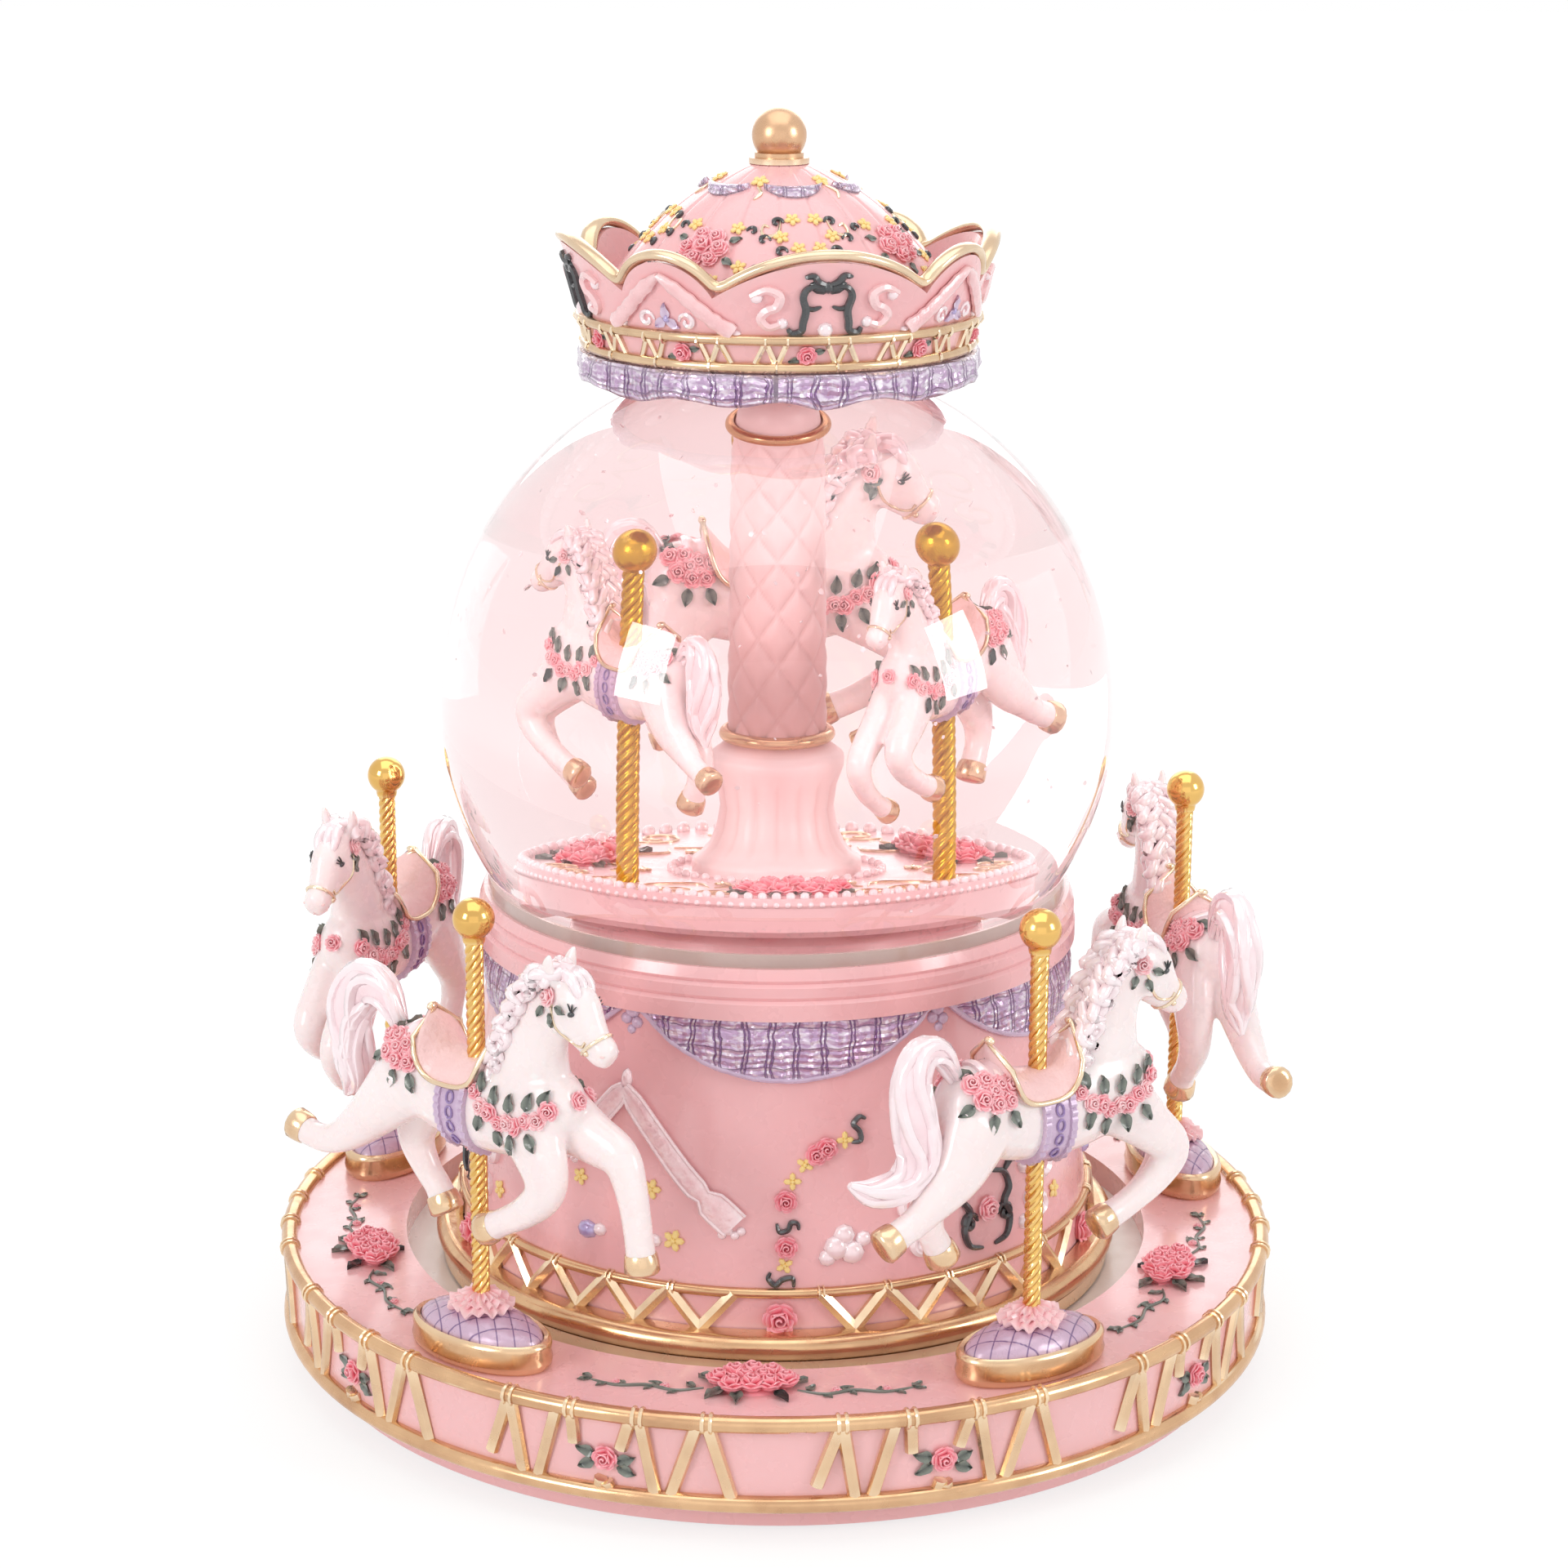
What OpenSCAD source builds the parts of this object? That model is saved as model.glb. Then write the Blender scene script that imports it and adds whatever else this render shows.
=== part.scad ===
// Carousel music box: a fixed drum with a water globe and a crown, and a ring of five horses that turns round it.
// The origin is the centre of the underside, +Z is up, and -Y is the front. Millimetres.

/* [Globe] */
// Outer diameter of the glass globe
globe_d = 100; // [97:0.5:102]
// Wall of the glass globe
globe_wall = 1.6; // [1.2:0.1:2.4]
// Height of the globe's centre above the table
globe_z = 99.6; // [98.6:0.2:101]
// Radius of the opening in the bottom of the globe
neck_r = 28.3; // [27.9:0.1:29]

/* [Base] */
// How far the base plate's edge lies inside the ring's wall
base_inset = 2.9; // [2:0.1:5]
// Thickness of the base plate
base_t = 3.6; // [3:0.1:4]
// Thickness of each rubber foot
foot_t = 1; // [0.8:0.1:1.6]
// Diameter of each rubber foot
foot_d = 12; // [8:0.5:16]
// Distance from the base plate's edge to the middle of each foot
foot_inset = 16; // [13:0.5:22]
// Radius of the well that holds the winding key
well_r = 15; // [14:0.5:17]
// Wall of the well
well_wall = 1.6; // [1.2:0.1:2]

/* [Turning ring] */
// Width of the ring from its hole to its outer wall
ring_w = 17.3; // [15.6:0.1:19]
// Gap between the drum's moulding and the ring
ring_gap = 4.6; // [3:0.1:6]
// Thickness of the ring's top
ring_top_t = 3.9; // [3:0.1:4.4]
// Thickness of the ring's outer wall
ring_wall = 2.2; // [1.6:0.1:2.6]
// Radius of the gilt rails round the ring
ring_rail_r = 1.2; // [0.9:0.1:1.5]
// Number of horses on the ring
horses = 5; // [5:1:5]
// Angle of the first outer pole from the front
outer_first_a = 33; // [0:1:71]

/* [Ball race] */
// Diameter of the balls under the ring
ball_d = 4; // [3:0.2:4.4]
// Number of balls
ball_count = 12; // [6:1:20]
// Distance from the turntable gear's edge to the circle of balls
race_inset = 6; // [5:0.1:8]

/* [Gears] */
// Thickness of the driving gears
gear_t = 2.6; // [2:0.1:3]
// Teeth of the gear on the spring barrel
barrel_teeth = 40; // [40:4:40]
// Teeth of the idler gear
idler_teeth = 28; // [28:4:28]
// Backlash at the pitch line of the driving gears
backlash = 0.3; // [0.2:0.05:0.5]
// Gap between the nylon turntable gear's edge and the ring's wall
turntable_gap = 3.7; // [2:0.1:4.6]

/* [Movement] */
// Height of the underside of the movement's deck
deck_z = 14; // [13.8:0.1:14.4]
// Thickness of the deck
deck_t = 2; // [1.8:0.1:2.2]
// How far the deck reaches beyond the drum's foot
deck_out = 3; // [2:0.1:3.6]
// Radius of each pillar under the deck
pillar_r = 3; // [2.6:0.1:3.6]
// Distance from the inside of the drum's foot to the middle of each pillar
pillar_inset = 5; // [4.5:0.5:7]
// Radius of the spring barrel
barrel_r = 15; // [14.6:0.1:15.4]
// Height of the spring barrel's wall
barrel_h = 10.6; // [9:0.1:11]
// Radius of the winding arbor
arbor_r = 1.5; // [1.2:0.1:1.8]
// Radius of the pinned cylinder
cylinder_r = 6.5; // [5.5:0.1:6.6]
// Length of the pinned cylinder
cylinder_len = 16; // [14:0.5:17]
// Number of teeth on the comb
comb_teeth = 18; // [10:1:20]
// Thickness of the comb
comb_t = 1; // [0.8:0.1:1.2]

/* [Drum] */
// Outer radius of the drum at its foot
drum_foot_r = 48; // [47.4:0.1:48.4]
// How far the drum's neck stands out past the globe's seat
drum_lip = 0.9; // [0.6:0.1:2]
// Wall of the drum
drum_wall = 3; // [2.4:0.1:3.2]
// How far the collar under the globe stands out past the drum's neck
collar_out = 2.2; // [1.8:0.1:3]
// How far the collar's lower edge lies below the globe's centre
collar_drop = 35.4; // [34.6:0.1:36]
// Height of the collar
collar_h = 7.3; // [6.8:0.1:7.6]
// Number of draped swags under the collar
swags = 6; // [4:1:6]
// Drop of each swag
swag_drop = 9; // [6:0.5:10]

/* [Poles and horses] */
// Radius of an outer pole
pole_r = 1.25; // [1:0.05:1.5]
// Radius of the ball on an outer pole
pole_ball_r = 2.9; // [2.4:0.1:3.2]
// Height of the centre of an outer pole's ball above its plinth
pole_h = 56.3; // [54:0.1:58]
// Height of an outer plinth above the ring
plinth_h = 7.2; // [6:0.1:8]
// Half length of an outer plinth
plinth_half_l = 12; // [10:0.5:13]
// Bare margin of the ring on each side of a plinth
plinth_margin = 1.85; // [1.85:0.05:3]
// Length of an outer horse from nose to tail
horse_len = 58; // [54:0.5:60]
// Height of the middle of an outer horse's body above its plinth
horse_up = 29.8; // [28.4:0.1:31.4]

/* [Stage in the globe] */
// Gap between the stage and the neck that it goes in through
stage_gap = 0.8; // [0.6:0.1:2]
// Height of the top of the stage above the globe's neck
stage_h = 20.2; // [18:0.1:22]
// Thickness of the stage's rim
stage_t = 5.5; // [4:0.5:6]
// Radius of the column
column_r = 5.3; // [4.6:0.1:5.6]
// Height of the column above the stage
column_h = 58; // [54:0.5:60]
// Distance from the stage's edge to the middle of each inner pole
inner_inset = 6.5; // [5.8:0.1:7]
// Radius of an inner pole
inner_pole_r = 1.4; // [1.1:0.05:1.5]
// Height of the centre of an inner pole's ball above the stage
inner_pole_h = 40; // [38.5:0.5:42.5]
// Length of an inner horse
inner_horse_len = 38; // [34:0.5:39]
// Height of the middle of an inner horse's body above the stage
inner_horse_up = 23.5; // [22.5:0.5:25]
// Angle of the first inner pole from the front
inner_first_a = 65; // [60:1:70]

/* [Crown] */
// Radius of the crown's band
crown_band_r = 27.4; // [26.6:0.1:28]
// How far the crown's upper edge reaches beyond its band
crown_flare = 4.6; // [3.6:0.1:5]
// Wall of the crown
crown_wall_t = 2.2; // [1.8:0.1:2.6]
// Height of the crown's large peaks above its floor
crown_h = 17.2; // [15:0.2:18]
// How far the lilac frill stands out past the crown's band
frill_out = 1.6; // [1.4:0.1:2.2]
// Height of the dome above the crown's floor
dome_h = 26; // [24:0.5:28]
// Radius of the finial ball
finial_r = 3.9; // [3:0.1:4.4]

/* [Hidden] */
$fn = 96;

// Clearances
run = 0.05;      // radial gap of a shaft that turns in a bore
seat = 0.3;      // gap between curved faces that lie against each other
part_gap = 0.4;  // gap between flat faces that pass each other
joint = 0.02;    // gap of a fixed pin in its hole

// Screws
screw_r = 1.2;
screw_head_r = 2.3;
screw_head_h = 1.2;

// Globe and drum, from the inside out
globe_r = globe_d / 2;
globe_in_r = globe_r - globe_wall;
neck_z = globe_z - sqrt(globe_in_r * globe_in_r - neck_r * neck_r);
plug_r = neck_r - seat;
plug_h = 5;
flange_r = plug_r + 3;
flange_t = 3;
seat_out_r = globe_r + seat;
seat_hole_r = flange_r + 1;
collar_z = globe_z - collar_drop;
collar_top = collar_z + collar_h;
seat_top_r = sqrt(seat_out_r * seat_out_r - (globe_z - collar_top) * (globe_z - collar_top));
shelf_r = seat_out_r + drum_wall;
drum_neck_r = seat_top_r + drum_lip;
drum_bulge = 1.6;
collar_r = drum_neck_r + collar_out;
drum_in_r = drum_foot_r - drum_wall;
moulding_h = 3.6;
moulding_out = 4;
moulding_rail_up = 8.9;
moulding_rail_r = 0.75;
swag_t = 1.4;
swag_half = 21;
swag_first_a = 2;

// The turning ring and what lies under it, from the inside out
ring_hole_r = drum_foot_r + moulding_out + ring_gap;
ring_r = ring_hole_r + ring_w;
outer_circle_r = ring_hole_r + ring_w / 2;
plinth_half_w = ring_w / 2 - plinth_margin;
turntable_r = ring_r - ring_wall - turntable_gap;
screw_circle_r = turntable_r - 2.8;
race_r = turntable_r - race_inset;
base_r = ring_r - base_inset;
foot_circle_r = base_r - foot_inset;
deck_r = drum_foot_r + deck_out;
pillar_circle_r = drum_in_r - pillar_inset;

// Heights of the stack, from the table up
base_top = foot_t + base_t;
gear_top = deck_z - part_gap;
gear_z = gear_top - gear_t;
track_z = gear_z - ball_d - 2 * run;
ball_z = track_z + run + ball_d / 2;
deck_top = deck_z + deck_t;
ring_z = base_top + part_gap;
ring_under = gear_top;
ring_top = ring_under + ring_top_t;
plinth_top = ring_top + plinth_h;
pole_ball_z = plinth_top + pole_h;
horse_z = plinth_top + horse_up;
moulding_rail_z = deck_top + moulding_rail_up;
stage_z = neck_z + stage_h;
stage_r = neck_r - stage_gap;
column_top_z = stage_z + column_h;
inner_circle_r = stage_r - inner_inset;
inner_ball_z = stage_z + inner_pole_h;
inner_horse_z = stage_z + inner_horse_up;

// Driving gears
idler_pin_r = 2;
idler_hole_r = 2.4;
idler_holes = 5;
ring_teeth = barrel_teeth + 2 * idler_teeth;
gear_m = 2 * drum_foot_r / ring_teeth;
barrel_gear_r = gear_m * barrel_teeth / 2;
idler_gear_r = gear_m * idler_teeth / 2;
idler_x = barrel_gear_r + idler_gear_r;
pressure = 20;
addendum = 0.9;
dedendum = 1.2;

// Movement
hub_r = 6;
barrel_floor = 1.2;
barrel_z = deck_top + part_gap;
barrel_top = barrel_z + barrel_h;
cover_t = 1.4;
crown_teeth = 30;
crown_tooth_h = 1.6;
crown_tooth_w = 0.7;
crown_tooth_r0 = barrel_r - 2.8;
crown_tooth_r1 = barrel_r - 0.1;
cylinder_teeth = 15;
cylinder_m = (crown_tooth_r0 + crown_tooth_r1) / crown_teeth;
cylinder_gear_r = cylinder_m * cylinder_teeth / 2;
cylinder_z = barrel_top + cover_t + crown_tooth_h / 2 + cylinder_gear_r;
cylinder_x = barrel_r + 2.6;
shaft_r = 1;
wheel_teeth = 20;
wheel_m = 0.8;
wheel_r = wheel_m * wheel_teeth / 2;
wheel_t = 1.2;
wheel_x = cylinder_x - 0.4 - wheel_t;
worm_root_r = 1;
worm_throw = 0.6;
worm_y = wheel_r + worm_root_r + worm_throw;
worm_x = wheel_x + wheel_t / 2;
worm_len = 12;
fan_z = cylinder_z + wheel_r + 2;
fan_h = 5;
fan_r = 6;
pin_h = 0.6;
comb_gap = 0.25;
comb_y = -(cylinder_r + pin_h + comb_gap);
comb_room = 1.64;
comb_back_y = -(pillar_circle_r * sin(45) - screw_head_r - comb_room);
comb_len = comb_y - comb_back_y;
comb_bed_l = comb_len * 0.41;
bridge_t = 2;
bridge_z = barrel_top + cover_t + crown_tooth_h + 1.2;
bridge_half = barrel_r + 5;
bracket_t = 2;
lug_x = 6.5;
lug_t = 2.5;
key_wing = 11;
key_h = 4.5;
key_z = foot_t + 0.6;

// Crown
crown_floor_z = globe_z + globe_r + seat;
crown_floor_t = 2.5;
crown_band_z = crown_floor_z + crown_floor_t;
crown_band_h = 4.6;
crown_seat_r = 17;
crown_peak = crown_floor_z + crown_h + 1.7;
peaks = 4;
large_peak_a = 12.8;
crown_rim_r = crown_band_r + crown_flare;
large_half = crown_rim_r * sin(27.5);
small_half = crown_rim_r * sin(14.3);
arch_reach = crown_rim_r + 10;
arch_inner_y = crown_rim_r / 2;
valley_drop = 4.6;
small_drop = 0.5;
rim_h = 1.5;
rim_out = 0.5;
crown_rail_r = 0.75;
frill_r = crown_band_r + frill_out;
frill_z = crown_band_z - 4.8;
frill_lobes = 14;
dome_r = crown_band_r - crown_wall_t - seat;
dome_wall = 2.4;
dome_top_r = 4;
dome_z = crown_band_z;
dome_straight = 8;
dome_bend = 8.9;
dome_top = crown_floor_z + dome_h + 1.9;

// Points of a horse that is 58 mm long, from the middle of its body.
// Each station is [forward, side, up, half height, half width].
horse_unit = 58;
hole_sides = 16;
trunk = [[-16, 0, 4.6, 1.6, 1.6], [-14.6, 0, 4.4, 4.2, 3.6], [-11, 0, 3.4, 6.2, 5], [-5, 0, 1.2, 6.2, 5.1],
    [2, 0, 0.2, 6.3, 5], [8, 0, 1.4, 7, 5], [13, 0, 3.2, 6.4, 4.6], [16.6, 0, 5, 4.2, 3.4], [18.4, 0, 6, 1.6, 1.6]];
neck = [[10.5, 0, 1.5, 6.5, 3.4], [10.8, 0, 7, 5.6, 3.2], [11.6, 0, 12, 4.4, 2.7], [13.4, 0, 16.6, 3.6, 2.3],
    [15.8, 0, 19.6, 2.6, 1.9]];
head = [[12.6, 0, 19.4, 1.6, 1.5], [14.2, 0, 19, 3.2, 2.3], [17.4, 0, 17.6, 3.3, 2.4], [20.8, 0, 15.2, 2.3, 1.8],
    [24, 0, 13, 1.9, 1.6], [25.4, 0, 12, 1.1, 1]];
ear = [[0, 0, 0, 1, 0.9], [-0.6, 0, 2.2, 0.9, 0.7], [-0.2, 0, 4.2, 0.25, 0.25]];
mane = [[13.8, 0, 23, 1, 0.8], [10, 0, 20.4, 2.2, 1.2], [7, 0, 15, 2.4, 1.5], [5.2, 0, 9.6, 2.4, 1.6],
    [5.6, 0, 6.4, 1, 1]];
saddle = [[-10.4, 0, 8.6, 1.6, 2.6], [-6.4, 0, 7.6, 1.3, 4.4], [0, 0, 6.6, 1.1, 4.8], [5, 0, 7.4, 1.3, 3.8],
    [7.6, 0, 9.2, 1, 2]];
girth = [[0.9, 0, 0.3, 6.8, 5.5], [4.1, 0, 0.7, 6.9, 5.5]];
// Legs and tails of the striding pose
stride_fore_near = [[12.4, -2.4, -1, 4.2, 2.6], [15.6, -2.9, -6.4, 2.6, 2], [14.6, -3, -10.6, 1.7, 1.5],
    [9.4, -3, -14.6, 1.3, 1.3], [6.6, -3, -16, 1.6, 1.5], [4.8, -3, -16.8, 1.9, 1.7]];
stride_fore_far = [[13.6, 2.4, 0.6, 4.4, 2.6], [19, 2.9, -1.2, 2.9, 2.1], [24.4, 3, -2.6, 2.1, 1.7],
    [25.8, 3, -7.4, 1.5, 1.4], [26.4, 3, -12.6, 1.3, 1.3], [27, 3, -16, 1.6, 1.5], [27.4, 3, -18.4, 1.9, 1.7]];
stride_hind_near = [[-11, -2.4, 1.6, 5, 3], [-16.4, -2.8, -4, 3.2, 2.4], [-22.6, -3, -9.6, 2, 1.7],
    [-27.6, -3, -11.4, 1.4, 1.3], [-31, -3, -10.8, 1.5, 1.4], [-33, -3, -9.8, 1.8, 1.6]];
stride_hind_far = [[-10.4, 2.4, 0.4, 5, 3], [-14, 2.8, -6, 2.9, 2.2], [-14.6, 3, -11, 1.7, 1.6],
    [-11.6, 3, -15, 1.3, 1.3], [-10, 3, -17.4, 1.7, 1.5], [-9, 3, -19, 1.9, 1.7]];
stride_tail = [[-14.4, 0, 7.4, 1.3, 1.3], [-18.6, 0, 12.4, 2, 1.7], [-22.6, 0, 13.2, 2.6, 1.9],
    [-25.6, 0, 9, 3, 2.2], [-25.2, 0, 3.4, 2.8, 2], [-24.4, 0, -2, 2, 1.6], [-26.4, 0, -5, 0.6, 0.6]];
// Legs and tails of the leaping pose
leap_fore_near = [[13.4, -2.4, 0, 4.4, 2.6], [19, -2.9, -4.2, 2.9, 2.1], [24.8, -3, -8.4, 2, 1.7],
    [20.6, -3, -13, 1.4, 1.3], [15.4, -3, -17, 1.5, 1.4], [13, -3, -18.8, 1.8, 1.6]];
leap_fore_far = [[12.4, 2.4, -1, 4.2, 2.6], [17.4, 2.9, -6.6, 2.6, 2], [20.4, 3, -12, 1.7, 1.6],
    [14.8, 3, -14.2, 1.3, 1.3], [10.4, 3, -14.4, 1.5, 1.4], [8.4, 3, -13.6, 1.8, 1.6]];
leap_hind_near = [[-11, -2.4, 1.6, 5, 3], [-14.6, -2.8, -5, 3.1, 2.3], [-19.6, -3, -8.6, 1.9, 1.6],
    [-22, -3, -11.2, 1.3, 1.3], [-24, -3, -12.6, 1.6, 1.5], [-25.8, -3, -13.4, 1.9, 1.7]];
leap_hind_far = [[-10.4, 2.4, 0.4, 5, 3], [-13.2, 2.8, -6.4, 2.9, 2.2], [-15.8, 3, -11.6, 1.7, 1.6],
    [-15.6, 3, -15, 1.3, 1.3], [-14.4, 3, -17.2, 1.7, 1.5], [-13.4, 3, -18.8, 1.9, 1.7]];
leap_tail = [[-14.4, 0, 8, 1.3, 1.3], [-17, 0, 13.4, 1.9, 1.7], [-20.6, 0, 13.6, 2.4, 1.9], [-22.6, 0, 8.6, 3, 2.2],
    [-24, 0, 1.6, 3.2, 2.2], [-27, 0, -3.6, 2.4, 1.8], [-31.4, 0, -4.6, 0.8, 0.8]];
short_tail = [[-14.4, 0, 7.4, 1.3, 1.3], [-17.4, 0, 10.4, 1.9, 1.7], [-20, 0, 8.6, 2.6, 2],
    [-21, 0, 2.6, 3, 2.2], [-20.6, 0, -3.4, 2.4, 1.8], [-21.6, 0, -7.6, 0.7, 0.7]];

function unit(v) = v / norm(v);
function mix(a, b, t) = a + (b - a) * t;
function curve(a, b, c, t) = mix(mix(a, b, t), mix(b, c, t), t);

// A body with elliptical sections along its stations, closed at both ends
module sweep(stations, sides = 10) {
    last = len(stations) - 1;
    points = [for (i = [0:last])
        let (here = stations[i],
            before = stations[max(i - 1, 0)],
            after = stations[min(i + 1, last)],
            along = unit([after[0] - before[0], 0, after[2] - before[2]]),
            lift = cross(along, [0, 1, 0]))
        for (k = [0:sides - 1])
            [here[0], here[1], here[2]]
            + lift * here[3] * cos(360 * k / sides)
            + [0, 1, 0] * here[4] * sin(360 * k / sides)];
    walls = [for (i = [0:last - 1], k = [0:sides - 1])
        let (a = i * sides + k, b = i * sides + (k + 1) % sides)
        [a, b, b + sides, a + sides]];
    start = [[for (k = [0:sides - 1]) sides - 1 - k]];
    finish = [[for (k = [0:sides - 1]) last * sides + k]];
    polyhedron(points = points, faces = concat(walls, start, finish), convexity = 6);
}

// Outline of a spur gear with involute flanks
function involute(base, r) = let (a = acos(min(base / r, 1))) tan(a) * 180 / PI - a;
function flank(r, pitch_r, teeth, slack) =
    let (base = pitch_r * cos(pressure))
    90 / teeth - slack * 90 / (PI * pitch_r) + involute(base, pitch_r) - involute(base, max(r, base));
function gear_points(m, teeth, add, ded, slack) =
    let (pitch_r = m * teeth / 2, radii = [pitch_r - ded * m, pitch_r, pitch_r + add * m])
    [for (i = [0:teeth - 1])
        let (mid = 360 * i / teeth)
        for (k = [0:5])
            let (r = radii[k < 3 ? k : 5 - k],
                half = flank(r, pitch_r, teeth, slack),
                a = mid + (k < 3 ? -half : half))
            [r * cos(a), r * sin(a)]];
module spur_gear(m, teeth, thick, slack = backlash) {
    linear_extrude(thick)
        polygon(gear_points(m, teeth, addendum, dedendum, slack));
}

module at_angle(a, r, z = 0) {
    rotate([0, 0, a])
        translate([0, -r, z])
            children();
}

module ring(r_out, r_in, h) {
    difference() {
        cylinder(r = r_out, h = h);
        translate([0, 0, -1])
            cylinder(r = r_in, h = h + 2);
    }
}

module screw(len) {
    translate([0, 0, -len])
        cylinder(r = screw_r, h = len);
    difference() {
        cylinder(r = screw_head_r, h = screw_head_h);
        translate([-screw_head_r, -0.3, screw_head_h - 0.5])
            cube([2 * screw_head_r, 0.6, 1]);
    }
}

// ---- Base ----
foot_angles = [0, 90, 180, 270];
pillar_angles = [45, 135, 225, 315];

module rubber_feet() {
    color("dimgray")
        for (a = foot_angles)
            at_angle(a, foot_circle_r)
                cylinder(r = foot_d / 2, h = foot_t);
}

module base_plate() {
    roof_z = gear_z - part_gap;
    color("lightpink")
        difference() {
            union() {
                translate([0, 0, foot_t])
                    cylinder(r = base_r, h = base_t);
                translate([0, 0, base_top])
                    ring(race_r + ball_d, race_r - ball_d, track_z - base_top);
                translate([0, 0, foot_t])
                    cylinder(r = well_r + well_wall, h = roof_z - foot_t);
            }
            translate([0, 0, -1])
                cylinder(r = well_r, h = roof_z - well_wall + 1);
            cylinder(r = arbor_r + run, h = roof_z + 1);
            for (a = pillar_angles)
                at_angle(a, pillar_circle_r) {
                    cylinder(r = screw_r + joint, h = base_top + 1);
                    cylinder(r = screw_head_r + joint, h = foot_t + screw_head_h);
                }
        }
}

module base_screws() {
    color("silver")
        for (a = pillar_angles)
            at_angle(a, pillar_circle_r, foot_t + screw_head_h)
                rotate([180, 0, 0])
                    screw(base_t + 2);
}

module deck_pillars() {
    color("gold")
        for (a = pillar_angles)
            at_angle(a, pillar_circle_r)
                difference() {
                    translate([0, 0, base_top])
                        cylinder(r = pillar_r, h = deck_z - base_top);
                    cylinder(r = screw_r + joint, h = deck_z + 1);
                }
}

// ---- Movement ----
module movement_deck() {
    color("khaki")
        difference() {
            translate([0, 0, deck_z])
                cylinder(r = deck_r, h = deck_t);
            cylinder(r = hub_r + run, h = deck_top + 1);
            translate([idler_x, 0, 0])
                cylinder(r = idler_pin_r + joint, h = deck_top + 1);
            for (a = pillar_angles)
                at_angle(a, pillar_circle_r)
                    cylinder(r = screw_r + joint, h = deck_top + 1);
        }
}

module deck_screws() {
    color("silver")
        for (a = pillar_angles)
            at_angle(a, pillar_circle_r, deck_top)
                screw(deck_t + 3);
}

module idler_pin() {
    color("silver")
        translate([idler_x, 0, 0]) {
            translate([0, 0, gear_z - 0.1])
                cylinder(r = idler_pin_r, h = deck_top - gear_z + 0.1);
            translate([0, 0, gear_z - 1.1])
                cylinder(r = idler_pin_r + 1, h = 1);
        }
}

module drive_idler() {
    color("white")
        translate([idler_x, 0, gear_z])
            difference() {
                rotate([0, 0, 180 / idler_teeth])
                    spur_gear(gear_m, idler_teeth, gear_t);
                translate([0, 0, -1])
                    cylinder(r = idler_pin_r + run, h = gear_t + 2);
                for (k = [0:idler_holes - 1])
                    rotate([0, 0, 360 * k / idler_holes])
                        translate([(idler_gear_r + idler_pin_r) / 2 - 0.6, 0, -1])
                            cylinder(r = idler_hole_r, h = gear_t + 2);
            }
}

module spring_barrel() {
    color("goldenrod")
        difference() {
            union() {
                translate([0, 0, gear_z])
                    spur_gear(gear_m, barrel_teeth, gear_t);
                translate([0, 0, gear_z])
                    cylinder(r = hub_r, h = barrel_z - gear_z + 0.1);
                translate([0, 0, barrel_z])
                    cylinder(r = barrel_r, h = barrel_h);
            }
            translate([0, 0, barrel_z + barrel_floor])
                cylinder(r = barrel_r - barrel_floor, h = barrel_h);
            cylinder(r = arbor_r + run, h = barrel_top);
        }
}

module barrel_cover() {
    color("gold")
        difference() {
            union() {
                translate([0, 0, barrel_top])
                    cylinder(r = barrel_r, h = cover_t);
                for (k = [0:crown_teeth - 1])
                    rotate([0, 0, 360 * k / crown_teeth])
                        translate([crown_tooth_r0, -crown_tooth_w / 2, barrel_top + cover_t - 0.1])
                            cube([crown_tooth_r1 - crown_tooth_r0, crown_tooth_w, crown_tooth_h + 0.1]);
            }
            translate([0, 0, barrel_top - 1])
                cylinder(r = arbor_r + run, h = cover_t + 3);
        }
}

// Flat spring wound in a spiral between the arbor's collar and the barrel's wall
module mainspring() {
    turns = 7;
    strip = 0.35;
    inner = arbor_r + 2.2;
    outer = barrel_r - barrel_floor - 0.6;
    steps = turns * 16;
    path = [for (i = [0:steps])
        let (a = 360 * turns * i / steps, r = mix(inner, outer, i / steps))
        [r, a]];
    side = [for (p = path) [(p[0] + strip / 2) * cos(p[1]), (p[0] + strip / 2) * sin(p[1])]];
    back = [for (i = [steps:-1:0])
        let (p = path[i])
        [(p[0] - strip / 2) * cos(p[1]), (p[0] - strip / 2) * sin(p[1])]];
    color("slategray")
        translate([0, 0, barrel_z + barrel_floor + part_gap])
            linear_extrude(barrel_h - barrel_floor - 2 * part_gap)
                polygon(concat(side, back));
}

module winding_arbor() {
    color("silver") {
        translate([0, 0, key_z + key_h - 2])
            cylinder(r = arbor_r, h = bridge_z + bridge_t - key_z - key_h + 3);
        translate([0, 0, barrel_z + barrel_floor + part_gap])
            cylinder(r = arbor_r + 1.7, h = barrel_h - barrel_floor - 2 * part_gap);
    }
}

module winding_key() {
    color("silver")
        difference() {
            union() {
                translate([0, 0, key_z + key_h - 3])
                    cylinder(r = 3, h = 4.4);
                for (s = [-1, 1])
                    translate([s * (key_wing - 4.6), 1, key_z + key_h / 2 - 0.2])
                        rotate([90, 0, 0])
                            intersection() {
                                cylinder(r = 4.6, h = 2);
                                translate([-6, 0.2 - key_h / 2, -1])
                                    cube([12, key_h, 4]);
                            }
                translate([-5, -1, key_z])
                    cube([10, 2, key_h - 0.4]);
            }
            translate([0, 0, key_z + key_h - 2 - joint])
                cylinder(r = arbor_r + joint, h = 6);
        }
}

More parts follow.
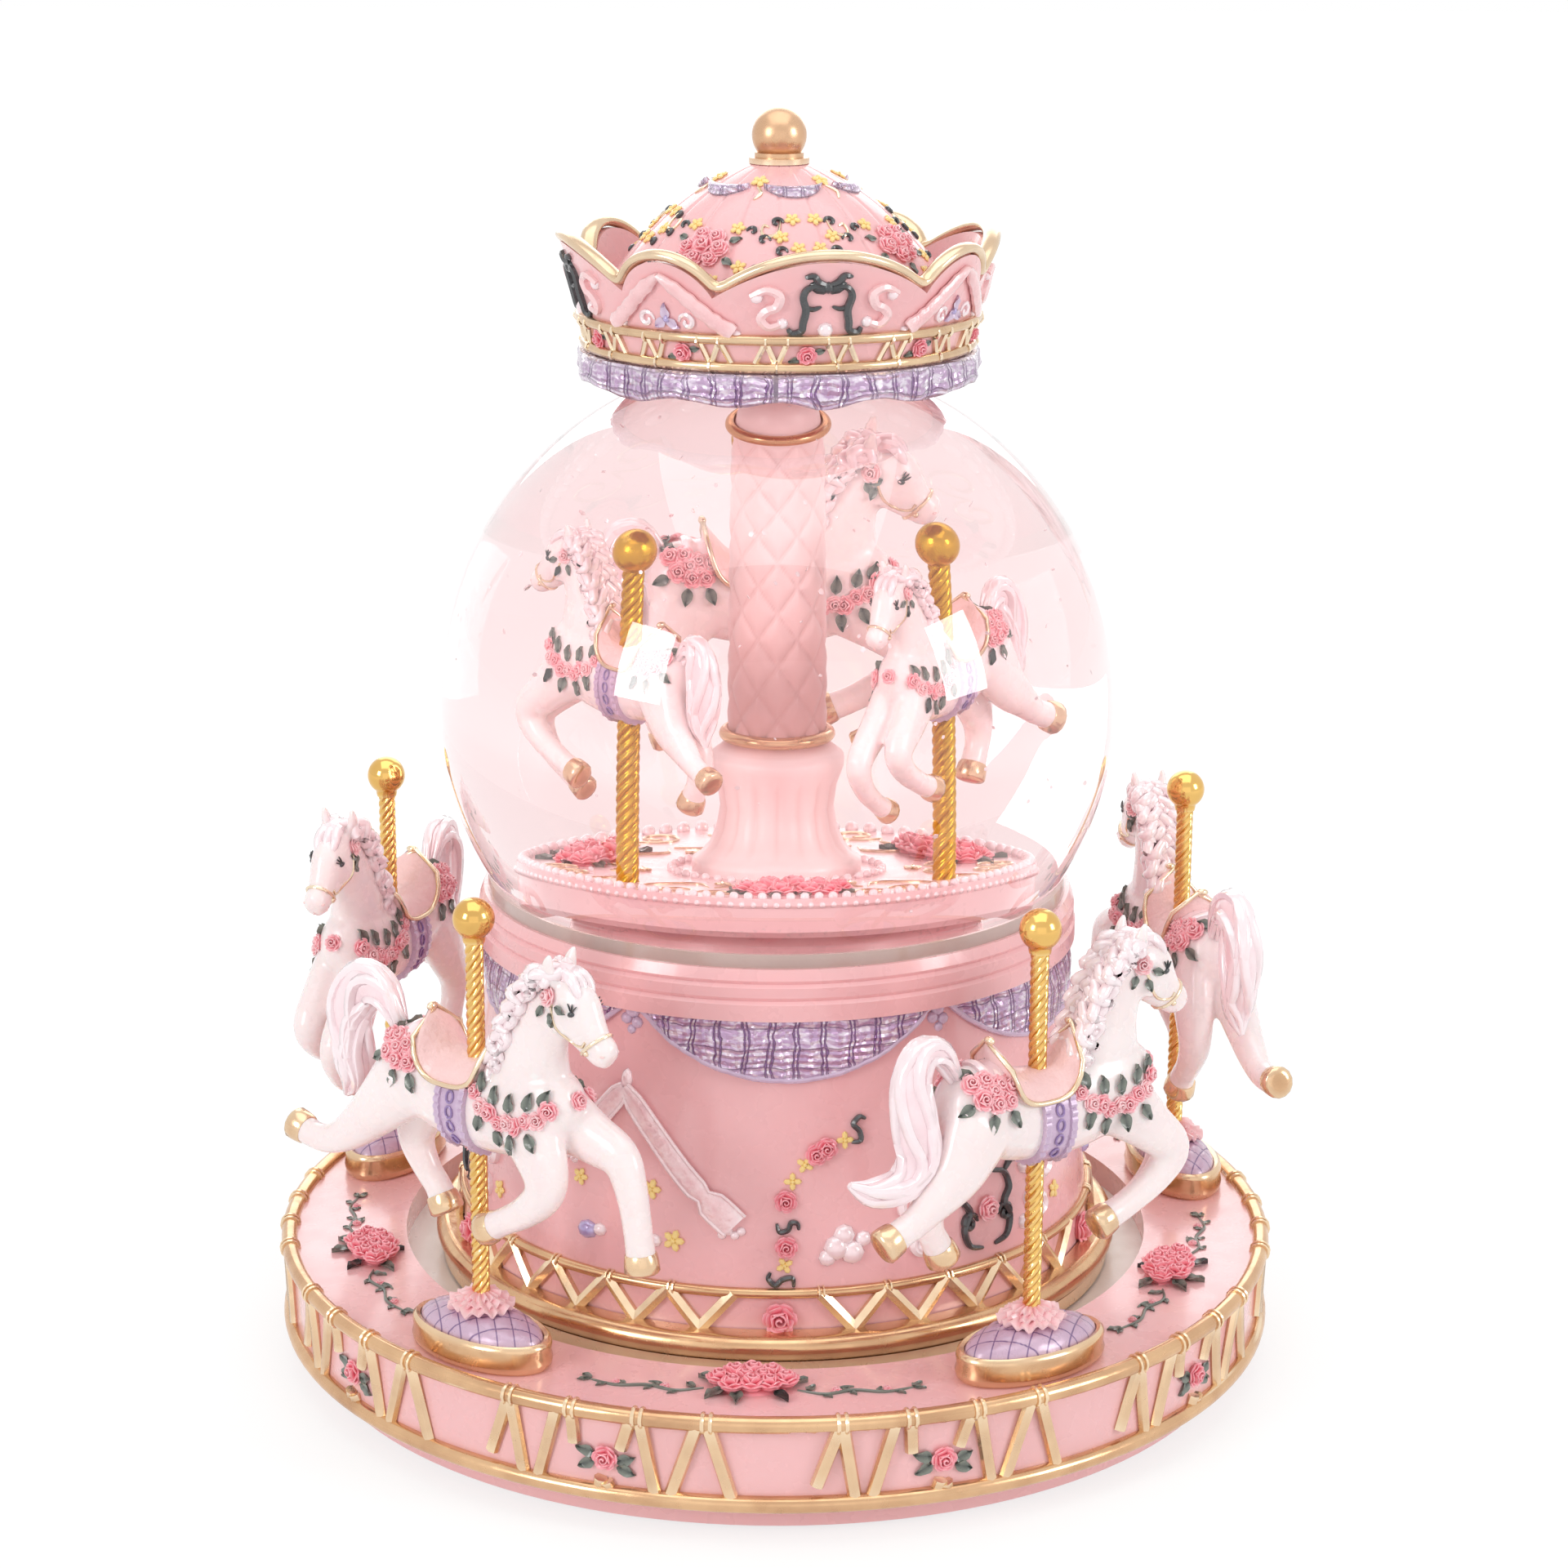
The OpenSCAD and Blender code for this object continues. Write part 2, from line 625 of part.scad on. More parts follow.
module barrel_bridge() {
    color("khaki")
        difference() {
            union() {
                translate([-5, -bridge_half - 3, bridge_z])
                    cube([10, 2 * bridge_half + 6, bridge_t]);
                translate([-5, -4, bridge_z])
                    cube([lug_x + lug_t + 5, 8, bridge_t]);
                translate([lug_x, -4, bridge_z])
                    cube([lug_t, 8, cylinder_z + 4 - bridge_z]);
                for (s = [-1, 1])
                    translate([0, s * bridge_half, deck_top])
                        cylinder(r = 2.6, h = bridge_z - deck_top + 0.1);
            }
            translate([0, 0, bridge_z - 1])
                cylinder(r = arbor_r + run, h = bridge_t + 2);
            translate([lug_x - 1, 0, cylinder_z])
                rotate([0, 90, 0])
                    cylinder(r = shaft_r + run, h = lug_t + 2);
            for (s = [-1, 1])
                translate([0, s * bridge_half, bridge_z - 5])
                    cylinder(r = screw_r + joint, h = 10);
        }
}

module bridge_screws() {
    color("silver")
        for (s = [-1, 1])
            translate([0, s * bridge_half, bridge_z + bridge_t])
                screw(bridge_t + 3);
}

module music_cylinder() {
    rows = 16;
    gear_x = (crown_tooth_r0 + crown_tooth_r1) / 2;
    shaft_end = cylinder_x + cylinder_len + bracket_t + 1;
    color("gold")
        translate([0, 0, cylinder_z])
            rotate([0, 90, 0]) {
                translate([0, 0, lug_x - 0.6])
                    cylinder(r = shaft_r, h = shaft_end - lug_x + 0.6);
                translate([0, 0, gear_x - 1.1])
                    rotate([0, 0, 180 / cylinder_teeth])
                        linear_extrude(2.2)
                            polygon(gear_points(cylinder_m, cylinder_teeth, 0.65, 1.1, 0.45));
                translate([0, 0, wheel_x])
                    rotate([0, 0, 90])
                        linear_extrude(wheel_t)
                            polygon(gear_points(wheel_m, wheel_teeth, 0.45, 1, 0.95));
                translate([0, 0, cylinder_x])
                    cylinder(r = cylinder_r, h = cylinder_len);
                for (k = [0:2 * rows - 1])
                    rotate([0, 0, 137.5 * k])
                        translate([cylinder_r - 0.2, 0, cylinder_x + cylinder_len * ((k * 7 + 3) % rows + 0.5) / rows])
                            rotate([0, 90, 0])
                                cylinder(r = 0.22, h = pin_h + 0.2);
            }
}

module cylinder_bracket() {
    color("khaki")
        difference() {
            union() {
                translate([cylinder_x + cylinder_len + part_gap, -4, deck_top])
                    cube([bracket_t, 8, cylinder_z + 4 - deck_top]);
                translate([cylinder_x + cylinder_len + part_gap - 5, -4, deck_top])
                    cube([6, 8, 1.6]);
            }
            translate([cylinder_x + cylinder_len, 0, cylinder_z])
                rotate([0, 90, 0])
                    cylinder(r = shaft_r + run, h = bracket_t + 2);
        }
}

module comb_bed() {
    color("dimgray")
        difference() {
            translate([cylinder_x, comb_y - comb_len, deck_top])
                cube([cylinder_len, comb_bed_l, cylinder_z - deck_top - comb_t / 2]);
            comb_holes();
        }
}

module comb_holes() {
    for (k = [0:2])
        translate([cylinder_x + cylinder_len * (2 * k + 1) / 6, comb_y - comb_len + comb_bed_l / 2, cylinder_z - 6])
            cylinder(r = screw_r + joint, h = 10);
}

module comb() {
    pitch = cylinder_len / comb_teeth;
    slot = 0.25;
    color("lightsteelblue")
        difference() {
            translate([cylinder_x, comb_y - comb_len, cylinder_z - comb_t / 2])
                cube([cylinder_len, comb_len, comb_t]);
            for (k = [1:comb_teeth - 1])
                translate([cylinder_x + pitch * k - slot / 2, comb_y - comb_len + comb_bed_l + 1, cylinder_z - 2])
                    cube([slot, comb_len, 4]);
            comb_holes();
        }
}

module comb_screws() {
    color("silver")
        for (k = [0:2])
            translate([cylinder_x + cylinder_len * (2 * k + 1) / 6, comb_y - comb_len + comb_bed_l / 2,
                cylinder_z + comb_t / 2])
                screw(comb_t + 4);
}

module governor_bracket() {
    low = cylinder_z - worm_len / 2 - 6;
    high = fan_z + fan_h + 0.8;
    color("khaki")
        difference() {
            union() {
                translate([worm_x - 3, worm_y + fan_r + 1, deck_top])
                    cube([6, 2.5, high + 2 - deck_top]);
                for (z = [low, high])
                    translate([worm_x - 3, worm_y - 2.4, z])
                        cube([6, fan_r + 4, 2]);
                translate([worm_x - 3, worm_y + fan_r + 1, deck_top])
                    cube([6, 7, 1.6]);
            }
            translate([worm_x, worm_y, low - 1])
                cylinder(r = 0.8 + run, h = high - low + 4);
        }
}

module governor_worm() {
    low = cylinder_z - worm_len / 2 - 6;
    high = fan_z + fan_h + 0.8;
    turns = worm_len / (PI * wheel_m);
    color("silver")
        translate([worm_x, worm_y, 0]) {
            translate([0, 0, low + 0.4])
                cylinder(r = 0.8, h = high - low + 1.2);
            translate([0, 0, cylinder_z - worm_len / 2])
                linear_extrude(worm_len, twist = -360 * turns, slices = 12 * turns, segments = 14)
                    translate([worm_throw, 0])
                        circle(r = worm_root_r + worm_throw, $fn = 14);
            translate([-fan_r, -0.3, fan_z])
                cube([2 * fan_r, 0.6, fan_h]);
        }
}

// ---- Drum ----
drum_steps = 8;
function drum_out(z) = curve(drum_foot_r, drum_foot_r - drum_bulge, drum_neck_r,
    (z - deck_top) / (collar_z - deck_top));
drum_levels = [for (i = [0:drum_steps]) mix(deck_top, collar_z, i / drum_steps)];
bowl_steps = 5;

module drum_shell() {
    outside = [for (z = drum_levels) [drum_out(z), z]];
    groove = 0.5;
    collar = [[collar_r, collar_z], [collar_r, collar_z + 2.4], [collar_r - groove, collar_z + 2.9],
        [collar_r - 0.2, collar_z + 3.4], [collar_r - 0.2, collar_z + 4.8], [collar_r - groove - 0.2, collar_z + 5.3],
        [collar_r - 0.4, collar_z + 5.8], [collar_r - 1, collar_top]];
    bowl = [for (i = [0:bowl_steps])
        let (r = mix(seat_top_r, seat_hole_r, i / bowl_steps))
        [r, globe_z - sqrt(seat_out_r * seat_out_r - r * r)]];
    shelf = [for (i = [0:bowl_steps])
        let (r = mix(seat_hole_r, drum_neck_r - drum_wall, i / bowl_steps))
        [r, globe_z - sqrt(shelf_r * shelf_r - r * r)]];
    inside = [for (i = [drum_steps - 2:-1:0]) [drum_out(drum_levels[i]) - drum_wall, drum_levels[i]]];
    color("lightpink")
        rotate_extrude()
            polygon(concat(outside, collar, bowl, shelf, inside));
}

module drum_moulding() {
    color("tan")
        rotate_extrude() {
            difference() {
                translate([drum_foot_r + moulding_out - moulding_h / 2, deck_top + moulding_h / 2])
                    circle(r = moulding_h / 2);
                translate([0, deck_top - 1])
                    square([drum_foot_r, moulding_h + 2]);
            }
            difference() {
                translate([drum_foot_r, deck_top])
                    square([moulding_out - moulding_h / 2, moulding_h]);
                translate([drum_foot_r - 1, deck_top + moulding_h - 0.6])
                    square([0.6, 1]);
            }
            difference() {
                translate([drum_out(moulding_rail_z) + 0.3, moulding_rail_z])
                    circle(r = moulding_rail_r);
                polygon(concat([[0, deck_top]], [for (z = drum_levels) [drum_out(z), z]], [[0, collar_z]]));
            }
        }
}

module drum_swags() {
    half = min(swag_half, PI * drum_neck_r / swags - 1);
    arc_r = (half * half + swag_drop * swag_drop) / (2 * swag_drop);
    low = collar_z - swag_drop;
    levels = [for (i = [0:4]) mix(low, collar_z, i / 4)];
    color("thistle")
        intersection() {
            rotate_extrude()
                polygon(concat([for (z = levels) [drum_out(z) + joint, z]],
                    [for (i = [4:-1:0]) [drum_out(levels[i]) + swag_t, levels[i]]]));
            for (k = [0:swags - 1])
                rotate([0, 0, swag_first_a + 360 * k / swags])
                    translate([0, -drum_neck_r / 2, low + arc_r])
                        rotate([90, 0, 0])
                            cylinder(r = arc_r, h = drum_neck_r);
        }
}

// ---- Globe and stage ----
module glass_globe() {
    color("mistyrose", 0.3)
        difference() {
            translate([0, 0, globe_z])
                sphere(r = globe_r);
            translate([0, 0, globe_z])
                sphere(r = globe_in_r);
            translate([0, 0, neck_z - globe_r])
                cylinder(r = globe_r, h = globe_r);
        }
}

module globe_stopper() {
    color("gainsboro") {
        translate([0, 0, neck_z - flange_t])
            cylinder(r = flange_r, h = flange_t);
        translate([0, 0, neck_z])
            cylinder(r = plug_r, h = plug_h);
    }
}

module stage() {
    foot_z = neck_z + plug_h;
    color("pink") {
        translate([0, 0, foot_z])
            cylinder(r1 = stage_r - 4, r2 = stage_r - 6, h = stage_z - stage_t - foot_z + 0.5);
        rotate_extrude()
            polygon([[0, stage_z - stage_t], [stage_r - 1.2, stage_z - stage_t], [stage_r - 0.4, stage_z - stage_t + 0.8],
                [stage_r - 0.2, stage_z - 1.4], [stage_r, stage_z - 1], [stage_r, stage_z], [0, stage_z]]);
    }
}

module column() {
    base_h = 14.3;
    cap_h = 6.5;
    top = column_top_z - cap_h;
    cap = [for (i = [0:8])
        let (a = 90 * i / 8)
        [(column_r - 0.3) * cos(a), top + cap_h - 5 + 5 * sin(a)]];
    color("pink")
        rotate_extrude()
            polygon(concat([[0, stage_z], [9, stage_z], [9, stage_z + 1.4], [7.8, stage_z + 2.2], [6.6, stage_z + 4],
                [6, stage_z + 7], [6.4, stage_z + 9.6], [7.2, stage_z + 11.6], [7.2, stage_z + 12.8],
                [column_r, stage_z + base_h], [column_r, top]], cap));
}

module column_rings() {
    ring_tube = 0.7;
    color("goldenrod")
        for (z = [stage_z + 14.3, column_top_z - 6.5])
            translate([0, 0, z])
                rotate_extrude()
                    difference() {
                        translate([column_r + 0.3, ring_tube])
                            circle(r = ring_tube);
                        square([column_r + joint, 2 * ring_tube]);
                    }
}

inner_angles = [for (k = [0:2]) inner_first_a + 120 * k];

module inner_poles() {
    color("goldenrod")
        for (a = inner_angles)
            at_angle(a, inner_circle_r) {
                translate([0, 0, stage_z])
                    cylinder(r = inner_pole_r, h = inner_ball_z - stage_z);
                translate([0, 0, inner_ball_z])
                    sphere(r = 2 * inner_pole_r);
            }
}

// ---- Horses ----
// A horse in its own frame: its pole stands on the origin, and it faces +X
module horse(fore_near, fore_far, hind_near, hind_far, tail, hole_r) {
    difference() {
        union() {
            sweep(trunk, 12);
            sweep(neck, 10);
            sweep(head, 8);
            for (s = [-1, 1])
                translate([13.4, 1.3 * s, 20.6])
                    sweep(ear, 6);
            sweep(mane, 8);
            sweep(saddle, 10);
            sweep(girth, 12);
            sweep(tail, 8);
            for (leg = [fore_near, fore_far, hind_near, hind_far])
                sweep(leg, 8);
        }
        translate([0, 0, -20])
            cylinder(r = hole_r / cos(180 / hole_sides), h = horse_unit, $fn = hole_sides);
    }
}

module striding_horse(hole_r) {
    horse(stride_fore_near, stride_fore_far, stride_hind_near, stride_hind_far, stride_tail, hole_r);
}

module leaping_horse(hole_r) {
    horse(leap_fore_near, leap_fore_far, leap_hind_near, leap_hind_far, leap_tail, hole_r);
}

outer_angles = [for (k = [0:horses - 1]) outer_first_a + 360 * k / horses];
leaps = [true, false, true, true, false];

module outer_horse(n) {
    size = horse_len / horse_unit;
    color("mistyrose")
        at_angle(outer_angles[n - 1], outer_circle_r, horse_z)
            scale(size)
                if (leaps[n - 1])
                    leaping_horse((pole_r + joint) / size);
                else
                    striding_horse((pole_r + joint) / size);
}

module inner_horse(n) {
    size = inner_horse_len / horse_unit * 1.06;
    color("mistyrose")
        at_angle(inner_angles[n - 1], inner_circle_r, inner_horse_z)
            scale(size)
                mirror([1, 0, 0])
                    horse(leap_fore_near, leap_fore_far, leap_hind_near, leap_hind_far, short_tail,
                        (inner_pole_r + joint) / size);
}

module outer_pole(n) {
    color("gold")
        at_angle(outer_angles[n - 1], outer_circle_r) {
            translate([0, 0, plinth_top - 3])
                cylinder(r = pole_r, h = pole_ball_z - plinth_top + 3);
            translate([0, 0, pole_ball_z])
                sphere(r = pole_ball_r);
            translate([0, 0, plinth_top])
                cylinder(r1 = 4.4, r2 = 2.2, h = 1.6);
        }
}

function oval(half_l, half_w) = [for (i = [0:39]) [half_l * cos(9 * i), half_w * sin(9 * i)]];

module plinths() {
    rim_h = plinth_h * 0.6;
    crown_r = plinth_half_l * plinth_half_l / 5;
    color("thistle")
        for (a = outer_angles)
            at_angle(a, outer_circle_r, ring_top)
                difference() {
                    union() {
                        linear_extrude(rim_h)
                            polygon(oval(plinth_half_l, plinth_half_w));
                        intersection() {
                            linear_extrude(plinth_h)
                                polygon(oval(plinth_half_l - 0.9, plinth_half_w - 0.9));
                            translate([0, 0, plinth_h - crown_r])
                                sphere(r = crown_r);
                        }
                    }
                    translate([0, 0, plinth_h - 3 - joint])
                        cylinder(r = pole_r + joint, h = 10);
                    translate([0, 0, plinth_h])
                        cylinder(r = plinth_half_l, h = 5);
                }
}

// ---- Turning ring ----
module carousel_ring() {
    color("lightpink")
        difference() {
            translate([0, 0, ring_z])
                cylinder(r = ring_r, h = ring_top - ring_z);
            translate([0, 0, ring_z - 1])
                cylinder(r = ring_r - ring_wall, h = ring_under - ring_z + 1);
            translate([0, 0, ring_under - 1])
                cylinder(r = ring_hole_r, h = ring_top_t + 2);
            for (k = [0:horses - 1])
                at_angle(outer_first_a + 180 * (2 * k + 1) / horses, screw_circle_r, ring_under - 1)
                    cylinder(r = screw_r + joint, h = 3);
        }
}

module ring_rails() {
    color("tan")
        rotate_extrude()
            for (z = [ring_z + 0.8, ring_top])
                difference() {
                    translate([ring_r + 0.3 * ring_rail_r, z])
                        circle(r = ring_rail_r);
                    translate([0, z - 2 * ring_rail_r])
                        square([ring_r, 2 * ring_rail_r]);
                    if (z < ring_top)
                        translate([0, z])
                            square([ring_r, 2 * ring_rail_r]);
                }
}

module turntable_gear() {
    color("white")
        translate([0, 0, gear_z])
            difference() {
                cylinder(r = turntable_r, h = gear_t);
                translate([0, 0, -1])
                    linear_extrude(gear_t + 2)
                        rotate([0, 0, 180 / ring_teeth])
                            polygon(gear_points(gear_m, ring_teeth, dedendum, addendum, -backlash));
                for (k = [0:horses - 1])
                    at_angle(outer_first_a + 180 * (2 * k + 1) / horses, screw_circle_r, -1) {
                        cylinder(r = screw_r + joint, h = gear_t + 2);
                        cylinder(r = screw_head_r + joint, h = screw_head_h + 1);
                    }
            }
}

module turntable_screws() {
    color("silver")
        for (k = [0:horses - 1])
            at_angle(outer_first_a + 180 * (2 * k + 1) / horses, screw_circle_r, gear_z + screw_head_h)
                rotate([180, 0, 0])
                    screw(gear_t - screw_head_h + 1.8);
}

module ball_cage() {
    color("ivory")
        translate([0, 0, ball_z - 0.6])
            difference() {
                ring(race_r + 3.4, race_r - 3.4, 1.2);
                for (k = [0:ball_count - 1])
                    at_angle(360 * k / ball_count, race_r, -1)
                        cylinder(r = ball_d / 2 + run, h = 4);
            }
}

module bearing_balls() {
    color("silver")
        for (k = [0:ball_count - 1])
            at_angle(360 * k / ball_count, race_r, ball_z)
                sphere(r = ball_d / 2);
}

// ---- Crown ----
// Solid arches whose tops follow the crown's scalloped edge, lowered by a given amount
module arches(lower) {
    large_r = (large_half * large_half + valley_drop * valley_drop) / (2 * valley_drop);
    small_rise = valley_drop - small_drop;
    small_r = (small_half * small_half + small_rise * small_rise) / (2 * small_rise);
    for (k = [0:peaks - 1]) {
        rotate([0, 0, large_peak_a + 90 * k])
            translate([0, -arch_inner_y, crown_peak - large_r])
                rotate([90, 0, 0])
                    cylinder(r = large_r - lower, h = arch_reach - arch_inner_y);
        rotate([0, 0, large_peak_a + 45 + 90 * k])
            translate([0, -arch_inner_y, crown_peak - small_drop - small_r])
                rotate([90, 0, 0])
                    cylinder(r = small_r - lower, h = arch_reach - arch_inner_y);
    }
}

function crown_out(z) = curve(crown_band_r, crown_band_r + 1.4, crown_rim_r,
    (z - crown_band_z) / (crown_peak - crown_band_z));
crown_levels = [for (i = [0:6]) mix(crown_band_z, crown_peak, i / 6)];

module crown_profile(grow) {
    rotate_extrude()
        polygon(concat([for (z = crown_levels) [crown_out(z) + grow, z]],
            [for (i = [6:-1:0]) [crown_out(crown_levels[i]) - crown_wall_t - grow, crown_levels[i]]]));
}

module crown_shell() {
    seat_r = globe_r + seat;
    color("lightpink") {
        intersection() {
            crown_profile(0);
            union() {
                arches(rim_h);
                cylinder(r = arch_reach, h = crown_peak - valley_drop - rim_h - 1.5);
            }
        }
        difference() {
            union() {
                translate([0, 0, crown_floor_z])
                    cylinder(r = crown_band_r, h = crown_floor_t);
                translate([0, 0, crown_floor_z - 3])
                    cylinder(r = crown_seat_r, h = 3.1);
            }
            translate([0, 0, globe_z])
                sphere(r = seat_r);
        }
    }
}

module crown_rim() {
    color("tan")
        difference() {
            intersection() {
                crown_profile(rim_out);
                arches(0);
            }
            arches(rim_h);
            cylinder(r = arch_reach, h = crown_peak - valley_drop - rim_h - 1.5);
        }
}

module crown_rails() {
    color("tan")
        rotate_extrude()
            for (z = [crown_band_z + 0.2, crown_band_z + 4.1])
                difference() {
                    translate([crown_out(z) + 0.4, z])
                        circle(r = crown_rail_r);
                    polygon(concat([[0, crown_band_z - 9], [crown_band_r, crown_band_z - 9]],
                        [for (l = crown_levels) [crown_out(l), l]], [[0, crown_peak]]));
                }
}

module crown_frill() {
    color("thistle")
        difference() {
            rotate_extrude()
                polygon([[crown_band_r + joint, frill_z + 1], [crown_band_r + 0.8, frill_z], [frill_r, frill_z + 0.6],
                    [frill_r + 0.2, frill_z + 2.6], [frill_r - 0.6, crown_band_z - 0.7],
                    [crown_band_r + joint, crown_band_z - 0.7]]);
            for (k = [0:frill_lobes - 1])
                at_angle(360 * k / frill_lobes, frill_r + 1.1, frill_z - 1)
                    cylinder(r = 1.4, h = 8);
        }
}

module crown_dome() {
    steps = 8;
    bend = [dome_r - dome_bend, dome_top - 4];
    outside = [for (i = [0:steps])
        curve([dome_r, dome_z + dome_straight], bend, [dome_top_r, dome_top], i / steps)];
    inside = [for (i = [steps:-1:0])
        let (p = curve([dome_r, dome_z + dome_straight], bend, [dome_top_r, dome_top], i / steps))
        [max(p[0] - dome_wall, 0.01), p[1] - dome_wall]];
    color("lightpink")
        rotate_extrude()
            polygon(concat([[dome_r, dome_z]], outside, [[0, dome_top], [0, dome_top - dome_wall]],
                [for (i = [1:steps]) inside[i]], [[dome_r - dome_wall, dome_z]]));
}

module finial() {
    color("peru") {
        translate([0, 0, dome_top])
            cylinder(r = dome_top_r + 0.3, h = 0.8);
        translate([0, 0, dome_top + 0.8])
            cylinder(r = dome_top_r - 0.5, h = 0.7);
        translate([0, 0, dome_top + finial_r])
            sphere(r = finial_r);
    }
}

rubber_feet();
base_plate();
base_screws();
deck_pillars();
movement_deck();
deck_screws();
idler_pin();
barrel_bridge();
bridge_screws();
cylinder_bracket();
comb_bed();
comb();
comb_screws();
governor_bracket();
drum_shell();
drum_moulding();
drum_swags();
globe_stopper();
glass_globe();
stage();
column();
column_rings();
inner_poles();
inner_horse(1);  // inner_horse_1
inner_horse(2);  // inner_horse_2
inner_horse(3);  // inner_horse_3
crown_shell();
crown_frill();
crown_rails();
crown_rim();
crown_dome();
finial();
carousel_ring();
ring_rails();
turntable_gear();
turntable_screws();
plinths();
outer_pole(1);  // outer_pole_1
outer_pole(2);  // outer_pole_2
outer_pole(3);  // outer_pole_3
outer_pole(4);  // outer_pole_4
outer_pole(5);  // outer_pole_5
outer_horse(1);  // outer_horse_1
outer_horse(2);  // outer_horse_2
outer_horse(3);  // outer_horse_3
outer_horse(4);  // outer_horse_4
outer_horse(5);  // outer_horse_5
ball_cage();
bearing_balls();
drive_idler();
spring_barrel();
barrel_cover();
mainspring();
winding_key();
winding_arbor();
music_cylinder();
governor_worm();
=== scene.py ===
"""Looks of a carousel music box: a water globe under a crown, on a drum with a ring of horses that turns round it."""
import logging
from collections.abc import Callable, Sequence
from dataclasses import dataclass, field
from enum import Enum
from math import acos, cos, degrees, pi, radians, sin, sqrt

import bmesh
import bpy
import numpy as np
from bpy.types import ID, Material, Mesh, Node, NodeTree, Object, bpy_prop_collection
from bpy.types import NodeSocket as Socket
from mathutils import Matrix, Vector
from mathutils.bvhtree import BVHTree


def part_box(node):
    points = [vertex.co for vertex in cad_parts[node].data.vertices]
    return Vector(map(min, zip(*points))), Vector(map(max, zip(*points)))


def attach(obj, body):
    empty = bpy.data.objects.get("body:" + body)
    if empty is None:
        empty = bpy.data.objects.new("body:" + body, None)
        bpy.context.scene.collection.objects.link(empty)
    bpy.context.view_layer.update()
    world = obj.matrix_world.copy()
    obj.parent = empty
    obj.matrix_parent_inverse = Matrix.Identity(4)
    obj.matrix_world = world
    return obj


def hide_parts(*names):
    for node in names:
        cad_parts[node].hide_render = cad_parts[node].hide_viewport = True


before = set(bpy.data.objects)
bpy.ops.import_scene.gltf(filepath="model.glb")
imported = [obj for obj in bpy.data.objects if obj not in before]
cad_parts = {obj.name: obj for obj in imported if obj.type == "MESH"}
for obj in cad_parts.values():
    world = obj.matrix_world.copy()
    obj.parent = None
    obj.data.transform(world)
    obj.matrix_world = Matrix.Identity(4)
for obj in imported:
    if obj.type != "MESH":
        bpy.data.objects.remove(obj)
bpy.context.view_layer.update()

MM = 0.001
LOG = logging.getLogger("music_box")

Colour = int
Row = Sequence[float]
Inputs = dict[str | int, object]
Spot = tuple[np.ndarray, np.ndarray]
Outline = Sequence[tuple[float, float]]
Stations = Sequence[tuple[float, float, float, float, float]]


class Body(str, Enum):
    """The bodies that pieces ride on."""

    ROOT = "root"
    CAROUSEL = "outer_carousel"


class Gait(Enum):
    """The ways that a horse holds its legs and tail."""

    STRIDE = "stride"
    LEAP = "leap"
    INNER = "inner"


def read_off(node: str, end: int, way: int) -> float:
    """A field for a size off a CAD node's box, in millimetres: its low end 0 or high end 1, along x 0, y 1 or z 2."""
    return field(default_factory=lambda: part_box(node)[end][way] / MM)


# ---- Shapes in millimetres ----


@dataclass
class Shape:
    """Corners in millimetres, the faces between them, and a pair of pattern coordinates for each corner."""

    corners: np.ndarray
    faces: list[np.ndarray]
    uv: np.ndarray

    def placed(self, matrix: np.ndarray, shift: Row = (0, 0, 0)) -> "Shape":
        """The shape turned or scaled by a 3 by 3 matrix, and then shifted."""
        return Shape(self.corners @ np.asarray(matrix, float).T + np.asarray(shift, float), self.faces, self.uv)


def join(shapes: Sequence[Shape]) -> Shape:
    """Puts shapes together as one."""
    starts = np.cumsum([0] + [len(s.corners) for s in shapes])
    return Shape(np.vstack([s.corners for s in shapes]),
                 [f + start for s, start in zip(shapes, starts) for f in s.faces], np.vstack([s.uv for s in shapes]))


def full_turn(count: int) -> np.ndarray:
    """Angles at equal steps all the way round, in radians."""
    return np.linspace(0, 2 * np.pi, count, endpoint=False)


def walked(line: np.ndarray) -> np.ndarray:
    """How far along a line each of its points lies."""
    return np.concatenate([[0], np.cumsum(np.linalg.norm(np.diff(line, axis=0), axis=1))])


def taper(line: Sequence[object], shares: Row, values: Row) -> np.ndarray:
    """A value for each point of a line, between values at shares of its points."""
    return np.interp(np.linspace(0, 1, len(line)), shares, values)


def bow(start: Row, bend: Row, end: Row, count: int) -> np.ndarray:
    """Points of a profile from a start to an end, drawn towards a bend."""
    t = np.linspace(0, 1, count)[:, None]
    return (1 - t) ** 2 * np.array(start) + 2 * t * (1 - t) * np.array(bend) + t**2 * np.array(end)


def turn_z(angle: float) -> np.ndarray:
    """A turn about the upright axis by degrees, as a 3 by 3 matrix."""
    a = radians(angle)
    return np.array([[cos(a), -sin(a), 0], [sin(a), cos(a), 0], [0, 0, 1]])


def stand(azimuth: float, radius: float, height: float, mirror: bool = False, size: float = 1.0) -> Spot:
    """The matrix and shift of a thing that stands on a circle round the axis and faces along it, or the other way."""
    turn = turn_z(azimuth)
    return turn @ np.diag([-size if mirror else size, size, size]), turn @ np.array([0, -radius, 0]) + [0, 0, height]


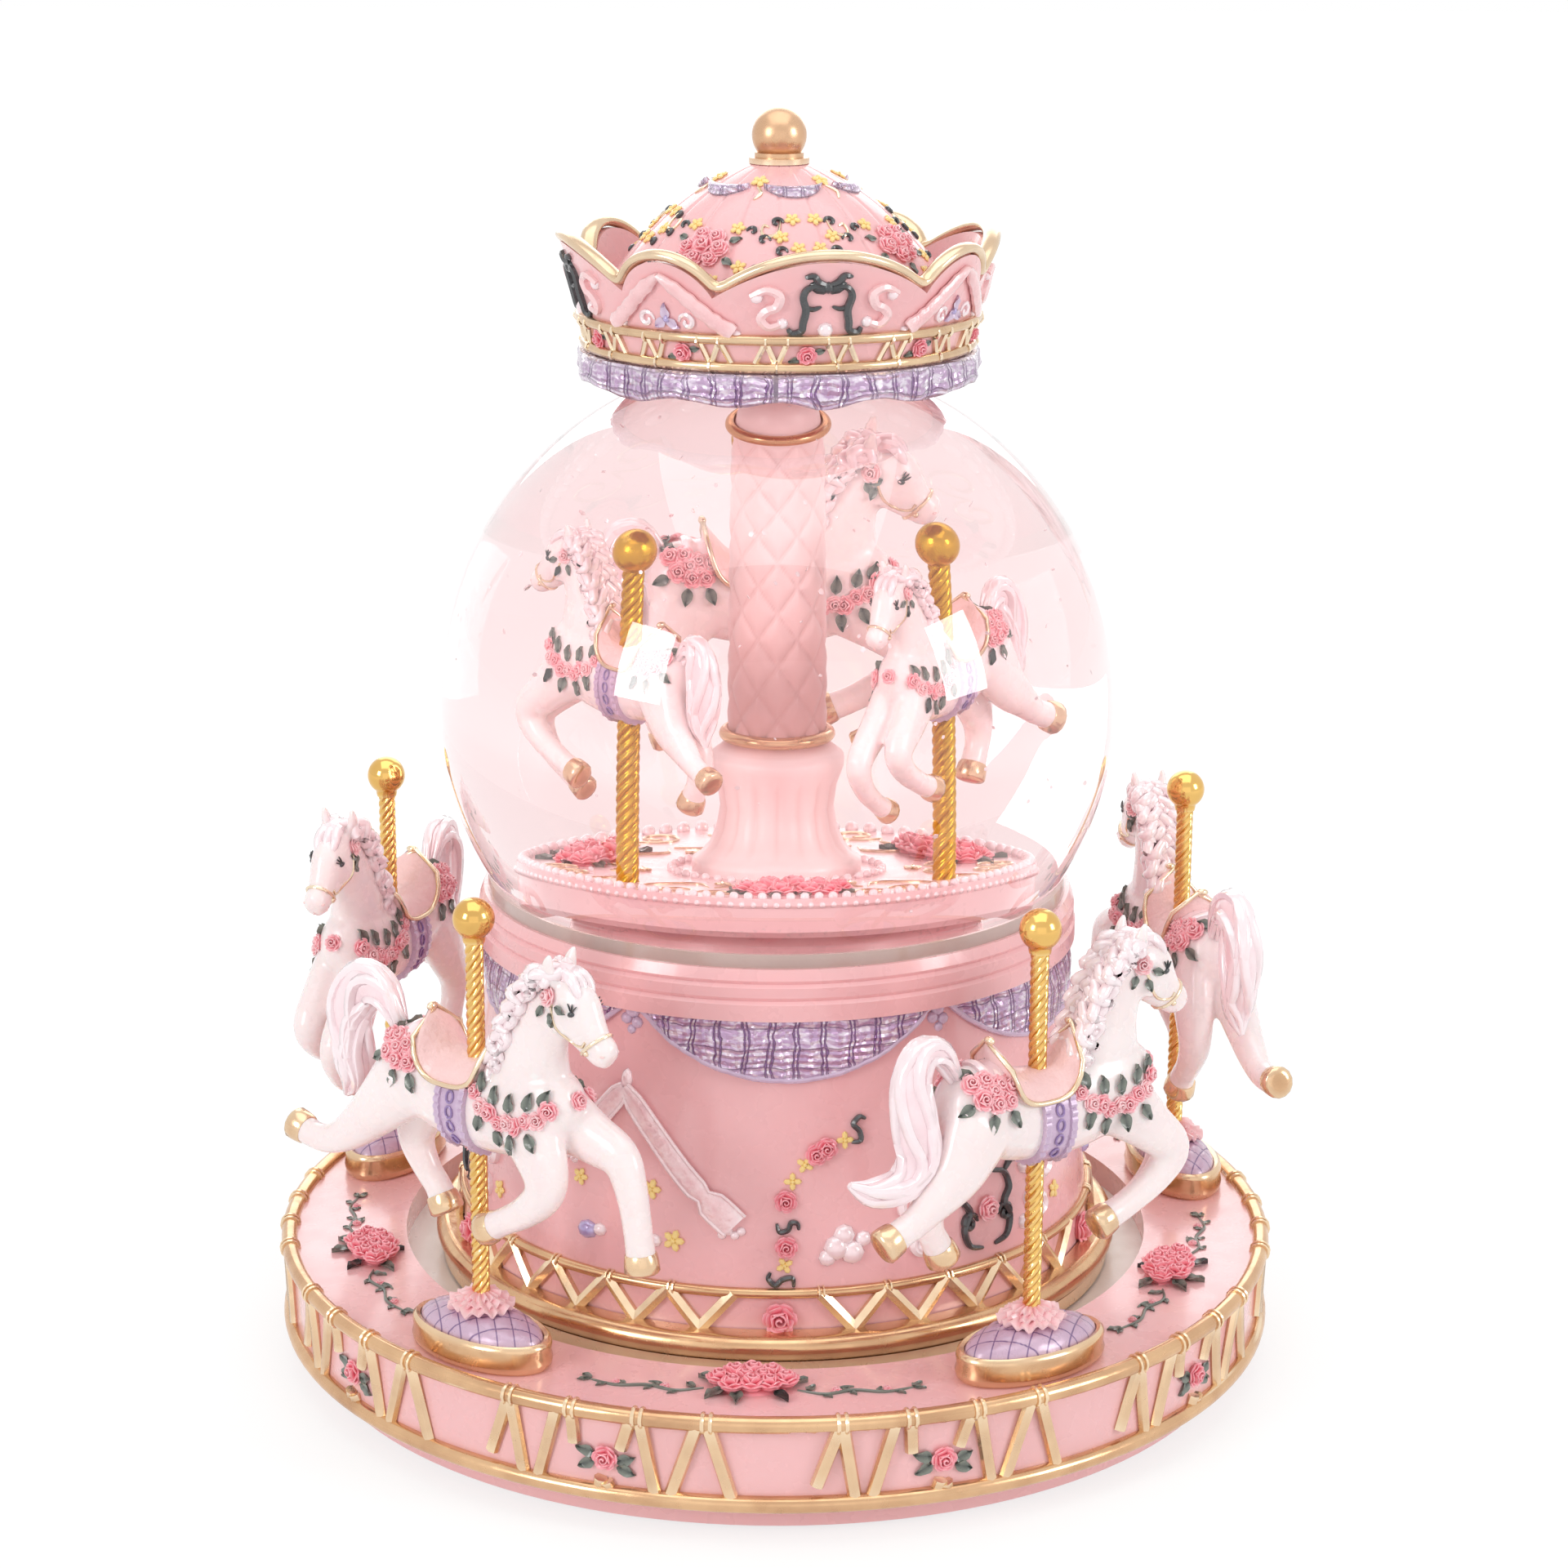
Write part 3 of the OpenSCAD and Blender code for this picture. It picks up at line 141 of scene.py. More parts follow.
def grid(points: np.ndarray, around: bool = True, capped: bool = True, uv: np.ndarray | None = None) -> Shape:
    """A skin over rows of points.

    Args:
        points: rows by columns by 3.
        around: whether the last column joins the first.
        capped: whether its ends are closed, if it goes around.
        uv: rows by columns by 2, or None for shares of each way.

    Returns:
        The shape.
    """
    rows, cols = points.shape[:2]
    if uv is None:
        uv = np.stack(np.meshgrid(np.linspace(0, 1, cols), np.linspace(0, 1, rows)), axis=-1)
    index = np.arange(rows * cols).reshape(rows, cols)
    right = np.roll(index, -1, axis=1) if around else index[:, 1:]
    left = index if around else index[:, :-1]
    quads = np.stack([left[:-1], right[:-1], right[1:], left[1:]], axis=-1).reshape(-1, 4)
    corners, pairs, faces = points.reshape(-1, 3), uv.reshape(-1, 2), [quads]
    if around and capped:
        for row, order in ((index[0], -1), (index[-1], 1)):
            centre = len(corners)
            corners = np.vstack([corners, corners[row].mean(0)])
            pairs = np.vstack([pairs, pairs[row].mean(0)])
            ends = np.stack([row, np.roll(row, -1), np.full(cols, centre)], axis=1)
            faces.append(ends[:, ::order])
    return Shape(corners, faces, pairs)


def smooth_line(points: Sequence[Row], steps: int = 5, closed: bool = False) -> np.ndarray:
    """A smooth line through points of any number of values.

    Args:
        points: what it passes.
        steps: pieces between two of them.
        closed: whether it comes back to its start.

    Returns:
        Its points.
    """
    p = np.asarray(points, float)
    count = len(p)
    if closed:
        before, here, after, beyond = (np.roll(p, k, axis=0) for k in (1, 0, -1, -2))
    else:
        ext = np.vstack([2 * p[0] - p[1], p, 2 * p[-1] - p[-2]])
        before, here, after, beyond = ext[:-3], ext[1:-2], ext[2:-1], ext[3:]
        count -= 1
    t = (np.arange(steps) / steps)[None, :, None]
    a, b, c, d = (x[:count, None, :] for x in (before, here, after, beyond))
    line = 0.5 * (2 * b + (c - a) * t + (2 * a - 5 * b + 4 * c - d) * t**2 + (3 * b - a - 3 * c + d) * t**3)
    line = line.reshape(-1, p.shape[1])
    return line if closed else np.vstack([line, p[-1]])


def unit_rows(v: np.ndarray) -> np.ndarray:
    """Each row made one long."""
    return v / np.maximum(np.linalg.norm(v, axis=-1, keepdims=True), 1e-12)


def tube(path: np.ndarray, radii: np.ndarray | float, sides: int = 8, across: Row | None = None,
         closed: bool = False) -> Shape:
    """A tube along a path.

    Args:
        path: points, n by 3.
        radii: one radius, n radii, or one or n pairs of half width and half height.
        sides: corners of its section.
        across: the way that the half width points, if fixed.
        closed: whether it comes back to its start.

    Returns:
        The shape.
    """
    path = np.asarray(path, float)
    radii = np.asarray(radii, float)
    radii = np.broadcast_to(radii if radii.ndim == 2 else radii.reshape(-1, 1), (len(path), 2))
    along = unit_rows(np.roll(path, -1, axis=0) - np.roll(path, 1, axis=0) if closed else np.gradient(path, axis=0))
    if across is not None:
        lift = unit_rows(np.cross(along, across))
        side = np.cross(lift, along)
    else:
        side = unit_rows(np.cross((0, 0, 1), along))
        lift = np.cross(along, side)
    angle = full_turn(sides)[None, :, None]
    points = (path[:, None] + side[:, None] * radii[:, None, :1] * np.sin(angle)
              + lift[:, None] * radii[:, None, 1:] * np.cos(angle))
    if closed:
        points = np.concatenate([points, points[:1]])
    return grid(points, capped=not closed)


def ball(radii: float | Row, centre: Row = (0, 0, 0), rings: int = 6, sides: int = 8) -> Shape:
    """A ball, or an egg of three radii."""
    tilt = np.linspace(0, np.pi, rings + 1)[:, None]
    angle = full_turn(sides)[None, :]
    unit = np.stack([np.sin(tilt) * np.cos(angle), np.sin(tilt) * np.sin(angle), np.cos(tilt) + 0 * angle], axis=-1)
    return grid(unit * np.broadcast_to(radii, 3) + np.asarray(centre, float), capped=False)


def revolve(profile: Outline, sides: int = 96,
            rule: Callable[[np.ndarray, np.ndarray], np.ndarray] | None = None) -> Shape:
    """A solid of revolution.

    Args:
        profile: (radius, height) pairs that end on the axis or at their start.
        sides: corners round the axis.
        rule: gives new radii from the outline and the angles, for flutes and ribs.

    Returns:
        The shape, whose pattern coordinates are millimetres round and up.
    """
    outline = np.asarray(profile, float)
    angle = full_turn(sides)
    radius = np.broadcast_to(outline[:, :1], (len(outline), sides))
    if rule is not None:
        radius = rule(outline, angle)
    points = np.stack([radius * np.sin(angle), -radius * np.cos(angle),
                       np.broadcast_to(outline[:, 1:], radius.shape)], axis=-1)
    uv = np.stack([np.broadcast_to(angle * outline[:, 0].max(), radius.shape),
                   np.broadcast_to(walked(outline)[:, None], radius.shape)], axis=-1)
    return grid(points, capped=False, uv=uv)


@dataclass(frozen=True)
class Skin:
    """A surface of revolution that relief is laid on.

    Its profile is a row of (radius, height) pairs. It goes up a wall, or inwards over a flat top.
    """

    profile: Outline

    def at(self, s: np.ndarray) -> Spot:
        """The (radius, height) pairs at lengths along the profile, and the ways that its normals point."""
        line = np.asarray(self.profile, float)
        lengths = walked(line)
        step = 0.25

        def point(x: np.ndarray) -> np.ndarray:
            """The pair at a length, past the ends too."""
            inside = np.clip(x, 0, lengths[-1])
            ends = np.where(x[..., None] > lengths[-1], unit_rows(line[-1] - line[-2]), unit_rows(line[1] - line[0]))
            base = np.stack([np.interp(inside, lengths, line[:, k]) for k in (0, 1)], axis=-1)
            return base + ends * (x - inside)[..., None]

        slope = unit_rows(point(s + step) - point(s - step))
        return point(s), np.stack([slope[..., 1], -slope[..., 0]], axis=-1)

    def length_at(self, height: float) -> float:
        """The length along the profile at which a wall reaches a height."""
        line = np.asarray(self.profile, float)
        return float(np.interp(height, line[:, 1], walked(line)))

    def lay(self, shape: Shape, azimuth: float, along: float, size: float = 1.0, turn: float = 0.0,
            lift: float = 0.0) -> Shape:
        """Wraps a flat shape onto the surface.

        Args:
            shape: its x goes round, y along the profile, and z outwards.
            azimuth: where its origin goes, in degrees from the front.
            along: where its origin goes along the profile.
            size: scale.
            turn: a turn in its own plane, in degrees.
            lift: extra height.

        Returns:
            The wrapped shape.
        """
        p = (shape.corners * size) @ turn_z(turn).T
        centre_r = float(self.at(np.array([along]))[0][0, 0])
        place, normal = self.at(along + p[:, 1])
        angle = radians(azimuth) + p[:, 0] / max(centre_r, 0.5)
        radius, height = (place + normal * (p[:, 2] + lift)[:, None]).T
        corners = np.stack([radius * np.sin(angle), -radius * np.cos(angle), height], axis=1)
        return Shape(corners, shape.faces, shape.uv)


# ---- Small ornaments, each about one unit large ----


def rose() -> Shape:
    """A rose of radius 1: a wound heart in a cup of petals, whose second pattern value is high at the rims."""
    t = np.linspace(0, 1, 20)
    angle = t * 1.7 * 2 * np.pi
    radius = 0.05 + 0.36 * t
    top = 0.86 - 0.22 * t**1.5
    section = [(radius - 0.03, 0 * t), (radius - 0.02 + 0.06 * t, top), (radius + 0.07 + 0.05 * t, top - 0.04),
               (radius + 0.09, 0 * t)]
    points = np.stack([np.stack([r * np.cos(angle), r * np.sin(angle), z], axis=-1) for r, z in section], axis=1)
    depth = np.stack([np.broadcast_to([0, 1, 0.95, 0.1], (len(t), 4))] * 2, axis=-1)
    shapes = [grid(points, uv=depth), ball((0.8, 0.8, 0.34), (0, 0, 0.04), 4, 10)]
    shapes[1].uv[:, 1] = 0.1
    for count, reach, tilt, start, wide in ((4, 0.46, 1.15, 10, 0.4), (5, 0.62, 0.55, 40, 0.46),
                                            (6, 0.78, 0.18, 0, 0.44)):
        for k in range(count):
            petal = ball((0.34, wide, 0.1), rings=5, sides=8)
            petal.uv[:, 1] = np.interp(petal.corners[:, 0], [-0.1, 0.3], [0.15, 1])
            petal.corners[:, 2] += 0.5 * petal.corners[:, 0] ** 2 - 0.35 * petal.corners[:, 1] ** 2
            lean = [[cos(tilt), 0, -sin(tilt)], [0, 1, 0], [sin(tilt), 0, cos(tilt)]]
            petal = petal.placed(lean, (reach - 0.12, 0, 0.2 + 0.24 * tilt))
            shapes.append(petal.placed(turn_z(360 / count * k + start)))
    return join(shapes)


def leaf() -> Shape:
    """A leaf one unit long, folded along its rib, that starts at the origin and goes along +y."""
    t = np.linspace(0, 1, 7)
    half = 0.3 * np.sin(np.pi * t**0.75) + 0.01
    zero = 0 * t
    rows = [(-half, 0.12 + 0.06 * np.sin(9 * t)), (zero, zero + 0.02), (half, 0.12 + 0.06 * np.cos(9 * t)),
            (zero, zero - 0.12)]
    points = np.stack([np.stack([x, t, z + 0.12 * t * (1 - t)], axis=-1) for x, z in rows], axis=1)
    return grid(points)


def blossom(petals: int = 5, heart: float = 0.28) -> Shape:
    """A small open flower of radius 1."""
    one = ball((0.5, 0.36, 0.22), (0.55, 0, 0.14), 4, 6)
    middle = ball((heart, heart, 0.42), (0, 0, 0.1), 4, 6)
    return join([one.placed(turn_z(360 / petals * k)) for k in range(petals)] + [middle])


def strand(points: Sequence[Row], width: float, tip: float = 0.25, height: float = 1.0,
           sides: int = 6, steps: int = 5, hand: int = 1) -> Shape:
    """A raised line in a motif's own plane, thick in its middle.

    Args:
        points: its course, as (x, y) pairs.
        width: its half width in the middle.
        tip: the share of that at its ends.
        height: its height as a share of its half width.
        sides: corners of its section.
        steps: pieces between two points.
        hand: -1 to mirror it in x.

    Returns:
        The shape, on the plane z = 0.
    """
    line = smooth_line([(hand * x, y, 0) for x, y in points], steps)
    t = np.linspace(0, 1, len(line))
    half = width * (tip + (1 - tip) * np.sin(np.pi * t) ** 0.6)
    line[:, 2] = 0.35 * half * height
    return tube(line, np.stack([half, half * height], axis=1), sides)


def curl(size: float, turns: float = 1.3, hand: int = 1) -> list[tuple[float, float]]:
    """The course of a scroll that winds in from (0, 0).

    Args:
        size: the radius of its outer turn.
        turns: how far it winds.
        hand: 1 for one way round and -1 for the other.

    Returns:
        Its points.
    """
    t = np.linspace(0, 1, 11)
    r = size * (1 - 0.78 * t)
    a = 2 * pi * turns * t
    return list(zip(hand * (size - r * np.cos(a)), r * np.sin(a)))


def strut(foot: Row, head: Row, out: Row, half: Row, steps: int = 3, sides: int = 6) -> Shape:
    """A bar on a wall, by how far its foot, middle and head stand out, and by its half width and half height."""
    spots = (foot, ((foot[0] + head[0]) / 2, (foot[1] + head[1]) / 2), head)
    return tube(smooth_line([(*spot, lift) for spot, lift in zip(spots, out)], steps), [half], sides)


def hoop(centre: Row, reach: Row, count: int, thick: float) -> Shape:
    """A ring of wire across x, by its centre and its reach in y and z."""
    line = [(centre[0], centre[1] + reach[0] * sin(a), centre[2] + reach[1] * cos(a)) for a in full_turn(count)]
    return tube(line, thick, 5, across=(1, 0, 0), closed=True)


def draped(front: np.ndarray, pattern: np.ndarray) -> Shape:
    """A closed sheet of cloth from its front and the pattern coordinates of its front and back."""
    sheet = np.concatenate([front, front[::-1] * [1, 1, 0] - [0, 0, 0.2]])
    return grid(sheet.transpose(1, 0, 2), uv=pattern.transpose(1, 0, 2))


def arc(radius: float, centre: float, first: float, count: int) -> list[tuple[float, float]]:
    """The outline of a ball from an angle over its foot up to its top."""
    return [(radius * sin(a), centre - radius * cos(a)) for a in np.linspace(first, pi, count)]


def linear(colour: Colour) -> tuple[float, float, float, float]:
    """A screen colour, such as 0xFFC0CB, as Blender's linear colour."""
    share = [(colour >> shift & 255) / 255 for shift in (16, 8, 0)]
    return tuple(s / 12.92 if s <= 0.04045 else ((s + 0.055) / 1.055) ** 2.4 for s in share) + (1,)


class Wiring:
    """Short hand for the nodes and links of one tree."""

    def __init__(self, tree: NodeTree) -> None:
        """Keeps the tree."""
        self.tree = tree

    def feed(self, node: Node, inputs: Inputs) -> None:
        """Links sockets to a node's inputs, and sets values on them."""
        for name, value in inputs.items():
            if isinstance(value, Socket):
                self.tree.links.new(value, node.inputs[name])
            else:
                node.inputs[name].default_value = value

    def add(self, kind: str, inputs: Inputs | None = None, **settings: object) -> Node:
        """Adds a node.

        Args:
            kind: the node's type.
            inputs: what to feed it, by input name or number.
            **settings: the node's own properties.

        Returns:
            The node.
        """
        node = self.tree.nodes.new(kind)
        for name, value in settings.items():
            setattr(node, name, value)
        self.feed(node, inputs or {})
        return node

    def get(self, kind: str, inputs: Inputs | None = None, **settings: object) -> Socket:
        """Adds a node, and gives its first output."""
        return self.add(kind, inputs, **settings).outputs[0]

    def maths(self, operation: str, *values: object) -> Socket:
        """A Math node's result."""
        return self.get("ShaderNodeMath", dict(enumerate(values)), operation=operation)

    def blend(self, share: object, first: object, second: object, mode: str = "MIX") -> Socket:
        """A mix of two colours."""
        node = self.add("ShaderNodeMix", {0: share, 6: first, 7: second}, data_type="RGBA", blend_type=mode)
        return node.outputs[2]

    def ranged(self, value: Socket, low: float, high: float, start: float = 0.0, end: float = 1.0) -> Socket:
        """A value brought from one range to another, and held inside it."""
        return self.get("ShaderNodeMapRange", {0: value, 1: low, 2: high, 3: start, 4: end})

    def place(self) -> Socket:
        """The place on the object, in metres."""
        return self.add("ShaderNodeTexCoord").outputs["Object"]

    def pattern(self) -> bpy_prop_collection:
        """The two pattern coordinates."""
        return self.add("ShaderNodeSeparateXYZ", {0: self.get("ShaderNodeUVMap", uv_map="UVMap")}).outputs

    def noise(self, where: Socket, per_metre: float, detail: float = 3.0) -> Socket:
        """A noise value."""
        return self.get("ShaderNodeTexNoise", {"Vector": where, "Scale": per_metre, "Detail": detail})


@dataclass(frozen=True)
class Finish:
    """What a piece is made of, and its slot."""

    name: str
    slot: str
    colour: Colour

    def wire(self, w: Wiring, shader: Node) -> None:
        """Feeds the shader its colour."""
        w.feed(shader, {"Base Color": linear(self.colour)})

    def material(self) -> Material:
        """The finish as a material, made once."""
        made = bpy.data.materials.get(self.name)
        if made is None:
            made = bpy.data.materials.new(self.name)
            made.use_nodes = True
            self.wire(Wiring(made.node_tree), made.node_tree.nodes["Principled BSDF"])
        return made


@dataclass(frozen=True)
class Paint(Finish):
    """Painted or plated cast resin, and plain metals: mottled, with painted shade in hollows and painted highlights on
    edges.
    """

    # The first colour below is the mottle's second tone and the colour of the painted shade; the next is the colour of
    # painted highlights and of a petal's pale rims.
    mottle_and_shade: Colour
    edge: Colour
    rough: float = 0.4
    metal: float = 0.0
    coat: float = 0.0
    mottle: float = 0.35
    patch: float = 120.0
    grain: float = 1400.0
    relief: float = 0.04
    bleed: float = 0.0
    # How strong the painted shade in hollows is, and then the painted highlights on edges.
    hollow_shade: float = 0.6
    edge_highlight: float = 0.6

    def base(self, w: Wiring, where: Socket) -> Socket:
        """The colour before the painted shade and highlights: two tones in soft patches."""
        patches = w.ranged(w.noise(where, self.patch), 0.35, 0.7, 0, self.mottle)
        return w.blend(patches, linear(self.colour), linear(self.mottle_and_shade))

    def height(self, w: Wiring, where: Socket) -> Socket:
        """The fine relief of the surface."""
        return w.noise(where, self.grain, 4)

    def wire(self, w: Wiring, shader: Node) -> None:
        """Feeds the shader its colours, its gloss and its relief."""
        where = w.place()
        bend = w.add("ShaderNodeNewGeometry").outputs["Pointiness"]
        # Painted shade: hollows, found by the mesh's pointiness, darken towards the second tone.
        colour = w.blend(w.ranged(bend, 0.495, 0.41, 0, self.hollow_shade), self.base(w, where), linear(self.mottle_and_shade))
        rough = w.noise(where, self.patch * 4)
        bump = {"Height": self.height(w, where), "Distance": self.relief * MM, "Strength": 1}
        w.feed(shader, {
            # Painted highlight: sharp edges, found by pointiness, lighten towards the edge colour.
            "Base Color": w.blend(w.ranged(bend, 0.52, 0.6, 0, self.edge_highlight), colour, linear(self.edge)),
            "Roughness": w.ranged(rough, 0.3, 0.7, max(self.rough - 0.08, 0.02), self.rough + 0.08),
            "Normal": w.get("ShaderNodeBump", bump),
            "Metallic": self.metal, "Coat Weight": self.coat, "Coat Roughness": 0.12})
        if self.bleed:
            w.feed(shader, {"Subsurface Weight": self.bleed, "Subsurface Scale": 1.2 * MM,
                            "Subsurface Radius": (1, 0.5, 0.4)})


@dataclass(frozen=True)
class Woven(Paint):
    """Lilac cloth in resin: cells with patches of painted sheen between pairs of dark upright lines, over a pattern in
    millimetres.
    """

    line: Colour = 0x865C92
    # The colour of the painted sheen.
    painted_sheen: Colour = 0xF6ECF8
    check: float = 3.6

    def ways(self, w: Wiring) -> tuple[Socket, Socket]:
        """The two pattern coordinates, made a little uneven."""
        uv = w.pattern()
        rough = w.maths("SUBTRACT", w.noise(w.place(), 260), 0.5)
        return tuple(w.maths("ADD", uv[k], w.maths("MULTIPLY", rough, size)) for k, size in ((0, 2.4), (1, 1.6)))

    def cell(self, w: Wiring, value: object, period: float, shift: float = 0.0) -> Socket:
        """How far a value lies from the middle of its repeat, from 0 to a half."""
        part = w.maths("FRACT", w.maths("ADD", w.maths("DIVIDE", value, period), shift + 100))
        return w.maths("ABSOLUTE", w.maths("SUBTRACT", part, 0.5))

    def marks(self, w: Wiring) -> Socket:
        """Where the dark lines lie, from 0 to 1."""
        u, v = self.ways(w)
        near = w.maths("MINIMUM", self.cell(w, u, self.check), self.cell(w, u, self.check, 0.17))
        upright = w.ranged(near, 0.05, 0.02)
        across = w.ranged(self.cell(w, v, self.check * 0.8), 0.035, 0.012, 0, 0.55)
        return w.maths("MAXIMUM", upright, across)

    def base(self, w: Wiring, where: Socket) -> Socket:
        """Lilac with patches of painted sheen in its cells, and the lines over them."""
        u, v = self.ways(w)
        sheet = w.get("ShaderNodeCombineXYZ", {0: w.maths("MULTIPLY", u, 0.5), 1: v})
        # Painted sheen: soft patches of near white over the lilac.
        sheen_patches = w.ranged(w.noise(sheet, 1.3, 2), 0.46, 0.62, 0, 0.85)
        plain = w.blend(sheen_patches, Paint.base(self, w, where), linear(self.painted_sheen))
        return w.blend(self.marks(w), plain, linear(self.line))

    def height(self, w: Wiring, where: Socket) -> Socket:
        """Raised ripples, with the lines sunk between them."""
        u, v = self.ways(w)
        ripple = w.maths("SUBTRACT", 1, w.maths("MULTIPLY", self.cell(w, v, 0.95), 1.5))
        bars = w.maths("SUBTRACT", 1, w.maths("MULTIPLY", self.cell(w, u, self.check / 3), 1))
        return w.maths("SUBTRACT", w.maths("ADD", ripple, bars), w.maths("MULTIPLY", self.marks(w), 1.4))


@dataclass(frozen=True)
class Petal(Paint):
    """A painted flower: painted shade deep between its petals, and pale along their rims, by the second pattern
    coordinate.
    """

    def base(self, w: Wiring, where: Socket) -> Socket:
        """The colour goes from deep to pale up each petal; the deep foot is painted shade."""
        up = w.ranged(w.pattern()[1], 0.1, 0.95)
        noisy = w.maths("ADD", up, w.ranged(w.noise(where, self.patch * 6), 0.3, 0.7, -0.25, 0.25))
        # Painted shade: the foot of each petal, between the petals, takes the second tone.
        deep = w.blend(w.ranged(noisy, 0, 0.5), linear(self.mottle_and_shade), linear(self.colour))
        return w.blend(w.ranged(noisy, 0.6, 1.1, 0, 0.8), deep, linear(self.edge))


@dataclass(frozen=True)
class Quilted(Paint):
    """Lilac plinth tops with dark seams in a diamond pattern, over pattern coordinates in millimetres."""

    seam: Colour = 0x603E7A
    pitch: float = 2.3

    def base(self, w: Wiring, where: Socket) -> Socket:
        """Lilac with thin dark seams."""
        plain = Paint.base(self, w, where)
        uv = w.pattern()
        ways = []
        for sign in (1, -1):
            slant = w.maths("ADD", uv[0], w.maths("MULTIPLY", uv[1], 1.25 * sign))
            part = w.maths("FRACT", w.maths("ADD", w.maths("DIVIDE", slant, self.pitch * 1.6), 50))
            ways.append(w.maths("ABSOLUTE", w.maths("SUBTRACT", part, 0.5)))
        near = w.maths("MINIMUM", ways[0], ways[1])
        return w.blend(w.ranged(near, 0.06, 0.015, 0, 0.85), plain, linear(self.seam))


@dataclass(frozen=True)
class ShadedFoot(Paint):
    """Paint with painted shade: pale at the top of a piece and darker towards its foot."""

    foot: float = 0.0948
    pale: float = 0.122

    def base(self, w: Wiring, where: Socket) -> Socket:
        """The painted shade by height, in metres."""
        height = w.add("ShaderNodeSeparateXYZ", {0: where}).outputs[2]
        near = w.ranged(height, self.foot - 0.001, self.foot)
        # Painted shade: three quarters of the second tone at the foot, none by the pale height.
        share = w.maths("MULTIPLY", w.ranged(height, self.foot, self.pale, 0.75, 0), near)
        return w.blend(share, Paint.base(self, w, where), linear(self.mottle_and_shade))


@dataclass(frozen=True)
class Liquid(Finish):
    """Clear glass that is full of faintly pink liquid, so that it bends light as one solid ball."""

    cloud: Colour = 0xF9DBDE
    bending: float = 1.36

    def wire(self, w: Wiring, shader: Node) -> None:
        """Feeds the shader a clear body with faint clouds."""
        clouds = w.ranged(w.noise(w.place(), 30), 0.3, 0.7, 0, 0.35)
        w.feed(shader, {
            "Base Color": w.blend(clouds, linear(self.colour), linear(self.cloud)), "Roughness": 0,
            "Transmission Weight": 1, "IOR": self.bending, "Coat Weight": 1, "Coat Roughness": 0,
            "Coat IOR": 1.6})


PINK = Paint("pink_paint", "pink_resin", 0xF7BEC0, 0xEEA0A3, 0xFAD4D2, 0.28, coat=0.5, bleed=0.12, relief=0.008,
             mottle=0.14, patch=60, hollow_shade=0.15, edge_highlight=0.15)
PALE_PINK = Paint("pale_pink_paint", "pale_pink_resin", 0xF4D0D2, 0xECB4B8, 0xFDE6E8, 0.32, coat=0.3, relief=0.008,
                  mottle=0.15, hollow_shade=0.2, edge_highlight=0.2)
# The column: painted shade darkens it towards its foot.
COLUMN_PINK = ShadedFoot("column_paint", "pale_pink_resin", 0xFCE6E6, 0xDE9E9A, 0xFEF0F0, 0.36, relief=0.015, hollow_shade=0.5,
                    mottle=0.15)
GILT = Paint("antique_gilt", "antique_gold", 0xE0B88E, 0x965E42, 0xFEECCC, 0.22, 0.85, patch=140, mottle=0.4,
             relief=0.004)
FINE_GILT = Paint("fine_gilt", "antique_gold", 0xE2C4A0, 0xA07254, 0xFFF2DA, 0.2, 0.85, patch=200, mottle=0.4,
                  relief=0.004)
FINIAL_GILT = Paint("satin_gilt", "antique_gold", 0xDAB28E, 0xB07E5E, 0xF8E0C6, 0.3, 0.85, mottle=0.2, relief=0.001)
BRIGHT_GOLD = Paint("bright_gold_plate", "bright_gold", 0xEABE70, 0xB47C38, 0xFFECB4, 0.14, 1, mottle=0.3,
                    relief=0.004)
GLOBE_GOLD = Paint("globe_gold_plate", "bright_gold", 0xD6AA30, 0x9C6C12, 0xF4CE60, 0.24, 0.9, mottle=0.3)
LILAC = Woven("lilac_weave", "lilac_cloth_paint", 0xC6A5C8, 0xA27CAC, 0xF2E4F2, 0.2, 0.4, coat=0.7,
              patch=260, relief=0.3)
LILAC_TRIM = Paint("lilac_trim", "lilac_cloth_paint", 0xCEB2CE, 0xA080A8, 0xE6D4E6, 0.3, 0.1, coat=0.4)
PLINTH_LILAC = Quilted("lilac_quilting", "lilac_plinth", 0xD2B4CA, 0xB692B6, 0xE6D2E2, 0.3, 0.1, coat=0.4)
IVORY = Paint("ivory_paint", "ivory_horse", 0xFEEFEE, 0xF7D0CF, 0xFFF9F7, 0.26, coat=0.5, mottle=0.2, bleed=0.25,
              relief=0.004, hollow_shade=0.35)
PEARL = Paint("pearl_paint", "ivory_horse", 0xFDE4E8, 0xF2BEC8, 0xFFF8FA, 0.18, 0.12, coat=0.9, mottle=0.35,
              patch=400, relief=0.01, hollow_shade=0.45)
RIBBON = Paint("ribbon_paint", "pink_resin", 0xFAC6C8, 0xE89EA2, 0xFEE2E2, 0.2, 0.1, coat=0.9, mottle=0.4,
               patch=500, grain=1900, relief=0.12)
ROSE = Petal("rose_paint", "pink_resin", 0xFA9AA8, 0xEA627A, 0xFFD0D4, 0.3, coat=0.4, hollow_shade=0.15, relief=0.01)
PALE_ROSE = Petal("pale_rose_paint", "pink_resin", 0xFAB8BE, 0xEE8292, 0xFFDCDE, 0.32, coat=0.4, hollow_shade=0.15,
                  relief=0.01)
DEEP_ROSE = Petal("deep_rose_paint", "pink_resin", 0xF67A8E, 0xDE4662, 0xFEB8C0, 0.3, coat=0.4, hollow_shade=0.15, relief=0.01)
FOIL = Paint("foil_ribbon_paint", "pink_resin", 0xFAD8DA, 0xE4A0A8, 0xFFF6F8, 0.16, 0.25, coat=0.9, mottle=0.6,
             patch=620, grain=1500, relief=0.2)
DARK_LEAF = Paint("leaf_paint", "cast_bed", 0x3E4642, 0x1C2022, 0x969C90, 0.32, coat=0.4, patch=900)
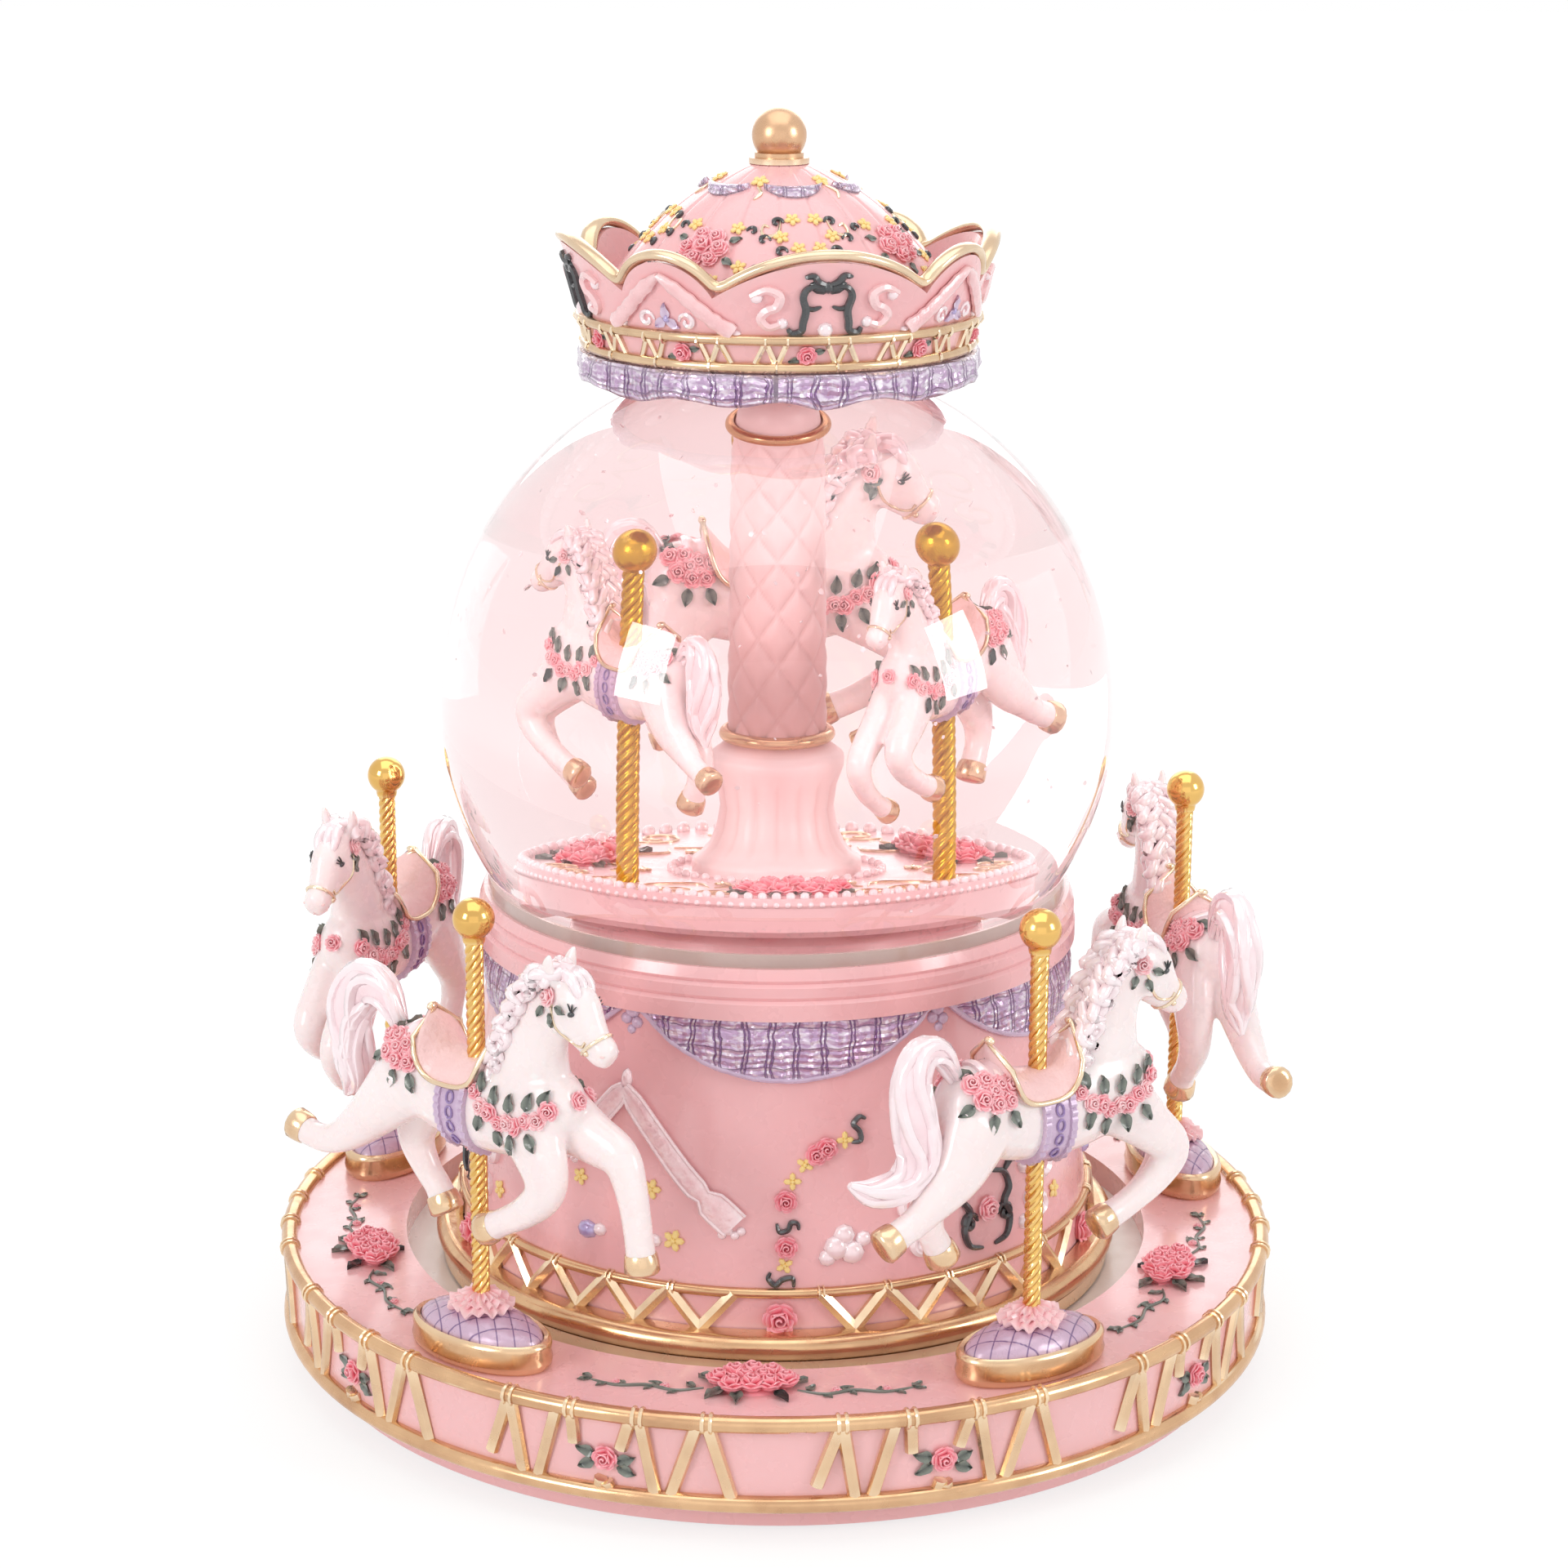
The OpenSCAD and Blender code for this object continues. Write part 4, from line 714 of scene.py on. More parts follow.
YELLOW = Paint("yellow_paint", "bright_gold", 0xFAD464, 0xE29C38, 0xFFECAA, 0.38, coat=0.3)
SEAT_PINK = Paint("seat_paint", "pale_pink_resin", 0xFCD6D4, 0xECACAC, 0xFEE4E2, 0.36, grain=700, relief=0.4,
                  hollow_shade=0.15,
                  coat=0.3)
INK = Paint("black_paint", "cast_bed", 0x26262A, 0x101012, 0x545658, 0.26, coat=0.5)
LILAC_GEM = Paint("gem_paint", "lilac_cloth_paint", 0xA48ECE, 0x6854A0, 0xD6CCEC, 0.1, 0.2, coat=0.9)
RUBBER = Paint("rubber", "rubber_pad", 0x464444, 0x282626, 0x686464, 0.75)
SEALANT = Paint("globe_sealant", "white_rubber", 0xB2948C, 0x8C6E66, 0xDCC6BE, 0.16, coat=0.7)
DARK_LILAC = Paint("dark_lilac", "lilac_cloth_paint", 0x80649C, 0x60467C, 0xAA90C2, 0.3, coat=0.4)
STOPPER = Paint("white_stopper", "white_rubber", 0xE8DEDC, 0xCEBEBE, 0xF6F0EE, 0.5)
NYLON = Paint("nylon", "white_nylon", 0xF0ECE6, 0xD8D0C8, 0xFAF8F4, 0.35, coat=0.1)
BRASS = Paint("brass", "brass_part", 0xD4B068, 0xA0783C, 0xF0D696, 0.28, 1)
CAST_IRON = Paint("cast_bed_metal", "cast_bed", 0x68686C, 0x424246, 0x96969A, 0.5, 0.8, relief=0.1)
STEEL = Paint("steel", "screw_steel", 0xC4C6CA, 0x8C8E94, 0xE8EAEE, 0.22, 1)
COMB = Paint("comb_steel_plate", "comb_steel", 0xBAC0C8, 0x868C96, 0xE2E6EC, 0.2, 1)
SPRING = Paint("spring_steel_strip", "spring_steel", 0x787E8A, 0x505460, 0xAAB0BA, 0.25, 1)
KEY = Paint("key_plate", "key_steel", 0xC8C8C8, 0x969696, 0xECECEC, 0.25, 1)
GLASS = Liquid("globe_glass", "clear_glass", 0xFBE1E1)


# ---- Meshes and pieces ----


def build_mesh(name: str, shape: Shape, sharp: float = 40.0) -> Mesh:
    """Makes a mesh in metres, with doubles merged and its faces turned outwards.

    Args:
        name: the mesh's name.
        shape: the shape in millimetres.
        sharp: the angle above which an edge is sharp, in degrees.

    Returns:
        The mesh.
    """
    mesh = bpy.data.meshes.new(name)
    mesh.from_pydata((shape.corners * MM).tolist(), [], [face for group in shape.faces for face in group.tolist()])
    pairs = shape.uv[np.concatenate([group.ravel() for group in shape.faces])]
    mesh.uv_layers.new(name="UVMap").data.foreach_set("uv", pairs.astype(np.float32).ravel())
    work = bmesh.new()
    work.from_mesh(mesh)
    bmesh.ops.remove_doubles(work, verts=work.verts, dist=0.0005 * MM)
    bmesh.ops.recalc_face_normals(work, faces=work.faces)
    work.to_mesh(mesh)
    work.free()
    mesh.shade_smooth()
    mesh.set_sharp_from_angle(angle=radians(sharp))
    return mesh


def add_object(name: str, data: ID) -> Object:
    """Links a new object to the scene."""
    thing = bpy.data.objects.new(name, data)
    bpy.context.scene.collection.objects.link(thing)
    return thing


def plain_mesh(holder: Object) -> Mesh:
    """The mesh that a working object's modifiers give, after which the object goes."""
    evaluated = holder.evaluated_get(bpy.context.evaluated_depsgraph_get())
    mesh = bpy.data.meshes.new_from_object(evaluated)
    bpy.data.objects.remove(holder)
    return mesh


def settle(thing: Object, finish: Finish, body: Body, replaces: Sequence[str] = ()) -> Object:
    """Gives a piece its finish and body, and reports it."""
    thing.data.materials.clear()
    thing.data.materials.append(finish.material())
    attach(thing, body.value)
    if replaces:
        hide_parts(*replaces)
    LOG.info("%s: %d faces, %s, on %s", thing.name, len(thing.data.polygons), finish.name, body.value)
    return thing


def make_piece(name: str, shape: Shape, finish: Finish, replaces: Sequence[str] = (), sharp: float = 40.0,
               body: Body = Body.ROOT) -> Object:
    """Makes one piece of the object from a shape."""
    return settle(add_object(name, build_mesh(name, shape, sharp)), finish, body, replaces)


def dress(finish: Finish, *nodes: str) -> None:
    """Gives CAD nodes a finish."""
    for name in nodes:
        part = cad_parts[name]
        for place in part.material_slots:
            place.material = finish.material()
        LOG.info("%s: %s", name, finish.name)


# ---- Geometry Nodes ----


class Recipe:
    """A Geometry Nodes tree under construction, with its inputs."""

    def __init__(self, name: str, inputs: dict[str, str]) -> None:
        """Starts the tree.

        Args:
            name: the tree's name.
            inputs: socket types by input name.
        """
        self.tree = bpy.data.node_groups.new(name, "GeometryNodeTree")
        self.tree.interface.new_socket("Geometry", in_out="INPUT", socket_type="NodeSocketGeometry")
        for label, kind in inputs.items():
            self.tree.interface.new_socket(label, in_out="INPUT", socket_type=kind)
        self.tree.interface.new_socket("Geometry", in_out="OUTPUT", socket_type="NodeSocketGeometry")
        self.wires = Wiring(self.tree)
        self.source = self.wires.add("NodeGroupInput").outputs

    def step(self, kind: str, inputs: Inputs | None = None) -> Socket:
        """Adds a geometry node, and gives its first output."""
        return self.wires.get("GeometryNode" + kind, inputs)

    def close(self, geometry: Socket) -> None:
        """Ends the tree in Realize Instances and Set Material."""
        real = self.step("RealizeInstances", {0: geometry})
        done = self.step("SetMaterial", {"Geometry": real, "Material": self.source["Material"]})
        self.wires.add("NodeGroupOutput", {0: done})

    def run(self, name: str, values: dict[str, object], source: Mesh | None = None) -> Mesh:
        """Runs the tree once.

        Args:
            name: the new mesh's name.
            values: input values by input name.
            source: the mesh that goes in, if the tree takes one.

        Returns:
            The result as a plain mesh.
        """
        holder = add_object(name, source or bpy.data.meshes.new(name + "_source"))
        step = holder.modifiers.new("Build", "NODES")
        step.node_group = self.tree
        for item in self.tree.interface.items_tree:
            if item.in_out == "INPUT" and item.name in values:
                step[item.identifier] = values[item.name]
        mesh = plain_mesh(holder)
        mesh.name = name
        return mesh


FLOAT, WHOLE, STUFF = "NodeSocketFloat", "NodeSocketInt", "NodeSocketMaterial"


def rope_recipe() -> Recipe:
    """A twisted rod: a lobed section along an upright line, wound by the curve's tilt."""
    recipe = Recipe("twisted_rod", {"Foot": "NodeSocketVector", "Top": "NodeSocketVector", "Radius": FLOAT,
                                    "Strands": WHOLE, "Turns": FLOAT, "Depth": FLOAT, "Steps": WHOLE,
                                    "Material": STUFF})
    w, given = recipe.wires, recipe.source
    line = recipe.step("CurvePrimitiveLine", {"Start": given["Foot"], "End": given["Top"]})
    fine = recipe.step("ResampleCurve", {"Curve": line, "Count": given["Steps"]})
    wound = w.maths("MULTIPLY", recipe.step("SplineParameter"), w.maths("MULTIPLY", given["Turns"], 2 * pi))
    tilted = recipe.step("SetCurveTilt", {"Curve": fine, "Tilt": wound})
    circle = recipe.step("CurvePrimitiveCircle", {"Resolution": 40, "Radius": given["Radius"]})
    place = recipe.step("InputPosition")
    split = w.add("ShaderNodeSeparateXYZ", {0: place})
    angle = w.maths("ARCTAN2", split.outputs[1], split.outputs[0])
    lobe = w.maths("ABSOLUTE", w.maths("COSINE", w.maths("MULTIPLY", angle, w.maths("DIVIDE", given["Strands"], 2))))
    size = w.maths("ADD", w.maths("SUBTRACT", 1, given["Depth"]), w.maths("MULTIPLY", lobe, given["Depth"]))
    moved = w.get("ShaderNodeVectorMath", {0: place, "Scale": size}, operation="SCALE")
    section = recipe.step("SetPosition", {"Geometry": circle, "Position": moved})
    recipe.close(recipe.step("CurveToMesh", {"Curve": tilted, "Profile Curve": section, "Fill Caps": True}))
    return recipe


def array_recipe() -> Recipe:
    """Copies of one shape round the upright axis."""
    recipe = Recipe("round_array", {"Count": WHOLE, "First": FLOAT, "Material": STUFF})
    w, given = recipe.wires, recipe.source
    points = recipe.step("Points", {"Count": given["Count"]})
    share = w.maths("DIVIDE", recipe.step("InputIndex"), given["Count"])
    angle = w.maths("ADD", w.maths("MULTIPLY", share, 2 * pi), given["First"])
    turn = w.get("ShaderNodeCombineXYZ", {2: angle})
    recipe.close(recipe.step("InstanceOnPoints", {"Points": points, "Instance": given["Geometry"], "Rotation": turn}))
    return recipe


def bead_recipe() -> Recipe:
    """A row of beads on a level circle."""
    recipe = Recipe("bead_row", {"Count": WHOLE, "Circle": FLOAT, "Height": FLOAT, "Bead": FLOAT, "Material": STUFF})
    given = recipe.source
    row = recipe.step("MeshCircle", {"Vertices": given["Count"], "Radius": given["Circle"]})
    lift = recipe.wires.get("ShaderNodeCombineXYZ", {2: given["Height"]})
    raised = recipe.step("SetPosition", {"Geometry": row, "Offset": lift})
    bead = recipe.step("MeshUVSphere", {"Segments": 10, "Rings": 6, "Radius": given["Bead"]})
    soft = recipe.step("SetShadeSmooth", {"Geometry": bead})
    recipe.close(recipe.step("InstanceOnPoints", {"Points": raised, "Instance": soft}))
    return recipe


ROPE = rope_recipe()
ARRAY = array_recipe()
BEADS = bead_recipe()


def ring_of(name: str, shape: Shape, finish: Finish, count: int, first: float = 0.0, replaces: Sequence[str] = (),
            sharp: float = 40.0, body: Body = Body.ROOT) -> None:
    """Makes one piece of several copies of a shape round the axis, the first turned by some degrees."""
    values = {"Count": count, "First": radians(first), "Material": finish.material()}
    mesh = ARRAY.run(name, values, build_mesh(name + "_unit", shape, sharp))
    settle(add_object(name, mesh), finish, body, replaces)


def bead_ring(name: str, finish: Finish, count: int, circle: float, height: float, bead: float) -> None:
    """Makes a ring of beads, with sizes in millimetres."""
    values = {"Count": count, "Circle": circle * MM, "Height": height * MM, "Bead": bead * MM,
              "Material": finish.material()}
    settle(add_object(name, BEADS.run(name, values)), finish, Body.ROOT)


def rope(name: str, finish: Finish, foot: np.ndarray, height: float, radius: float, turns: float) -> Shape:
    """A twisted rod as a shape: its foot, its height, its radius over the strands, and how often they wind round."""
    ends = {"Foot": tuple(foot * MM), "Top": tuple((foot + [0, 0, height]) * MM), "Radius": radius * MM, "Turns": turns}
    return from_mesh(ROPE.run(name, ends | {"Strands": 6, "Depth": 0.2, "Steps": int(height * 3.2),
                                            "Material": finish.material()}))


def from_mesh(mesh: Mesh) -> Shape:
    """A mesh as a shape, with its faces by their number of corners."""
    corners = np.array([vertex.co[:] for vertex in mesh.vertices]) / MM
    faces = [polygon.vertices[:] for polygon in mesh.polygons]
    groups = [np.array([face for face in faces if len(face) == size]) for size in sorted({len(face) for face in faces})]
    return Shape(corners, groups, np.zeros((len(corners), 2)))


@dataclass
class Basket:
    """Gathers shapes by finish, so that each finish becomes one piece.

    On a skin, a shape is laid by millimetres round a circle and along the profile from a start.
    """

    skin: Skin | None = None
    circle: float = degrees(1)
    start: float = 0.0
    shapes: dict[Finish, list[Shape]] = field(default_factory=dict)

    def put(self, finish: Finish, *shapes: Shape) -> None:
        """Adds shapes of one finish."""
        self.shapes.setdefault(finish, []).extend(shapes)

    def lay(self, finish: Finish, shape: Shape, x: float = 0.0, y: float = 0.0, size: float = 1.0,
            turn: float = 0.0, lift: float = 0.0) -> None:
        """Lays a shape on the skin."""
        self.put(finish, self.skin.lay(shape, degrees(x / self.circle), self.start + y, size, turn, lift))

    def bunch(self, blooms: Sequence[Row], leaves: Sequence[Row], bloom: Finish = DEEP_ROSE,
              lifts: Row = (0, 0)) -> None:
        """Lays a bunch of roses and leaves on the skin.

        Args:
            blooms: (x, y, radius) of each rose.
            leaves: (x, y, length, turn) of each leaf.
            bloom: the roses' finish.
            lifts: how far the roses and the leaves stand off the skin.
        """
        for k, (x, y, size) in enumerate(blooms):
            self.lay(bloom, rose(), x, y, size, 50 * k, lifts[0])
        for x, y, size, turn in leaves:
            self.lay(DARK_LEAF, leaf(), x, y, size, turn, lifts[1])

    def moved(self, matrix: np.ndarray, shift: np.ndarray) -> "Basket":
        """A copy of the basket in another place."""
        return Basket(shapes={finish: [join(shapes).placed(matrix, shift)] for finish, shapes in self.shapes.items()})

    def pour(self, other: "Basket") -> None:
        """Adds all that another basket holds."""
        for finish, shapes in other.shapes.items():
            self.put(finish, *shapes)

    def pieces(self, name: str, body: Body = Body.ROOT, sharp: float = 60.0) -> None:
        """Makes one piece for each finish."""
        for finish, shapes in self.shapes.items():
            make_piece(f"{name}_{finish.name}", join(shapes), finish, (), sharp, body)

    def rings(self, name: str, count: int, first: float = 0.0, body: Body = Body.ROOT) -> None:
        """Makes one piece for each finish, of copies round the axis."""
        for finish, shapes in self.shapes.items():
            ring_of(f"{name}_{finish.name}", join(shapes), finish, count, first, body=body)


# ---- Horses ----

HORSE_TRUNK = [(-16, 0, 4.8, 1.6, 1.6), (-14.6, 0, 4.4, 4.4, 3.8), (-11, 0, 3.2, 6.3, 5.1), (-5, 0, 0.9, 6.2, 5.2),
               (2, 0, 0.2, 6.4, 5.2), (8, 0, 1.4, 7, 5.1), (13, 0, 3, 6.3, 4.7), (16.6, 0, 4.6, 4.2, 3.5),
               (18.4, 0, 5.4, 1.6, 1.6)]
HORSE_NECK = [(10.5, 0, 1.5, 7.2, 3.9), (10.8, 0, 7, 6.2, 3.6), (11.8, 0, 12, 4.9, 3), (13.6, 0, 16, 4, 2.6),
              (15.6, 0, 18.8, 3.3, 2.2)]
HORSE_HEAD = [(15.6, 0, 20.6, 1.8, 1.6), (16.9, 0, 19.4, 3.5, 2.5), (18.7, 0, 17.4, 4.1, 2.8),
              (20.5, 0, 15.2, 3.3, 2.4), (22.3, 0, 13.4, 2.5, 2), (23.9, 0, 12.3, 2.2, 1.9), (24.9, 0, 11.7, 1.3, 1.2)]
HORSE_LEGS: dict[Gait, list[Stations]] = {
    Gait.STRIDE: [
        [(12, -2.2, 0, 5.4, 3.3), (15.2, -2.9, -5.4, 3.8, 2.8), (15, -3.1, -8.9, 2.9, 2.5),
         (11.6, -3.1, -12.2, 2.3, 2.1), (7.8, -3.1, -14.5, 2, 1.9), (5.2, -3.1, -16, 2.1, 2)],
        [(13.4, 2.2, 1, 5.4, 3.3), (18.6, 2.9, -1.4, 3.9, 2.9), (23.4, 3.1, -3.2, 3.1, 2.5),
         (25.2, 3.1, -6.8, 2.5, 2.2), (26.2, 3.1, -11, 2.2, 2), (26.8, 3.1, -14.8, 2.1, 2), (27.1, 3.1, -17, 2.2, 2.1)],
        [(-11, -2.2, 1.6, 5.8, 3.5), (-16.2, -2.9, -3.6, 4.1, 3), (-21.4, -3.1, -8.2, 2.9, 2.4),
         (-25.6, -3.1, -10.6, 2.2, 2), (-29, -3.1, -11, 2, 1.9), (-31.6, -3.1, -10.4, 2.1, 2)],
        [(-10.4, 2.2, 0.4, 5.8, 3.5), (-14, 2.9, -5.4, 4, 2.9), (-15, 3.1, -10, 2.8, 2.4), (-13, 3.1, -13.8, 2.1, 2),
         (-11, 3.1, -16, 2, 1.9), (-10, 3.1, -17.8, 2.2, 2.1)]],
    Gait.LEAP: [
        [(12.6, -2.2, 0.2, 5.2, 3.2), (17.5, -2.9, -4.2, 3.7, 2.8), (21.4, -3.1, -8.2, 2.9, 2.5),
         (19, -3.1, -11.9, 2.3, 2.1), (13.8, -3.1, -14.9, 2, 1.9), (10, -3.1, -16.4, 2.1, 2)],
        [(12.4, 2.2, 0.2, 5, 3.2), (19, 2.7, -4.8, 3.4, 2.6), (24.8, 2.9, -10, 2.6, 2.3), (23, 2.9, -14.7, 2.1, 1.9),
         (18.5, 2.9, -18, 1.8, 1.7), (15.1, 2.9, -19.8, 1.9, 1.8)],
        [(-11, -2.2, 1.6, 5.8, 3.5), (-15, -2.9, -4.2, 4.1, 3), (-19.4, -3.1, -7.8, 2.8, 2.4),
         (-22, -3.1, -9.8, 2.2, 2), (-24.2, -3.1, -10.8, 2.1, 2), (-26, -3.1, -11.6, 2.2, 2.1)],
        [(-10.4, 2.2, 0.4, 5.8, 3.5), (-13.2, 2.9, -6, 4, 2.9), (-15.6, 3.1, -10.8, 2.8, 2.4),
         (-15.4, 3.1, -14.2, 2.1, 2), (-14.4, 3.1, -16.4, 2.1, 2), (-13.6, 3.1, -18, 2.2, 2.1)]],
}
HORSE_LEGS[Gait.INNER] = HORSE_LEGS[Gait.LEAP]
HORSE_TAILS: dict[Gait, Stations] = {
    Gait.STRIDE: [(-14.2, 0, 7.2, 1.4, 1.4), (-17.4, 0, 12, 2.6, 2.2), (-21.2, 0, 12.8, 3.3, 2.6),
                  (-24, 0, 9, 3.8, 2.9), (-24.2, 0, 3.4, 3.6, 2.8), (-23.8, 0, -1.4, 2.6, 2.1),
                  (-25.8, 0, -4.8, 0.7, 0.7)],
    Gait.LEAP: [(-13.8, 0, 8, 1.3, 1.3), (-16.2, 0, 11.8, 1.9, 1.8), (-19.2, 0, 12.4, 2.3, 2.1),
                (-21.2, -0.3, 9, 2.7, 2.3), (-20.9, -0.8, 3.4, 3.2, 2.5), (-20.4, -1.2, -1.6, 3.1, 2.4),
                (-23, -1.2, -4.8, 2.6, 2.1), (-27.6, -0.8, -5.2, 2, 1.7), (-30.6, 0, -3.8, 0.8, 0.8)],
    Gait.INNER: [(-14.2, 0, 7.2, 1.4, 1.4), (-17.2, 0, 10.2, 2.1, 1.9), (-19.8, 0, 8.4, 2.9, 2.4),
                 (-20.8, 0, 2.6, 3.3, 2.6), (-20.4, 0, -3, 2.7, 2.1), (-21.4, 0, -7, 0.8, 0.8)],
}


def limb(stations: Stations, sides: int = 14, steps: int = 4, grow: float = 0.0) -> Shape:
    """A rounded body along stations of (forward, side, up, half height, half width)."""
    line = smooth_line(stations, steps)
    radii = np.maximum(np.stack([line[:, 4], line[:, 3]], axis=1) + grow, 0.25)
    return tube(line[:, :3], radii, sides, across=(0, 1, 0))


@dataclass
class Horse(Basket):
    """A carousel horse in its own frame: its pole stands on the origin, it faces +X and its outer side is -Y."""

    gait: Gait = Gait.STRIDE
    voxel: float = 0.42
    saddle: tuple[float, float] = (-8.2, 5.2)
    tree: BVHTree | None = None

    def touch(self, start: Row, towards: Row) -> Spot:
        """The point of the skin that is seen from a start, and its normal."""
        way = Vector(towards) - Vector(start)
        point, normal, _, _ = self.tree.ray_cast(Vector(start), way.normalized())
        if point is None:
            point, normal, _, _ = self.tree.find_nearest(Vector(towards))
        return np.array(point), np.array(normal)

    def flank(self, forward: float, up: float, side: int = -1) -> Spot:
        """The skin at a place on one side, seen from straight beside it."""
        return self.touch((forward, side * 20, up), (forward, 0, up))

    def cord(self, finish: Finish, line: np.ndarray, radii: np.ndarray | float, sides: int = 6) -> None:
        """Adds a tube whose half width lies across the horse."""
        self.put(finish, tube(line, radii, sides, across=(0, 1, 0)))

    def pin(self, finish: Finish, shape: Shape, spot: Spot, size: float = 1.0, turn: float = 0.0,
            sink: float = 0.0) -> None:
        """Stands a flat ornament on the skin.

        Args:
            finish: its finish.
            shape: it, with its z up.
            spot: a point and its normal.
            size: scale.
            turn: a turn in its own plane, in degrees.
            sink: how deep it goes in.
        """
        point, normal = spot
        x = unit_rows(np.cross([0, 0, 1] if abs(normal[2]) < 0.9 else [1, 0, 0], normal))
        matrix = np.stack([x, np.cross(normal, x), normal], axis=1) @ turn_z(turn) * size
        self.put(finish, shape.placed(matrix, point - normal * sink))

    def build_skin(self) -> None:
        """Sweeps the body, head and legs, joins them under one skin and smooths it."""
        parts = [limb(HORSE_TRUNK, 18), limb(HORSE_NECK, 16), limb(HORSE_HEAD, 16)]
        parts += [limb(leg) for leg in HORSE_LEGS[self.gait]]
        for radii, (x, y, z), rings, sides in (((3.4, 2.2, 4.6), (-11.5, 2.9, 2.6), 8, 12),
                                               ((3.6, 2, 4.2), (12.4, 2.8, 2.2), 8, 12),
                                               ((2.4, 0.9, 2.4), (17.6, 2.1, 16.6), 6, 10),
                                               ((0.7, 0.5, 0.6), (24.2, 1.5, 12.4), 6, 8)):
            parts += [ball(radii, (x, y * side, z), rings, sides) for side in (-1, 1)]
        for s in (-1, 1):
            ear = [(15.8, 1.6 * s, 21, 1.3, 1), (15.6, 2.2 * s, 23.2, 1.2, 0.8), (16.2, 2.5 * s, 25.4, 0.4, 0.4)]
            parts.append(limb(ear, 10))
        holder = add_object("horse_work", build_mesh("horse_work", join(parts)))
        one = holder.modifiers.new("Skin", "REMESH")
        one.mode, one.voxel_size = "VOXEL", self.voxel * MM
        two = holder.modifiers.new("Soften", "SMOOTH")
        two.factor, two.iterations = 0.5, 7
        skin = from_mesh(plain_mesh(holder))
        polygons = [tuple(face) for group in skin.faces for face in group.tolist()]
        self.tree = BVHTree.FromPolygons(skin.corners.tolist(), polygons)
        self.put(IVORY, skin)

    def build_mane(self) -> None:
        """Locks down both sides of the neck, with whirls on them, and a forelock."""
        crest = smooth_line([(17.6, 22.6), (14, 22.2), (10.4, 19.2), (7.6, 14.6), (5.4, 10), (5, 6.8)], 5)
        self.put(PEARL, limb([(x + 1, 0, z - 0.5, 1.7, 1.4) for x, z in crest[::4]], 10))
        slope = unit_rows(np.gradient(crest, axis=0))
        for k in range(1, len(crest) - 1):
            inner = np.array([-slope[k, 1], slope[k, 0]]) * np.sign(-slope[k, 1])
            for side in (-1, 1):
                reach = 3.4 + 0.9 * sin(2.7 * k + side)
                phase = 2.4 * k + side
                lock = []
                for share in np.linspace(0, 1, 7):
                    wave = 0.8 * sin(6 * share + phase) * min(1, 3 * share)
                    spot = crest[k] + inner * (reach * 0.62 * share - 0.4 + wave)
                    spot = spot + slope[k] * (reach * 0.9 * share - wave)
                    out = 0.4 + 2.5 * sin(1.35 * min(1, 1.5 * share)) + 0.35 * sin(phase)
                    lock.append((spot[0], side * out, spot[1]))
                line = smooth_line(lock, 2)
                width = taper(line, [0, 0.3, 0.7, 1], [0.7, 0.95, 0.8, 0.3])
                self.put(PEARL, tube(line, width, 7, across=(inner[0], 0, inner[1])))
        for side in (-1, 1):
            for x, z, size in ((13.4, 21.6, 1.4), (10.6, 19.4, 1.4), (8, 15.6, 1.3), (6.4, 11.8, 1.2)):
                whirl = [(x + a, side * (2.1 + 0.9 * k / 12), z + b) for k, (a, b) in enumerate(curl(size, 1.3))]
                self.cord(PEARL, whirl, np.linspace(0.75, 0.45, len(whirl)), 7)
        for side in (-1, 0, 1):
            lock = [(16.4, 0.5, 22.4), (18.2, 1, 22.6), (19.8, 1.4, 21.2), (20.6, 1.1, 19.4), (21.5, 0.7, 18.6)]
            line = smooth_line([(x, y * side, z) for x, y, z in lock], 4)
            self.cord(PEARL, line, taper(line, [0, 0.4, 1], [0.7, 0.85, 0.25]))

    def build_tail(self, strands: int = 11) -> None:
        """A tail of wavy strands round a core."""
        tail = smooth_line(HORSE_TAILS[self.gait], 4)
        self.put(PEARL, limb(HORSE_TAILS[self.gait], 12, grow=-0.5))
        lift = unit_rows(np.cross(unit_rows(np.gradient(tail[:, :3], axis=0)), (0, 1, 0)))
        share = np.linspace(0, 1, len(tail))
        for k in range(strands):
            angle = 2 * np.pi * k / strands + 0.75 * np.sin(6.5 * share + 1.3 * k)
            course = (tail[:, :3] + lift * (tail[:, 3:4] - 0.55) * np.cos(angle)[:, None]
                      + np.outer((tail[:, 4] - 0.55) * np.sin(angle), (0, 1, 0)))
            self.cord(PEARL, course, taper(tail, [0, 0.3, 0.8, 1], [0.5, 0.9, 0.85, 0.3]))

